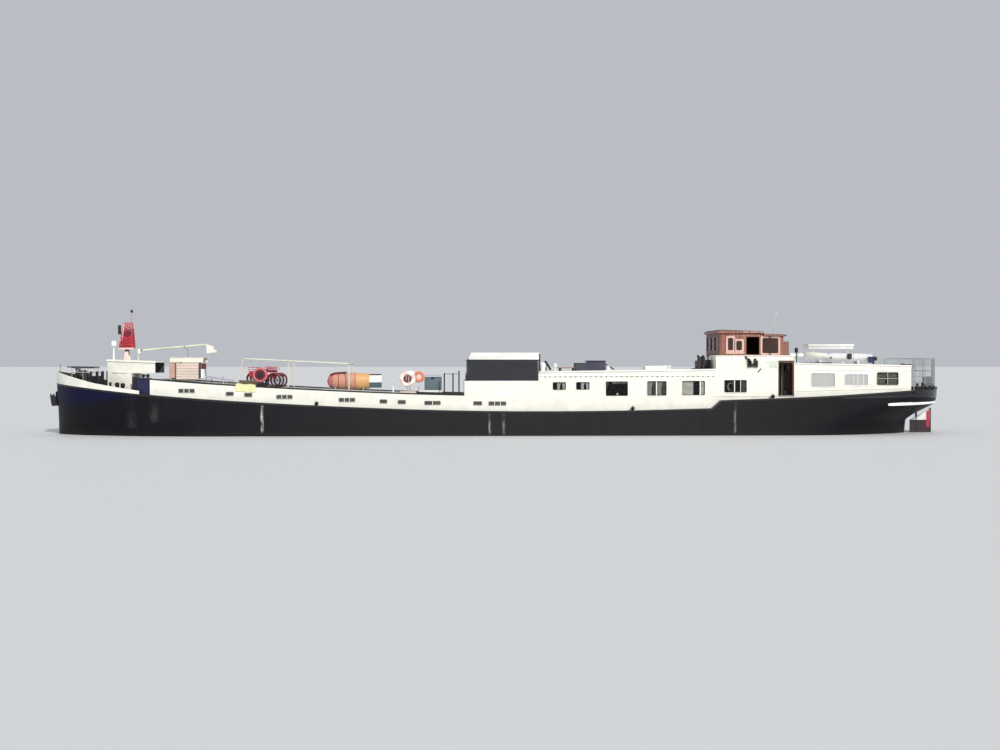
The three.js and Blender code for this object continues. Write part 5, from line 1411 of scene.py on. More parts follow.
@dataclass
class Deckhouse:
    """Windows, gutters and fittings of the deckhouse, the base and the aft cabin."""

    def make(self) -> None:
        """Makes the pieces."""
        self.make_windows()
        self.make_gutters()
        self.make_lounge()
        self.make_entrance()
        self.make_rooms()

    def make_windows(self) -> None:
        """Makes every large window on both sides, with its curtains on a rail."""
        rails = Piece("window_rails", slot="steel")
        for name, windows in WINDOWS.items():
            for side in BOTH:
                word = side.name.lower()
                frames = Piece(f"{name}_window_frames_{word}", slot="white_paint")
                panes = Piece(f"{name}_window_panes_{word}")
                for k, window in enumerate(windows):
                    window.add_to(frames, panes, HOUSE_Y, side)
                    window.hang(f"{name}_curtain_{word}_{k}", frames, side)
                    y, z = side.value * (HOUSE_Y - CURTAIN_IN), window.z1 + 0.026
                    rails.add(STEEL, bar((window.x0 - 0.03, y, z), (window.x1 + 0.03, y, z), 0.004, 6))
                frames.build()
                panes.build()
        rails.build()

    def make_gutters(self) -> None:
        """Makes the drip rails over the windows, with their brackets, the small marks on the walls and
        grey-green panels painted as a shadow beside the doorway.
        """
        rail = Piece("gutters", slot="cream_paint")
        y = -HOUSE_Y - 0.008
        for x in np.arange(1.05, 5.4, 0.13):
            z = 2.085 + 0.012 * (x - 1) / 4.4
            rail.both(GREY, box((x, y - 0.004, z - 0.012), (x + 0.05, y + 0.006, z + 0.006)))
        for x0, z0, x1, z1, radius in (
            (0.93, 2.102, 5.42, 2.114, 0.009), (7.5, 2.27, 10.44, 2.235, 0.007),
            (7.5, 1.72, 10.44, 1.79, 0.006), (5.45, 1.59, 7.0, 1.6, 0.008)
        ):
            rail.both(CREAM, bar((x0, y, z0), (x1, y, z1), radius))
        rail.both(BLACK, bar((6.51, y, 2.2), (6.585, y, 2.29), 0.013))
        rail.both(BLACK, box((10.25, -HOUSE_Y - 0.02, 2.383), (10.47, -HOUSE_Y - 0.0005, 2.405)))
        # painted shadow: the grey-green panels left of the doorway stand for a shadow on the wall
        rail.add(
            PALE_GREEN, box((6.705, y, 2.43), (7.009, y + 0.0075, 2.49)),
            box((6.8, y, 2.31), (7.009, y + 0.0072, 2.43)))
        rail.build()

    def make_lounge(self) -> None:
        """Makes the raised lounge's dark glass, its navy edges, the black post behind it and a black strip
        painted as the roof's shadow over the glass.
        """
        panes = Piece("lounge_panes")
        lines = Piece("lounge_lines", slot="navy_paint")
        for side in BOTH:
            glass = rectangle(-0.851, 0.871, 2.029, 2.476)
            panes.add(DARK_GLASS, prism("y", glass, *layer(side, HOUSE_Y - 0.01, HOUSE_Y - 0.001)))
            low, high = layer(side, HOUSE_Y - 0.0016, HOUSE_Y + 0.003)
            lines.add(
                LOUNGE_EDGE, box((-0.9, low, 1.99), (-0.845, high, 2.49)),
                box((-0.9, low, 1.99), (0.9, high, 2.026)))
        for x in (-0.9025, 0.8895):
            for y0, y1 in ((-1.24, -0.44), (-0.4, 0.4), (0.44, 1.24)):
                panes.add(DARK_GLASS, box((x - 0.002, y0 - 0.001, 2.029), (x + 0.002, y1 + 0.001, 2.476)))
        panes.build()
        lines.build()
        trim = Piece("lounge_trim", slot="black_paint")
        # painted shadow: a black strip along the top of the glass stands for the roof's shadow
        trim.both(BLACK, box((-0.905, -HOUSE_Y - 0.004, 2.497), (0.925, -HOUSE_Y + 0.01, 2.522)))
        trim.both(BLACK, box((0.912, -HOUSE_Y - 0.012, 2.226), (0.955, -HOUSE_Y + 0.012, 2.66)))
        trim.build()

    def make_entrance(self) -> None:
        """Makes the doorway's frame with its round corner, the sill, and the post, panel and pot inside."""
        piece = Piece("entrance_frame", slot="varnished_wood")

        def arch(x0: float, x1: float, z0: float, z1: float, radius: float) -> Array:
            turn = np.linspace(0, math.pi / 2, 9)
            corner = np.column_stack((x1 - radius * (1 - np.cos(turn)), z1 - radius * (1 - np.sin(turn))))
            return np.concatenate((((x0, z0), (x1, z0)), corner, ((x0, z1),)))

        hole = arch(7.033, 7.439, 1.582, 2.498, 0.07)
        piece.add(DOOR_BROWN, hoop("y", hole, arch(7.06, 7.4, 1.6, 2.45, 0.09), -1.329, -1.3235))
        piece.add(BROWN_WOOD, box((7.402, -1.3285, 1.6), (7.437, -1.3235, 2.36)))
        piece.add(STEEL, box((7.06, -1.3285, 1.598), (7.4, -1.3235, 1.61)))
        piece.add(OLIVE, box((7.204, -0.9, 1.585), (7.273, -0.86, 2.45)))
        piece.add(DOOR_BROWN, box((7.27, -0.845, 1.585), (7.39, -0.835, 2.2)))
        piece.add(LIGHT_GREY, upright((7.333, -0.8, 1.585), ((0, 0.04), (0.09, 0.055), (0.13, 0.05)), 18))
        piece.build()

    def make_rooms(self) -> None:
        """Makes what stands near the windows: a table with a lamp, a round chair back and a bed."""
        piece = Piece("room_furniture", slot="varnished_wood")
        piece.add(
            TEAK, box((2.66, -1.27, 1.56), (3.12, -0.85, 1.59)),
            box((2.86, -1.08, 1.24), (2.92, -1.02, 1.56)))
        piece.add(WHITE, upright(
            (2.93, -1.2, 1.591), ((0, 0.03), (0.01, 0.012), (0.03, 0.01), (0.035, 0.035), (0.08, 0.022)),
            14))
        arc = [
            (5.84 + 0.08 * math.cos(a), -1.22, 1.83 + 0.1 * math.sin(a)) for a in np.linspace(0.7, 4.4, 14)]
        piece.add(WHITE, tube(arc, 0.009, 8))
        piece.add(TEAK, box((5.8, -1.23, 1.53), (6.1, -1.0, 1.7)))
        piece.add(TEAK, box((9.6, -1.2, 1.72), (10.1, -0.5, 1.88)))
        piece.build()


@dataclass
class Wheelhouse:
    """Windows, pale frames, roof trims and fittings of the wheelhouse."""

    def make(self) -> None:
        """Makes the pieces."""
        frames = Piece("wheelhouse_window_frames", slot="varnished_wood")
        panes = Piece("wheelhouse_panes")
        for x0, x1, z0, z1 in (
            (5.811, 5.966, 2.753, 3.09), (6.027, 6.195, 2.753, 3.015), (6.705, 7.136, 2.679, 3.09)
        ):
            for side in BOTH:
                pane = Window(
                    x0, x1, z0, z1, frame=PALE_WOOD, seal=PALE_WOOD, width=0.04, glass=MAROON_GLASS)
                pane.add_to(frames, panes, WHEELHOUSE_Y, side)
        for side in BOTH:
            frames.add(BROWN_WOOD, slats(6.69, 7.15, 2.66, 3.1, side.value * 0.855))
        for x, out, z1 in ((5.591, -1, 3.11), (7.26, 1, 3.06)):
            for y0, y1 in ((-0.8, -0.3), (-0.25, 0.25), (0.3, 0.8)):
                inner = rectangle(y0, y1, 2.76, z1, 0.02)
                outer = rectangle(y0 - 0.025, y1 + 0.025, 2.73, z1 + 0.03, 0.03)
                # painted shade: the frames on the front face are dark red, the aft ones pale wood
                frame_wood_shaded_in_front = PALE_WOOD if out > 0 else DARK_RED
                frames.add(frame_wood_shaded_in_front, hoop("x", outer, inner, *sorted((x + out * 0.002, x + out * 0.012))))
                middle = x - out * 0.012
                panes.add(MAROON_GLASS, prism("x", inner, middle - 0.002, middle + 0.002))
        frames.build()
        panes.build()
        self.make_trims()
        self.make_side_lights()
        Piece("wheelhouse_door_pane", body="wheelhouse_door").add(
            MAROON_GLASS, box((6.697, -0.857, 2.799), (6.944, -0.852, 3.061))).build()

    def make_trims(self) -> None:
        """Makes the roof covering, edge strips, corner posts, sill, antenna and the locker's boards; the
        front face's strips and corner posts are dark brown as painted shade.
        """
        roof = Piece("wheelhouse_roof_cover", slot="black_paint")
        over = ((5.54, 3.243), (5.6, 3.278), (6.752, 3.243), (6.752, 3.252), (5.6, 3.292), (5.535, 3.25))
        roof.add(BLACK, prism("y", over, -0.95, 0.95))
        roof.add(
            BLACK, prism("y", ((6.765, 3.181), (7.322, 3.163), (7.322, 3.171), (6.765, 3.19)), -0.95, 0.95))
        roof.build()
        trim = Piece("wheelhouse_trim", slot="varnished_wood")
        trim.both(
            PALE_WOOD, box((6.2, -0.966, 3.225), (6.756, -0.9605, 3.24)),
            box((5.76, -0.912, 2.675), (6.25, -0.9005, 2.712)))
        trim.both(BROWN_WOOD, box((6.765, -0.966, 3.13), (7.325, -0.9605, 3.146)))
        # painted shade: the sill, head, posts and mullions on the front face are dark brown for the front's
        # shade
        for y0, y1, z0, z1 in (
            (-0.9, 0.9, 2.64, 2.73), (-0.9, 0.9, 3.14, 3.2), (-0.9, -0.825, 2.73, 3.14),
            (0.825, 0.9, 2.73, 3.14), (-0.276, -0.274, 2.73, 3.14), (0.274, 0.276, 2.73, 3.14)
        ):
            trim.add(BROWN_WOOD, box((5.586, y0, z0), (5.5905, y1, z1)))
        trim.add(PALE_GREEN, bar((7.1, -0.3, 3.19), (7.23, -0.3, 3.8), 0.0085, 8))
        # painted shade: the front corner posts are dark brown, the aft ones mahogany
        for x0, x1, z1, wood in ((5.588, 5.66, 3.198, BROWN_WOOD), (7.19, 7.262, 3.122, MAHOGANY)):
            trim.both(wood, box((x0, -0.912, 2.64), (x1, -0.9005, z1)))
        for z in np.arange(2.66, 2.95, 0.07):
            trim.add(MAHOGANY, box((7.265, -0.766, z), (7.435, -0.7605, z + 0.055)))
        trim.build()

    def make_side_lights(self) -> None:
        """Makes the side lights on the base walls: a black bracket, two lamp housings and their glass."""
        lamp = Piece("side_lights", slot="black_paint")
        for side in BOTH:
            face = HOUSE_Y + 0.0005
            low, high = layer(side, face, face + 0.05)
            lamp.add(BLACK, prism("y", ((6.17, 2.6), (6.2, 2.61), (6.33, 2.45), (6.3, 2.42)), low, high))
            for x in (6.24, 6.4):
                lamp.add(
                    BLACK, box((x, low, 2.33), (x + 0.1, high, 2.5)),
                    box((x + 0.01, low, 2.5), (x + 0.06, high, 2.55)))
            lamp.add(BLACK, box((6.24, low, 2.4), (6.5, high, 2.42)))
            lamp.add(
                MAROON if side is Side.PORT else GREEN,
                box((6.345, low, 2.34), (6.395, high - 0.006, 2.39)))
        lamp.build()


@dataclass
class Foredeck:
    """Bow bulwark, bow house fittings, navy locker, mast and boom."""

    MAST_PIN = (-9.72, 2.7)
    BOOM_PIN = (-9.4, 2.765)

    def make(self) -> None:
        """Makes the pieces."""
        self.make_bulwark()
        self.make_bow_house()
        self.make_locker()
        self.make_mast()
        self.make_boom()

    def make_bulwark(self) -> None:
        """Makes the bow bulwark with its cap, stays and jackstaff, and the rails and bollards in it."""
        piece = Piece("bow_bulwark_shell", slot="cream_paint", replaces=("bow_bulwark",))
        xs = np.concatenate((
            STEM_X + np.array((0.004, 0.03, 0.07, 0.12, 0.19, 0.28, 0.4, 0.55)),
            np.linspace(-10.8, -9.09, 14)))
        line = np.column_stack((xs, -half_breadth(xs, sheer(xs))))
        whole = np.concatenate((line[::-1], line * (1, -1)))
        run = np.gradient(whole, axis=0)
        inward = np.column_stack((run[:, 1], -run[:, 0])) / np.linalg.norm(run, axis=1)[:, None]
        foot = sheer(whole[:, 0])

        def rise(x: Array) -> Array:
            return np.interp(x, (-11.5, -10.3, -9.5, -9.1), (0.29, 0.13, 0.085, 0.07))

        def strip(rows: Iterable[tuple[float, float]]) -> Array:
            rises = rise(whole[:, 0])
            made = [np.column_stack((whole + inward * push, foot + rises * share)) for push, share in rows]
            return np.stack(made, 1)

        piece.add(CREAM, loft(strip(((0.002, 0.0), (0.002, 1.0), (0.014, 1.0), (0.014, 0.0)))))
        piece.add(DARK_GREY, loft(strip(((0.0142, 0.0), (0.0142, 1.0), (0.026, 1.0), (0.026, 0.0)))))
        piece.add(CREAM, tube(strip(((0.015, 1.0),))[:, 0], 0.015, 8))
        for x in (-11.0, -10.6, -10.15, -9.8, -9.45):
            y = 0.03 - float(half_breadth(np.array([x]), sheer(x))[0])
            z = float(sheer(x)[0])
            piece.both(
                BLACK,
                prism("x", ((y, z), (y + 0.06, z), (y, z + float(rise(x)) - 0.01)), x - 0.005, x + 0.005))
        piece.add(STEEL, upright(
            (-11.44, 0, 1.95), ((0, 0.02), (0.1, 0.012), (0.44, 0.008), (0.46, 0.014), (0.48, 0.004)), 10))
        for z in (2.31, 2.2):
            piece.both(LIGHT_GREY, bar((-11.1, -0.25, z), (-10.5, -0.25, z - 0.01), 0.011))
        for x in (-11.08, -10.8, -10.52):
            piece.both(LIGHT_GREY, bar((x, -0.25, deck(x)), (x, -0.25, 2.31), 0.009))
        piece.add(
            BLACK, box((-11.35, -0.09, 1.92), (-11.15, 0.09, 2.09)),
            box((-10.6, -0.3, 1.9), (-10.4, 0.3, 2.1)))
        piece.both(BLACK, bar((-11.2, -0.27, 2.335), (-10.5, -0.27, 2.325), 0.014))
        for x in (-10.58, -10.42, -10.3):
            piece.both(BLACK, bar((x, -0.3, deck(x)), (x, -0.3, 2.22), 0.03, 10))
        for x in (-9.72, -9.58):
            piece.both(BLACK, upright(
                (x, -1.13, deck(x)), ((0, 0.03), (0.12, 0.04), (0.14, 0.055), (0.2, 0.055), (0.22, 0.03)),
                14))
        piece.build()

    def make_bow_house(self) -> None:
        """Makes the bow house's roof edge, grab rails, step, a dark grey sheet painted as the shade under
        the hood, lamp and mast foot plates.
        """
        trim = Piece("bow_house_trim", slot="cream_paint")
        trim.both(CREAM, prism(
            "y", ((-10.112, 2.486), (-8.858, 2.438), (-8.858, 2.446), (-10.112, 2.494)), -0.632, -0.625))
        trim.both(CREAM, tube(
            ((-9.95, -0.605, 2.2), (-9.95, -0.64, 2.2), (-9.6, -0.64, 2.19), (-9.6, -0.605, 2.19)), 0.008,
            6))
        trim.add(CREAM, box((-9.45, -1.0, 1.72), (-9.25, -0.61, 1.9)))
        # painted shade: a dark grey sheet on the far side under the hood stands for the shade there
        trim.add(
            DARK_GREY,
            prism("y", ((-9.465, 2.18), (-8.88, 2.18), (-8.88, 2.438), (-9.465, 2.46)), 0.578, 0.583))
        trim.add(WHITE, upright(
            (-9.99, -0.33, 2.86), ((0, 0.03), (0.02, 0.068), (0.1, 0.07), (0.14, 0.05), (0.15, 0.01)), 18))
        trim.both(
            PALE_PINK,
            prism("y", ((-9.79, 2.51), (-9.65, 2.51), (-9.68, 2.735), (-9.76, 2.735)), -0.09, -0.0848))
        trim.build()

    def make_locker(self) -> None:
        """Makes the navy locker with its rimmed lid and vents, and the black box before it."""
        chest = Piece("bow_locker_lid", slot="navy_paint", replaces=("bow_locker",), bevel=0.01)
        z = deck(-9.05) + 0.001
        chest.add(
            NAVY, box((-9.195, -1.295, z), (-8.905, -0.985, 2.03)),
            box((-9.21, -1.31, 2.03), (-8.89, -0.97, 2.062)))
        chest.add(
            BLACK, box((-9.32, -1.24, z), (-9.2, -1.0, 2.09)),
            box((-9.1, -1.302, 1.96), (-9.0, -1.29, 2.0)))
        for x in (-9.06, -8.95):
            chest.add(BLACK, upright(
                (x, -1.14, 2.06), ((0, 0.025), (0.03, 0.025), (0.035, 0.052), (0.07, 0.052), (0.1, 0.02)),
                16))
        chest.build()

    def make_mast(self) -> None:
        """Makes the lattice mast: banded legs, rungs, crossed braces, winch box and lamps."""
        piece = Piece("mast_lattice", body="mast", slot="red_paint", replaces=("mast",))
        pin_x, pin_z = self.MAST_PIN
        piece.add(
            BROWN_WOOD, box((pin_x - 0.045, -0.06, pin_z - 0.06), (pin_x + 0.045, 0.06, pin_z + 0.09)))
        piece.add(PALE_PINK, box((pin_x - 0.19, -0.19, pin_z + 0.09), (pin_x + 0.19, 0.19, pin_z + 0.13)))
        count = 8
        levels = np.linspace(0.13, 0.78, count + 1)

        def corner(sx: int, sy: int, level: float) -> Array:
            share = (level - 0.12) / 0.66
            return np.array((
                pin_x + sx * (0.17 - 0.075 * share) + 0.03 * share, sy * (0.17 - 0.09 * share),
                pin_z + level))

        ring_of_legs = ((-1, -1), (1, -1), (1, 1), (-1, 1))
        for k, (low, high) in enumerate(zip(levels[:-1], levels[1:])):
            band = RED if k < count - 2 else PINK
            for sx, sy in ring_of_legs:
                leg = PINK if sx < 0 and k % 3 == 2 else band
                piece.add(leg, bar(corner(sx, sy, low), corner(sx, sy, high), 0.016))
            piece.add(band, tube([corner(sx, sy, high) for sx, sy in ring_of_legs], 0.011, 6, closed=True))
            for start, end in zip(ring_of_legs, ring_of_legs[1:] + ring_of_legs[:1]):
                piece.add(
                    band, bar(corner(*start, low), corner(*end, high), 0.008, 6),
                    bar(corner(*end, low), corner(*start, high), 0.008, 6))
        piece.add(RED, box((pin_x - 0.13, -0.13, pin_z + 0.13), (pin_x + 0.14, 0.13, pin_z + 0.45)))
        piece.add(DARK_RED, turned(
            (pin_x + 0.03, -0.15, pin_z + 0.5), ABEAM,
            ((0, 0.08), (0.02, 0.08), (0.03, 0.05), (0.27, 0.05), (0.28, 0.08), (0.3, 0.08)), 16))
        piece.add(
            PALE_PINK, bar((pin_x - 0.1, -0.13, pin_z + 0.34), (pin_x - 0.055, -0.1, pin_z + 0.75), 0.012))
        piece.add(
            PINK, box((pin_x - 0.075, -0.09, pin_z + 0.77), (pin_x + 0.135, 0.09, pin_z + 0.79)),
            bar((pin_x + 0.12, 0, pin_z + 0.785), (pin_x + 0.12, 0, pin_z + 1.05), 0.01))
        piece.add(
            BLACK,
            upright(
                (pin_x + 0.12, 0, pin_z + 1.045),
                ((0, 0.016), (0.006, 0.032), (0.02, 0.034), (0.05, 0.03), (0.06, 0.032), (0.07, 0.018)),
                14), box((pin_x - 0.23, -0.024, pin_z + 0.48), (pin_x - 0.16, 0.024, pin_z + 0.72)),
            box((pin_x - 0.17, -0.01, pin_z + 0.552), (pin_x - 0.08, 0.01, pin_z + 0.568)))
        piece.build()

    def make_boom(self) -> None:
        """Makes the pale spar with its collars and the lamps at its end."""
        piece = Piece("boom_spar", body="boom", slot="white_paint", replaces=("boom",))
        pin_x, pin_z = self.BOOM_PIN
        start, ahead = np.array((pin_x + 0.06, 0, pin_z + 0.003)), np.array((1.71, 0, 0.153))
        piece.add(
            BOOM_PALE, turned(start, ahead, ((0, 0.024), (0.05, 0.028), (0.9, 0.026), (1.71, 0.018)), 12))
        piece.add(
            BLACK,
            turned(
                (pin_x, -0.028, pin_z), ABEAM, ((0, 0.02), (0.004, 0.026), (0.052, 0.026), (0.056, 0.02)),
                16), box((pin_x, -0.02, pin_z - 0.018), (pin_x + 0.08, 0.02, pin_z + 0.024)))
        for share in (0.3, 0.62):
            piece.add(STEEL, ring(start + ahead * share, ahead, 0.027, 0.005, 18, 6))
        piece.add(WHITE, box((pin_x + 1.735, -0.09, pin_z + 0.1), (pin_x + 1.84, 0.09, pin_z + 0.14)))
        for y in (-0.08, 0.08):
            piece.add(
                CREAM,
                box((pin_x + 1.745, y - 0.008, pin_z - 0.07), (pin_x + 1.9, y + 0.008, pin_z + 0.11)),
                turned(
                    (pin_x + 1.88, y, pin_z - 0.04), ASTERN,
                    ((0, 0.03), (0.02, 0.055), (0.09, 0.062), (0.1, 0.045)), 16))
        piece.build()


def inflate(made: bpy.types.Object, voxel: float, pressure: float, cap: float, frames: int = 20) -> None:
    """Blows up a closed box of cloth: remeshed evenly, then cloth under pressure, then one subdivision.

    Args:
        made: the box, a little smaller than the pad.
        voxel: size of the even mesh.
        pressure: pressure inside the cloth.
        cap: the farthest that a point may move.
        frames: how many frames the cloth runs.
    """
    scene = bpy.context.scene

    def freeze() -> Array:
        shaped = made.evaluated_get(bpy.context.evaluated_depsgraph_get())
        old, made.data = made.data, bpy.data.meshes.new_from_object(shaped)
        made.modifiers.clear()
        bpy.data.meshes.remove(old)
        flat = np.empty(len(made.data.vertices) * 3)
        made.data.vertices.foreach_get("co", flat)
        return flat.reshape(-1, 3)

    remesh = made.modifiers.new("even_mesh", "REMESH")
    remesh.mode, remesh.voxel_size = "VOXEL", voxel
    before = freeze()
    cloth_modifier = made.modifiers.new("pressure", "CLOTH")
    settings = cloth_modifier.settings
    settings.use_pressure = True
    settings.uniform_pressure_force = pressure
    settings.effector_weights.gravity = 0.0
    for frame_number in range(1, frames + 1):
        scene.frame_set(frame_number)
    after = freeze()
    scene.frame_set(1)
    move = after - before
    length = np.linalg.norm(move, axis=1)[:, None]
    after = before + move * np.minimum(1, cap / np.maximum(length, 1e-9))
    made.data.vertices.foreach_set("co", after.ravel())
    made.data.polygons.foreach_set("use_smooth", np.ones(len(made.data.polygons), bool))
    smooth = made.modifiers.new("smooth_cloth", "SUBSURF")
    smooth.levels = smooth.render_levels = 1


@dataclass
class DeckSeat:
    """The swinging deck seat: frame, cloth canopy and side curtains, bench and cushions."""

    x0: float = -8.5
    x1: float = -7.65
    y0: float = -0.64
    y1: float = 0.06
    pivot: float = 2.47

    def make(self) -> None:
        """Makes the pieces."""
        self.make_frame()
        self.make_canopy()
        self.make_bench()

    def make_frame(self) -> None:
        """Makes the tube frame, its feet and the slatted panel hung at its port side."""
        piece = Piece("deck_seat_tubes", slot="canvas", replaces=("deck_seat_frame",))
        middle = (self.y0 + self.y1) / 2
        for x in (self.x0 + 0.02, self.x1 - 0.02):
            z = trunk_top(x)
            for y in (self.y0 + 0.03, self.y1 - 0.03):
                piece.add(GREY, tube(
                    (
                        (x, y, z + 0.006), (x, y + (middle - y) * 0.5, (z + self.pivot) / 2),
                        (x, middle, self.pivot + 0.02)), 0.013, 10))
            piece.add(GREY, bar((x, self.y0, z + 0.012), (x, self.y1, z + 0.012), 0.013, 10))
        piece.add(GREY, bar(
            (self.x0 + 0.01, middle, self.pivot + 0.02), (self.x1 - 0.01, middle, self.pivot + 0.02),
            0.016))
        for k, z in enumerate(np.arange(2.02, 2.43, 0.069)):
            piece.add(
                PALE_PINK if k == 4 else SEAT_CREAM, box((-8.351, -0.635, z), (-7.77, -0.621, z + 0.062)))
        piece.add(
            BROWN_WOOD, box((-8.36, -0.638, 2.0), (-8.335, -0.62, 2.46)),
            box((-8.351, -0.638, 2.0), (-7.77, -0.62, 2.018)))
        for x in (-8.311, -8.06, -7.81):
            piece.add(SEAT_CREAM, box((x - 0.015, -0.62, 2.02), (x + 0.015, -0.612, 2.53)))
        piece.add(DARK_GREY, box((-7.766, -0.63, 2.03), (-7.71, -0.61, 2.45)))
        piece.add(WHITE, box((-7.708, -0.63, 2.05), (-7.63, -0.61, 2.28)))
        piece.add(DARK_RED, box((-7.7, -0.55, 2.28), (-7.6, -0.45, 2.42)))
        piece.build()

    def make_canopy(self) -> None:
        """Makes the canopy cloth with its hanging edges, and the curtains gathered at its fore end, in a
        darker pink cloth that is partly painted shade.

        Across the seat the cloth follows a sine out to its edge and a power curve in height, then hangs.
        """
        middle, half = (self.y0 + self.y1) / 2, (self.y1 - self.y0) / 2
        along, turn = np.linspace(0, 1, 41)[:, None], np.linspace(-1, 1, 33)[None, :]
        over, hang = np.clip(np.abs(turn) / 0.78, 0, 1), np.clip((np.abs(turn) - 0.78) / 0.22, 0, 1)
        x = self.x0 + (self.x1 - self.x0) * along + 0 * turn
        sag = 0.012 * np.sin(along * 2 * math.pi) ** 2 * (1 - over)
        y = middle + np.sign(turn) * half * np.sin(over * math.pi / 2) ** 0.9 + 0 * along
        z = 2.505 + 0.08 * (1 - over**2.2) - sag - hang * (
            0.06 - 0.01 * np.abs(np.sin(along * math.pi * 7)))
        cloth("deck_seat_canopy", CANVAS, np.stack((x, y, z), -1), 0.004)
        share, down = np.linspace(0, 1, 61)[:, None], np.linspace(0, 1, 19)[None, :]
        # partly painted shade: the curtains are darker and pinker than the canopy
        for name, x_at, y_at, wide in (("port", -8.52, -0.6, 0.2), ("starboard", -8.5, 0.02, 0.2)):
            pleat = 0.014 * np.sin(share * 2 * math.pi * 5) * (0.5 + 0.5 * down)
            cx = x_at + wide * share * (1 - 0.2 * np.sin(down * math.pi) ** 2)
            cz = 2.51 - (0.46 + 0.01 * np.sin(share * 9)) * down
            face = np.stack((cx, y_at + pleat, cz), -1)
            cloth(f"deck_seat_curtain_{name}", CANVAS_PINK, face)

    def make_bench(self) -> None:
        """Makes the bench with slats and hangers, and its seat and back cushions as blown-up cloth."""
        middle = (self.y0 + self.y1) / 2
        x0, x1, low = -8.43, -7.72, 2.15
        piece = Piece(
            "deck_seat_slats", body="deck_seat_bench", slot="canvas", replaces=("deck_seat_bench",))
        for y in np.linspace(middle - 0.21, middle + 0.15, 6):
            piece.add(TEAK, box((x0, y, low), (x1, y + 0.04, low + 0.016)))
        for x in (x0 + 0.01, x1 - 0.01):
            for y in (middle - 0.19, middle + 0.16):
                piece.add(GREY, bar((x, y, low + 0.02), (x, middle, self.pivot - 0.03), 0.009))
            piece.add(
                GREY, bar((x, middle, self.pivot - 0.055), (x, middle, self.pivot + 0.0035), 0.012),
                bar((x, middle - 0.22, low + 0.008), (x, middle + 0.18, low + 0.008), 0.01))
        piece.build()
        lean = math.radians(80)
        for name, run, rise, foot, angle in (
            ("seat", 0.33, 0.03, (middle - 0.2, low + 0.032), 0.0),
            ("back", 0.22, 0.026, (middle + 0.15, low + 0.08), lean)
        ):
            points, faces = box((x0 + 0.03, 0, 0), (x1 - 0.03, run, rise))
            y = foot[0] + points[:, 1] * math.cos(angle) - points[:, 2] * math.sin(angle)
            z = foot[1] + points[:, 1] * math.sin(angle) + points[:, 2] * math.cos(angle)
            shape = (np.column_stack((points[:, 0], y, z)), faces)
            made = Piece(
                f"deck_seat_{name}_cushion", body="deck_seat_bench",
                slot="canvas").add(CUSHION, shape).build(70)
            inflate(made, voxel=0.006, pressure=4.0, cap=0.016)


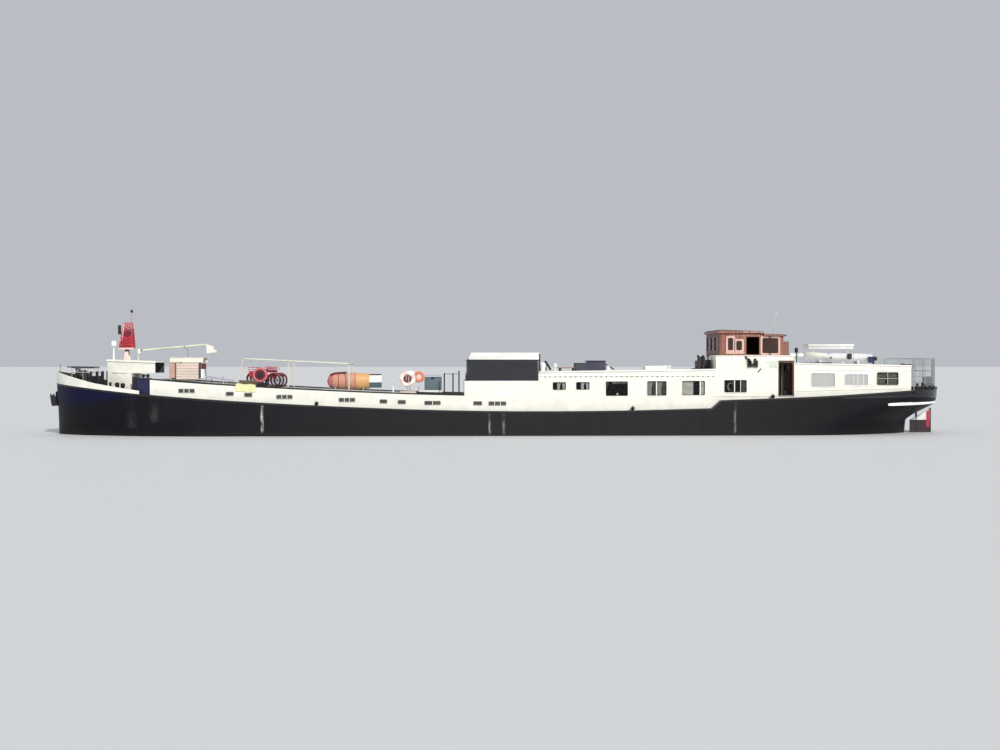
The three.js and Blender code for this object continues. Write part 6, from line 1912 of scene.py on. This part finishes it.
@dataclass
class TrunkGear:
    """Things on the trunk roof: bicycles, tube frame, orange boat, lifebuoys, locker, lounger, posts."""

    def make(self) -> None:
        """Makes the pieces."""
        self.make_bicycles()
        self.make_pergola()
        self.make_boat()
        self.make_lifebuoys()
        self.make_locker()
        self.make_small_things()

    def bicycle(self, piece: Piece, rear: float, front: float, y: float, paint: Finish) -> None:
        """Adds one bicycle between two wheel centres."""
        radius = 0.165
        zr, zf = (trunk_top(x) + radius + 0.0245 for x in (rear, front))
        for x, z in ((rear, zr), (front, zf)):
            piece.add(MAROON, ring((x, y, z), ABEAM, radius, 0.019, 36, 8))
            piece.add(
                DARK_RED, ring((x, y, z), ABEAM, radius - 0.018, 0.008, 36, 6),
                turned((x, y - 0.02, z), ABEAM, ((0, 0.012), (0.04, 0.012)), 10))
            for across_wheel, up in circle(14) * (radius - 0.014):
                piece.add(MAROON, bar((x, y, z), (x + across_wheel, y, z + up), 0.003, 4))
            arc = [
                (x + (radius + 0.022) * math.sin(a), y, z + (radius + 0.022) * math.cos(a))
                for a in np.linspace(-1.5, 1.1, 14)]
            piece.add(paint, tube(arc, 0.012, 6))
        crank, saddle = (rear + 0.215, y, zr - 0.025), (rear + 0.15, y, zr + 0.24)
        head, low_head = (front - 0.095, y, zf + 0.235), (front - 0.08, y, zf + 0.17)
        for a, b, r in (
            ((rear, y, zr), crank, 0.009), ((rear, y, zr), saddle, 0.008), (crank, saddle, 0.011),
            (crank, low_head, 0.012), (saddle, head, 0.011), ((front, y, zf), low_head, 0.01),
            (low_head, head, 0.013)
        ):
            piece.add(paint, bar(a, b, r))
        cx, _, cz = crank
        piece.add(
            BLACK, ring(crank, ABEAM, 0.035, 0.005, 20, 6),
            box((cx - 0.01, y - 0.03, cz - 0.075), (cx + 0.01, y - 0.02, cz)),
            box((cx - 0.03, y - 0.055, cz - 0.085), (cx + 0.03, y - 0.02, cz - 0.072)))
        hx, hz = head[0], head[2]
        grips = [
            (hx - 0.06, y - 0.12, hz + 0.06), (hx - 0.02, y - 0.1, hz + 0.075), (hx - 0.01, y, hz + 0.06),
            (hx - 0.02, y + 0.1, hz + 0.075), (hx - 0.06, y + 0.12, hz + 0.06)]
        piece.add(paint, tube((head, (hx - 0.01, y, hz + 0.06)), 0.01, 8), tube(grips, 0.01, 8))
        seat = np.array(((-0.06, 0.03), (-0.02, 0.032), (0.03, 0.014), (0.055, 0.008)))
        outline = np.concatenate((seat, seat[::-1] * (1, -1))) + (saddle[0], y)
        piece.add(DARK_RED, box((hx - 0.11, y - 0.1, hz - 0.03), (hx - 0.02, y + 0.1, hz + 0.03)))
        for level in (0.2, 0.25, 0.3):
            edge = rectangle(rear - 0.13, rear + 0.04, y - 0.08, y + 0.08, 0.03)
            piece.add(paint, tube([(u, v, zr + level) for u, v in edge], 0.008, 6, closed=True))
        piece.add(PINK, tube(
            [
                (hx + 0.12 * math.sin(a) - 0.05, y - 0.05, hz + 0.05 + 0.06 * math.cos(a))
                for a in np.linspace(-2, 2, 12)], 0.012, 6))
        piece.add(RED, box((rear - 0.1, y - 0.06, zr + 0.06), (rear + 0.06, y - 0.035, zr + 0.2)))
        piece.add(
            BLACK, prism("z", outline, saddle[2] + 0.004, saddle[2] + 0.026),
            bar((rear - 0.1, y, zr + 0.2), (rear + 0.14, y, zr + 0.2), 0.008, 6),
            bar((rear - 0.1, y, zr + 0.2), (rear, y, zr), 0.005, 6))

    def make_bicycles(self) -> None:
        """Makes the red bicycles on their rack, the thick pink ring beside them and its black foot."""
        piece = Piece("bicycles_red", slot="red_paint", replaces=("bicycles",))
        for k, (y, paint) in enumerate(((-0.56, RED), (-0.22, DARK_RED), (0.12, RED))):
            shift = k * 0.045 - 0.045
            self.bicycle(piece, -6.33 + shift, -5.81 + shift, y, paint)
        xs = np.linspace(-6.48, -5.7, 5)
        rack = ((-0.64, 0.002), (-0.64, 0.02), (0.2, 0.02), (0.2, 0.002))
        piece.add(TEAK, loft(carried(xs, trunk_top(xs), rack)))
        piece.add(PINK, ring((-6.191, -0.72, 2.128), ABEAM, 0.16, 0.032, 48, 12))
        piece.add(
            DARK_RED, turned((-6.191, -0.725, 2.128), ABEAM, ((0, 0.13), (0.01, 0.135), (0.02, 0.13)), 32))
        piece.add(
            MAROON, turned((-6.191, -0.735, 2.128), ABEAM, ((0, 0.07), (0.01, 0.075), (0.02, 0.07)), 24))
        z = trunk_top(-6.12) + 0.02
        piece.add(BLACK, box((-6.242, -0.78, z), (-5.995, -0.68, 1.93)))
        piece.build()

    def make_pergola(self) -> None:
        """Makes the pale tube frame over the bicycles, with its corner bends, clamps and feet."""
        piece = Piece("pergola_tubes", slot="white_paint", replaces=("pergola",))

        def top(x: float) -> float:
            return 2.545 - (x + 6.596) * 0.13 / 2.707

        for y in (-0.88, 0.52):
            piece.add(PERGOLA, tube(
                (
                    (-6.73, y, trunk_top(-6.73) + 0.004), (-6.605, y, top(-6.6) - 0.03),
                    (-6.585, y, top(-6.59) - 0.006), (-6.55, y, top(-6.55))), 0.014, 10))
            piece.add(PERGOLA, tube(
                (
                    (-6.56, y, top(-6.56)), (-3.93, y, top(-3.93)), (-3.915, y, top(-3.91) - 0.01),
                    (-3.912, y, top(-3.91) - 0.03)), 0.014, 10))
            for x in (-5.459, -3.912):
                piece.add(PERGOLA, bar((x, y, trunk_top(x) + 0.004), (x, y, top(x)), 0.0145, 10))
                piece.add(GREY, upright(
                    (x, y, top(x) - 0.03), ((0, 0.018), (0.002, 0.02), (0.03, 0.02), (0.032, 0.018)), 12))
            for x in (-6.73, -5.459, -3.912):
                piece.add(GREY, upright(
                    (x, y, trunk_top(x) + 0.001),
                    ((0, 0.038), (0.008, 0.038), (0.012, 0.02), (0.04, 0.018)), 14))
        for x in (-6.57, -5.459, -3.93):
            piece.add(PERGOLA, bar((x, -0.88, top(x)), (x, 0.52, top(x)), 0.012, 10))
        piece.build()

    def make_boat(self) -> None:
        """Makes the orange boat on its chocks: a lofted hull in three colours, with lashings."""
        piece = Piece("orange_boat", slot="orange_plastic", replaces=("deck_boat",))
        y, z = -0.43, 1.966
        table = np.array((
            (-4.5, 0.02, 0.02), (-4.49, 0.06, 0.05), (-4.47, 0.11, 0.1), (-4.44, 0.15, 0.15),
            (-4.3, 0.2, 0.2), (-4.0, 0.218, 0.22), (-3.7, 0.212, 0.216), (-3.41, 0.183, 0.19)))
        xs = np.concatenate(((-4.5, -4.49, -4.47), np.linspace(-4.44, -3.41, 40)))
        wide, tall = (np.interp(xs, table[:, 0], table[:, k]) for k in (1, 2))
        unit = circle(32)
        rounded = np.sign(unit) * np.abs(unit) ** 0.85
        rows = np.stack([
            np.column_stack((np.full(32, x), y + w * rounded[:, 0], z + h * rounded[:, 1]))
            for x, w, h in zip(xs, wide, tall)])
        for low, high, finish in ((-5, -4.36, PINK), (-4.39, -3.75, ORANGE), (-3.78, -3.4, YELLOW)):
            piece.add(finish, loft(rows[(xs >= low) & (xs <= high)]))
        for x in (-4.2, -3.95, -3.76):
            w, h = (float(np.interp(x, table[:, 0], table[:, k])) + 0.002 for k in (1, 2))
            loop = np.column_stack((np.full(32, x), y + w * rounded[:, 0], z + h * rounded[:, 1]))
            piece.add(DARK_RED if x < -4 else GREY, tube(loop, 0.006, 6, closed=True))
        keel = [
            (x, y, z + float(np.interp(x, table[:, 0], table[:, 2])) + 0.002)
            for x in np.linspace(-4.42, -4.0, 9)]
        piece.add(
            DARK_RED, tube(keel, 0.028, 8), tube([(x, y - 0.1, z - 0.02) for x, y, z in keel], 0.022, 8))
        piece.add(BLACK, box((-3.4, -0.53, 2.12), (-3.11, -0.33, 2.15)))
        piece.add(WHITE, prism(
            "z", ((-3.415, y - 0.17), (-3.09, y - 0.105), (-3.09, y + 0.105), (-3.415, y + 0.17)), 1.937,
            2.12))
        piece.add(PALE_TEAL, prism(
            "z", ((-3.41, y - 0.15), (-3.1, y - 0.09), (-3.1, y + 0.09), (-3.41, y + 0.15)), 1.8, 1.94))
        for x in (-4.28, -3.56):
            low = trunk_top(x) + 0.001
            piece.add(GREY, prism(
                "x",
                (
                    (-0.61, low), (-0.25, low), (-0.28, 1.86), (-0.35, 1.81), (-0.43, 1.79), (-0.51, 1.81),
                    (-0.58, 1.86)), x - 0.015, x + 0.015))
        piece.build()

    def make_lifebuoys(self) -> None:
        """Makes the lifebuoys on their stand: pale outer ones with a dark disc, and an orange one."""
        piece = Piece("lifebuoys", slot="orange_plastic", replaces=("lifebuoy_rail",))
        x = -2.41
        foot = trunk_top(x)
        piece.add(GREY, box((x - 0.03, -1.26, foot + 0.001), (x + 0.03, 1.26, foot + 0.0225)))
        for side in BOTH:
            y = side.value * 1.18
            piece.add(GREY, box((x - 0.012, y - 0.012, foot + 0.01), (x + 0.012, y + 0.012, foot + 0.23)))
            self.buoy(piece, (x, y * 1.02, foot + 0.39), 0.15, 0.048, (PALE_PINK, CREAM))
            piece.add(
                DOOR_BROWN, turned((x, y * 1.02 - 0.01, foot + 0.39), ABEAM, ((0, 0.1), (0.02, 0.1)), 24))
            for dx, dz in ((-0.04, 0.03), (0.03, 0.05), (0.02, -0.04)):
                piece.add(PALE_PINK, bar(
                    (x + dx, side.value * 1.215, foot + 0.33 + dz),
                    (x + dx + 0.02, side.value * 1.215, foot + 0.45 + dz), 0.008, 6))
        self.buoy(piece, (-2.121, -0.93, 2.085), 0.106, 0.038, (BRIGHT_ORANGE, BRIGHT_ORANGE))
        piece.add(PALE_PINK, turned((-2.121, -0.94, 2.085), ABEAM, ((0, 0.066), (0.02, 0.066)), 20))
        piece.add(GREY, box((-2.14, -0.95, foot), (-2.12, -0.91, foot + 0.22)))
        piece.build(60)

    def buoy(
        self, piece: Piece, centre: Point, radius: float, thick: float, finishes: tuple[Finish, Finish]
    ) -> None:
        """Adds one lifebuoy with eight bands and a grab line."""
        turn = np.linspace(0, 2 * math.pi, 65)[:-1]
        section = circle(14)
        spokes = np.stack((np.cos(turn), np.zeros(64), np.sin(turn)), -1)
        rows = (
            np.array(centre) + spokes[:, None] * (radius + thick * section[None, :, :1])
            + np.array(ABEAM) * (thick * 0.8 * section[None, :, 1:]))
        for k in range(8):
            piece.add(finishes[k % 2], grid(rows[np.arange(k * 8, k * 8 + 9) % 64], around=True))
        line = np.array(centre) + spokes * (
            radius + thick * (1.02 + 0.2 * np.abs(np.sin(turn * 2)))[:, None])
        piece.add(WHITE, tube(line, 0.004, 6, closed=True))

    def make_locker(self) -> None:
        """Makes the grey locker on its white plinth, with ribs, lid, latch and the posts beside it."""
        piece = Piece("deck_locker_ribbed", slot="grey_plastic", replaces=("deck_locker",), bevel=0.006)
        low = trunk_top(-1.54)
        piece.add(WHITE, box((-2.16, -0.9, low - 0.004), (-1.54, -0.42, 1.74)))
        piece.add(LOCKER, box((-1.985, -0.872, 1.74), (-1.545, -0.448, 2.09)))
        for x in np.arange(-1.96, -1.56, 0.055):
            piece.add(LOCKER, box((x, -0.88, 1.76), (x + 0.03, -0.44, 2.07)))
        piece.add(LAVENDER, prism(
            "x", ((-0.895, 2.08), (-0.425, 2.08), (-0.43, 2.125), (-0.66, 2.13), (-0.89, 2.112)), -2.0,
            -1.53))
        piece.add(BLACK, box((-1.8, -0.9, 2.03), (-1.73, -0.88, 2.08)))
        for x in (-1.476, -1.256, -1.104):
            piece.add(BLACK, bar((x, -1.2, low - 0.01), (x, -1.2, 2.18 if x < -1.2 else 2.24), 0.017))
        piece.add(BLACK, bar((-1.476, -1.2, 2.16), (-1.104, -1.2, 2.16), 0.007))
        piece.add(GREY, box((-1.56, -1.215, low - 0.004), (-1.24, -1.185, low + 0.026)))
        piece.build()

    def make_small_things(self) -> None:
        """Makes the lounger, the coaming cloth, the rolled mat, the grey strip and the short posts."""
        lounger = Piece("sun_lounger", slot="grey_plastic")
        for k in range(9):
            x, z = -7.58 + 0.078 * k, 2.105 - 0.013 * k
            lounger.add(LAVENDER, box((x, -0.9, z - 0.022), (x + 0.06, -0.5, z)))
        for y in (-0.89, -0.52):
            lounger.add(LAVENDER, bar((-7.585, y, 2.09), (-6.885, y, 1.975), 0.013))
            for x in (-7.45, -7.0):
                lounger.add(
                    GREY, bar((x, y, 2.06 - (x + 7.585) * 0.16), (x, y, trunk_top(x) + 0.004), 0.011))
        lounger.build()
        posts = Piece("trunk_posts", slot="black_paint")
        x = -7.089
        posts.add(LIGHT_GREY, upright(
            (x, -0.95, trunk_top(x)),
            ((0, 0.035), (0.01, 0.035), (0.015, 0.014), (0.2, 0.014), (0.22, 0.02), (0.225, 0.006)), 12))
        posts.add(WHITE, upright(
            (-2.78, -1.0, trunk_top(-2.78)),
            ((0, 0.03), (0.01, 0.03), (0.015, 0.02), (0.16, 0.02), (0.18, 0.008)), 12))
        ends = np.array((-4.6, -3.6, -2.65))
        strip = ((-1.0, 0.004), (-1.0, 0.05), (-0.9, 0.05), (-0.9, 0.004))
        posts.add(LIGHT_GREY, loft(carried(ends, trunk_top(ends), strip)))
        low = trunk_top(-2.2) + 0.035
        posts.add(SEAT_CREAM, box((-2.6, -1.3, low), (-2.2, -1.2, 1.72)))
        posts.build()
        share, over = np.linspace(0, 1, 33)[:, None], np.linspace(0, 1, 21)[None, :]
        x = -6.72 + 0.5 * share + 0 * over
        flat_part, down = np.clip(over / 0.55, 0, 1), np.clip((over - 0.55) / 0.45, 0, 1)
        y = -1.05 - 0.285 * flat_part - 0.006 * np.sin(share * 17) * down
        z = trunk_top(x) + 0.046 + 0.03 * np.sin(flat_part * math.pi) * (
            0.7 + 0.3 * np.sin(share * 11)) - 0.17 * down
        cloth("coaming_cover", YELLOW_CLOTH, np.stack((x, y, z), -1), 0.004)
        roll = Piece("rolled_mat", slot="canvas")
        z = trunk_top(-6.4) + 0.12
        roll.add(BROWN_CLOTH, turned(
            (-6.66, -1.18, z + 0.01), (1, 0, -0.03),
            ((0, 0.03), (0.004, 0.042), (0.24, 0.046), (0.47, 0.042), (0.48, 0.03)), 24))
        made = roll.build(50)


@dataclass
class RoofGear:
    """Things on the deckhouse and aft cabin roofs, the aft deck and the rudder."""

    def make(self) -> None:
        """Makes the pieces."""
        self.make_house_roof()
        self.make_cabin_roof()
        self.make_dinghy()
        self.make_aft()
        self.make_rudder()

    def make_house_roof(self) -> None:
        """Makes the bench, the two chests, the dome, the vents and the items before the wheelhouse, whose
        dark maroon is partly painted shade.
        """
        chest = Piece("roof_chests", slot="navy_paint", replaces=("roof_chest",), bevel=0.004)
        for y in np.linspace(-1.0, -0.62, 5):
            chest.add(TEAK, box((1.45, y, 2.3), (1.88, y + 0.06, 2.322)))
        chest.add(BROWN_WOOD, box((1.452, -1.01, 2.302), (1.878, -1.001, 2.316)))
        for x in (1.48, 1.82):
            for y in (-0.99, -0.6):
                chest.add(DARK_GREY, box((x, y, house_roof(x) + 0.001), (x + 0.04, y + 0.03, 2.3)))

        def taper(
            x0: float, x1: float, z0: float, z1: float, top: tuple[float, float], out: float = 0.0
        ) -> Shape:
            ends = ((-1.01 - out, z0), (-0.42 + out, z0), (top[1] + out, z1), (top[0] - out, z1))
            return prism("x", ends, x0, x1)

        foot = house_roof(1.9) + 0.001
        chest.add(TEAL, taper(1.88, 2.19, foot, 2.42, (-0.99, -0.43)))
        for x in np.arange(1.9, 2.16, 0.06):
            chest.add(TEAL, taper(x, x + 0.03, foot + 0.02, 2.4, (-0.992, -0.428), 0.006))
        chest.add(DARK_GREY, box((1.875, -1.0, 2.42), (2.185, -0.43, 2.44)))
        foot = house_roof(2.2) + 0.001
        chest.add(LOUNGE_EDGE, taper(2.19, 2.65, foot, 2.47, (-0.98, -0.43)))
        chest.add(LOUNGE_DARK, box((2.18, -1.0, 2.47), (2.66, -0.42, 2.5)))
        chest.add(DARK_RED, bar((2.66, -0.7, 2.42), (2.9, -0.7, house_roof(2.9) + 0.02), 0.02))
        foot = house_roof(2.74)
        chest.add(WHITE, upright(
            (2.74, -0.7, foot),
            ((0, 0.07), (0.015, 0.07), (0.02, 0.06), (0.08, 0.055), (0.115, 0.035), (0.125, 0.01)), 20))
        chest.build()
        piece = Piece("house_roof_items", slot="black_paint")
        piece.add(
            BLACK, bar((1.12, -0.665, 2.49), (1.27, -0.665, house_roof(1.27) + 0.03), 0.028),
            bar((1.15, -0.665, house_roof(1.15)), (1.15, -0.665, 2.44), 0.01))
        piece.add(WHITE, upright(
            (1.05, -0.73, house_roof(1.05)),
            (
                (0, 0.07), (0.03, 0.06), (0.08, 0.07), (0.14, 0.092), (0.19, 0.085), (0.22, 0.05),
                (0.23, 0.015)), 20))
        piece.add(WHITE, upright(
            (1.375, -0.8, house_roof(1.375)),
            ((0, 0.03), (0.08, 0.02), (0.1, 0.045), (0.17, 0.045), (0.2, 0.015)), 16))
        z = house_roof(5.1) + 0.001
        # partly painted shade: the dark maroon blocks also stand for the shade on the base's front
        for x0, x1, y0, y1, top, finish in (
            (4.99, 5.1, -0.9, -0.75, 2.5, MAROON), (5.11, 5.24, -0.85, -0.6, 2.6, MAROON),
            (5.25, 5.39, -0.85, -0.55, 2.52, MAROON), (4.95, 5.39, -0.92, -0.5, 2.3, BLACK)
        ):
            piece.add(finish, prism("y", rectangle(x0, x1, z, top, 0.02), y0, y1))
        for x in (5.05, 5.18, 5.31):
            piece.add(BLACK, upright(
                (x, -0.88, z),
                ((0, 0.04), (0.05, 0.035), (0.12, 0.018), (0.3, 0.016), (0.33, 0.035), (0.36, 0.012)), 12))
        piece.build()

    def make_cabin_roof(self) -> None:
        """Makes the thin rail and black cap on the aft cabin roof, the panel's black top and the lamps."""
        rail = Piece("cabin_roof_rail", slot="white_paint")
        for side in BOTH:
            y = side.value * 1.2
            rail.add(GREY_GREEN, bar((9.008, y, 2.692), (10.301, y, 2.59), 0.006))
            for x in (9.01, 9.65, 10.295):
                rail.add(
                    GREY_GREEN, bar((x, y, cabin_roof(x)), (x, y, 2.692 - (x - 9.008) * 0.0789), 0.006))
        rail.add(
            BLACK, upright((10.303, -1.1, cabin_roof(10.3)), ((0, 0.05), (0.03, 0.055), (0.04, 0.03)), 14))
        rail.build()
        panel = Piece("panel_top", slot="black_paint")
        panel.add(BLACK, box((8.225, 0.325, 2.9405), (9.435, 0.905, 2.944)))
        for x in np.arange(8.36, 9.4, 0.14):
            panel.add(GREY, box((x, 0.33, 2.9442), (x + 0.006, 0.9, 2.945)))
        panel.build()
        lamps = Piece("twin_lamps", slot="white_paint")
        x = 7.672
        lamps.add(
            BLACK, bar((x, -0.6, cabin_roof(x)), (x, -0.6, 2.8), 0.014),
            upright((x, -0.6, 2.705), ((0, 0.03), (0.02, 0.045), (0.1, 0.045), (0.13, 0.02)), 14))
        for end in (-1, 1):
            lamps.add(WHITE, turned(
                (x + end * 0.02, -0.62, 2.64), (end, 0, 0.02),
                ((0, 0.03), (0.02, 0.045), (0.12, 0.052), (0.15, 0.04)), 16))
        lamps.build()

    def make_dinghy(self) -> None:
        """Makes the dinghy's cream bow, rubbing strip, dark spots, thwart, a black strip painted as the
        shadow under it, and the outboard's cover.
        """
        piece = Piece("dinghy_trim", slot="white_gelcoat")
        base = cabin_roof(9.7) + 0.006
        rows = []
        for x, wide, top in (
            (7.99, 0.045, 0.33), (8.088, 0.153, 0.32), (8.294, 0.253, 0.3), (8.52, 0.285, 0.288)
        ):
            rows.append([
                (x, -0.25 - wide - 0.002, base + top), (x, -0.25 - wide * 0.96 - 0.003, base + top - 0.09),
                (x, -0.25 - wide * 0.96 + 0.003, base + top - 0.09), (x, -0.25 - wide + 0.004, base + top)])
        piece.add(CREAM, loft(np.array(rows)))
        piece.add(LAVENDER, box((8.885, -0.53, 2.607), (9.015, 0.03, 2.619)))
        piece.add(LAVENDER, bar((8.5, -0.545, base + 0.29), (9.69, -0.5, base + 0.275), 0.012))
        # painted shadow: the last black box, on the roof at the dinghy's foot, stands for the shadow gap
        # under it
        piece.add(
            BLACK, turned((8.596, -0.56, 2.57), ABEAM, ((0, 0.02), (0.03, 0.025)), 14),
            prism("y", rectangle(9.02, 9.137, 2.53, 2.68, 0.03), -0.575, -0.55),
            box((7.8, -0.56, base + 0.012), (8.62, -0.52, base + 0.05)))
        piece.add(NAVY, prism("y", rectangle(9.578, 9.7, 2.44, 2.6, 0.02), -0.55, -0.5))
        piece.build()
        cover = Piece("outboard_cover", body="outboard", slot="navy_paint")
        outline = ((9.8, 2.6075), (9.862, 2.5985), (9.8905, 2.5475), (9.8765, 2.499), (9.8, 2.499))
        cover.add(GLOSS_BLACK, prism("y", outline, -0.306, -0.3045))
        cover.build()

    def make_aft(self) -> None:
        """Makes the thin bars of the aft rail, the gear and bollards on the aft deck and the dark hose."""
        gear = Piece("aft_deck_gear", slot="black_paint")
        corners = np.array(((10.39, 1.262), (10.56, 1.25), (10.9, 1.06), (11.18, 0.78), (11.36, 0.44)))
        length = np.concatenate(((0,), np.cumsum(np.linalg.norm(np.diff(corners, axis=0), axis=1))))
        for at in np.linspace(0.05, length[-1] - 0.03, 26):
            x, y = (float(np.interp(at, length, corners[:, k])) for k in (0, 1))
            gear.both(GREY, bar((x, -y, deck(x)), (x, -y, 2.54), 0.004, 5))
        for z in (1.93, 2.08, 2.39):
            gear.both(GREY, tube([(x, -y, z) for x, y in corners], 0.005, 6))
        for side in BOTH:
            for x, y in ((10.62, 1.31), (10.78, 1.24)):
                gear.add(BLACK, ring(
                    (x + 0.3, side.value * (y - 0.25), deck(x) + 0.045), (0, 0.3, 1), 0.08, 0.035, 20, 8))
                gear.add(BLACK, upright(
                    (x, side.value * y, deck(x)),
                    ((0, 0.05), (0.015, 0.05), (0.02, 0.032), (0.14, 0.032), (0.15, 0.045), (0.17, 0.035)),
                    14))
        gear.add(LOCKER, prism("y", rectangle(10.94, 11.13, 1.8, 2.09, 0.04), -0.86, -0.74))
        gear.add(BLACK, bar((11.318, -0.4, deck(11.318)), (11.318, -0.4, 2.225), 0.016))
        gear.add(
            BLACK,
            tube([(10.459 + 0.16 * t, -1.2, 2.394 - 0.178 * t**2) for t in np.linspace(0, 1, 9)], 0.01, 8))
        gear.build()

    def make_rudder(self) -> None:
        """Makes the rudder: dark below, pale above, with its red strip, stock, heel and strap."""
        piece = Piece("rudder_blade", body="rudder", slot="white_paint", replaces=("rudder",), bevel=0.004)
        piece.add(MAROON, prism(
            "y", ((10.852, 0.09), (11.4, 0.09), (11.4, 0.93), (10.858, 0.93), (10.852, 0.925)), -0.022,
            0.022))
        piece.add(WHITE, prism(
            "y", ((10.87, 0.93), (11.4, 0.93), (11.4, 1.215), (11.23, 1.12), (10.96, 0.985)), -0.022,
            0.022))
        piece.add(
            RED,
            prism("y", ((11.286, 0.74), (11.377, 0.74), (11.377, 1.2), (11.286, 1.15)), -0.0235, 0.0235))
        piece.add(PALE_PINK, prism("y", ((11.2, 0.94), (11.28, 0.94), (11.28, 1.13)), -0.0232, 0.0232))
        piece.add(
            BLACK, bar((11.02, 0, 0.07), (11.02, 0, 1.322), 0.026, 16),
            bar((11.02, 0, 0.0605), (11.02, 0, 0.1), 0.04, 20),
            box((11.38, -0.03, 0.6), (11.412, 0.03, 1.25)))
        piece.build()


class View:
    """Camera, lights and floor."""

    CAMERA: Point = (-1.335, -37.45, 2.478)
    TARGET: Point = (-0.02, 0.0, 2.12)
    LENS: float = 51.4
    SENSOR_WIDTH: float = 36.0
    FAR_CLIP: float = 900.0
    FLOOR_SIZE: float = 450.0
    SUN_POWER: float = 2.6
    SUN_ANGLE: float = math.radians(5)
    SUN_COLOUR: Colour = (1.0, 0.97, 0.92)
    SUN_HEADING: Point = (-0.4, 1.0, -0.65)
    SKY_COLOUR: Colour = (0.82, 0.86, 0.92)
    SKY_POWER: float = 0.6

    def make(self) -> None:
        """Makes the camera, the lights and the floor at the waterline."""
        self.make_camera()
        self.make_floor()
        self.make_lights()

    def make_camera(self) -> None:
        """Makes the camera at the photograph's viewing angle."""
        lens = bpy.data.cameras.new("camera")
        lens.lens = self.LENS
        lens.sensor_width = self.SENSOR_WIDTH
        lens.clip_end = self.FAR_CLIP
        camera = bpy.data.objects.new("camera", lens)
        camera.location = self.CAMERA
        camera.rotation_euler = (
            Vector(self.TARGET) - Vector(self.CAMERA)).to_track_quat("-Z", "Y").to_euler()
        bpy.context.scene.collection.objects.link(camera)
        bpy.context.scene.camera = camera

    def make_floor(self) -> None:
        """Makes the plain pale floor."""
        mesh = bpy.data.meshes.new("floor")
        size = self.FLOOR_SIZE
        corners = [(x, y, WATER_Z) for x, y in rectangle(-size, size, -size, size)]
        mesh.from_pydata(corners, [], [(0, 1, 2, 3)])
        mesh.materials.append(Finish("floor", (0.72, 0.73, 0.74), 0.6).material())
        floor = bpy.data.objects.new("floor", mesh)
        bpy.context.scene.collection.objects.link(floor)

    def make_lights(self) -> None:
        """Makes the sun, from the stern's port side, and a pale sky."""
        sun = bpy.data.lights.new("key", "SUN")
        sun.energy = self.SUN_POWER
        sun.angle = self.SUN_ANGLE
        sun.color = self.SUN_COLOUR
        key = bpy.data.objects.new("key", sun)
        key.rotation_euler = Vector(self.SUN_HEADING).to_track_quat("-Z", "Y").to_euler()
        bpy.context.scene.collection.objects.link(key)
        world = bpy.data.worlds.new("sky")
        world.use_nodes = True
        background = world.node_tree.nodes["Background"]
        background.inputs["Color"].default_value = (*self.SKY_COLOUR, 1.0)
        background.inputs["Strength"].default_value = self.SKY_POWER
        bpy.context.scene.world = world
        bpy.context.scene.view_settings.view_transform = "Standard"
        bpy.context.scene.view_settings.look = "None"


def main() -> None:
    """Makes the whole visual model."""
    logging.basicConfig(level=logging.INFO, format="%(message)s")
    View().make()
    dress_nodes()
    for part in (
        HullShell(), Trunk(), Deckhouse(), Wheelhouse(), Foredeck(), DeckSeat(), TrunkGear(), RoofGear()
    ):
        part.make()


if __name__ == "__main__":
    main()
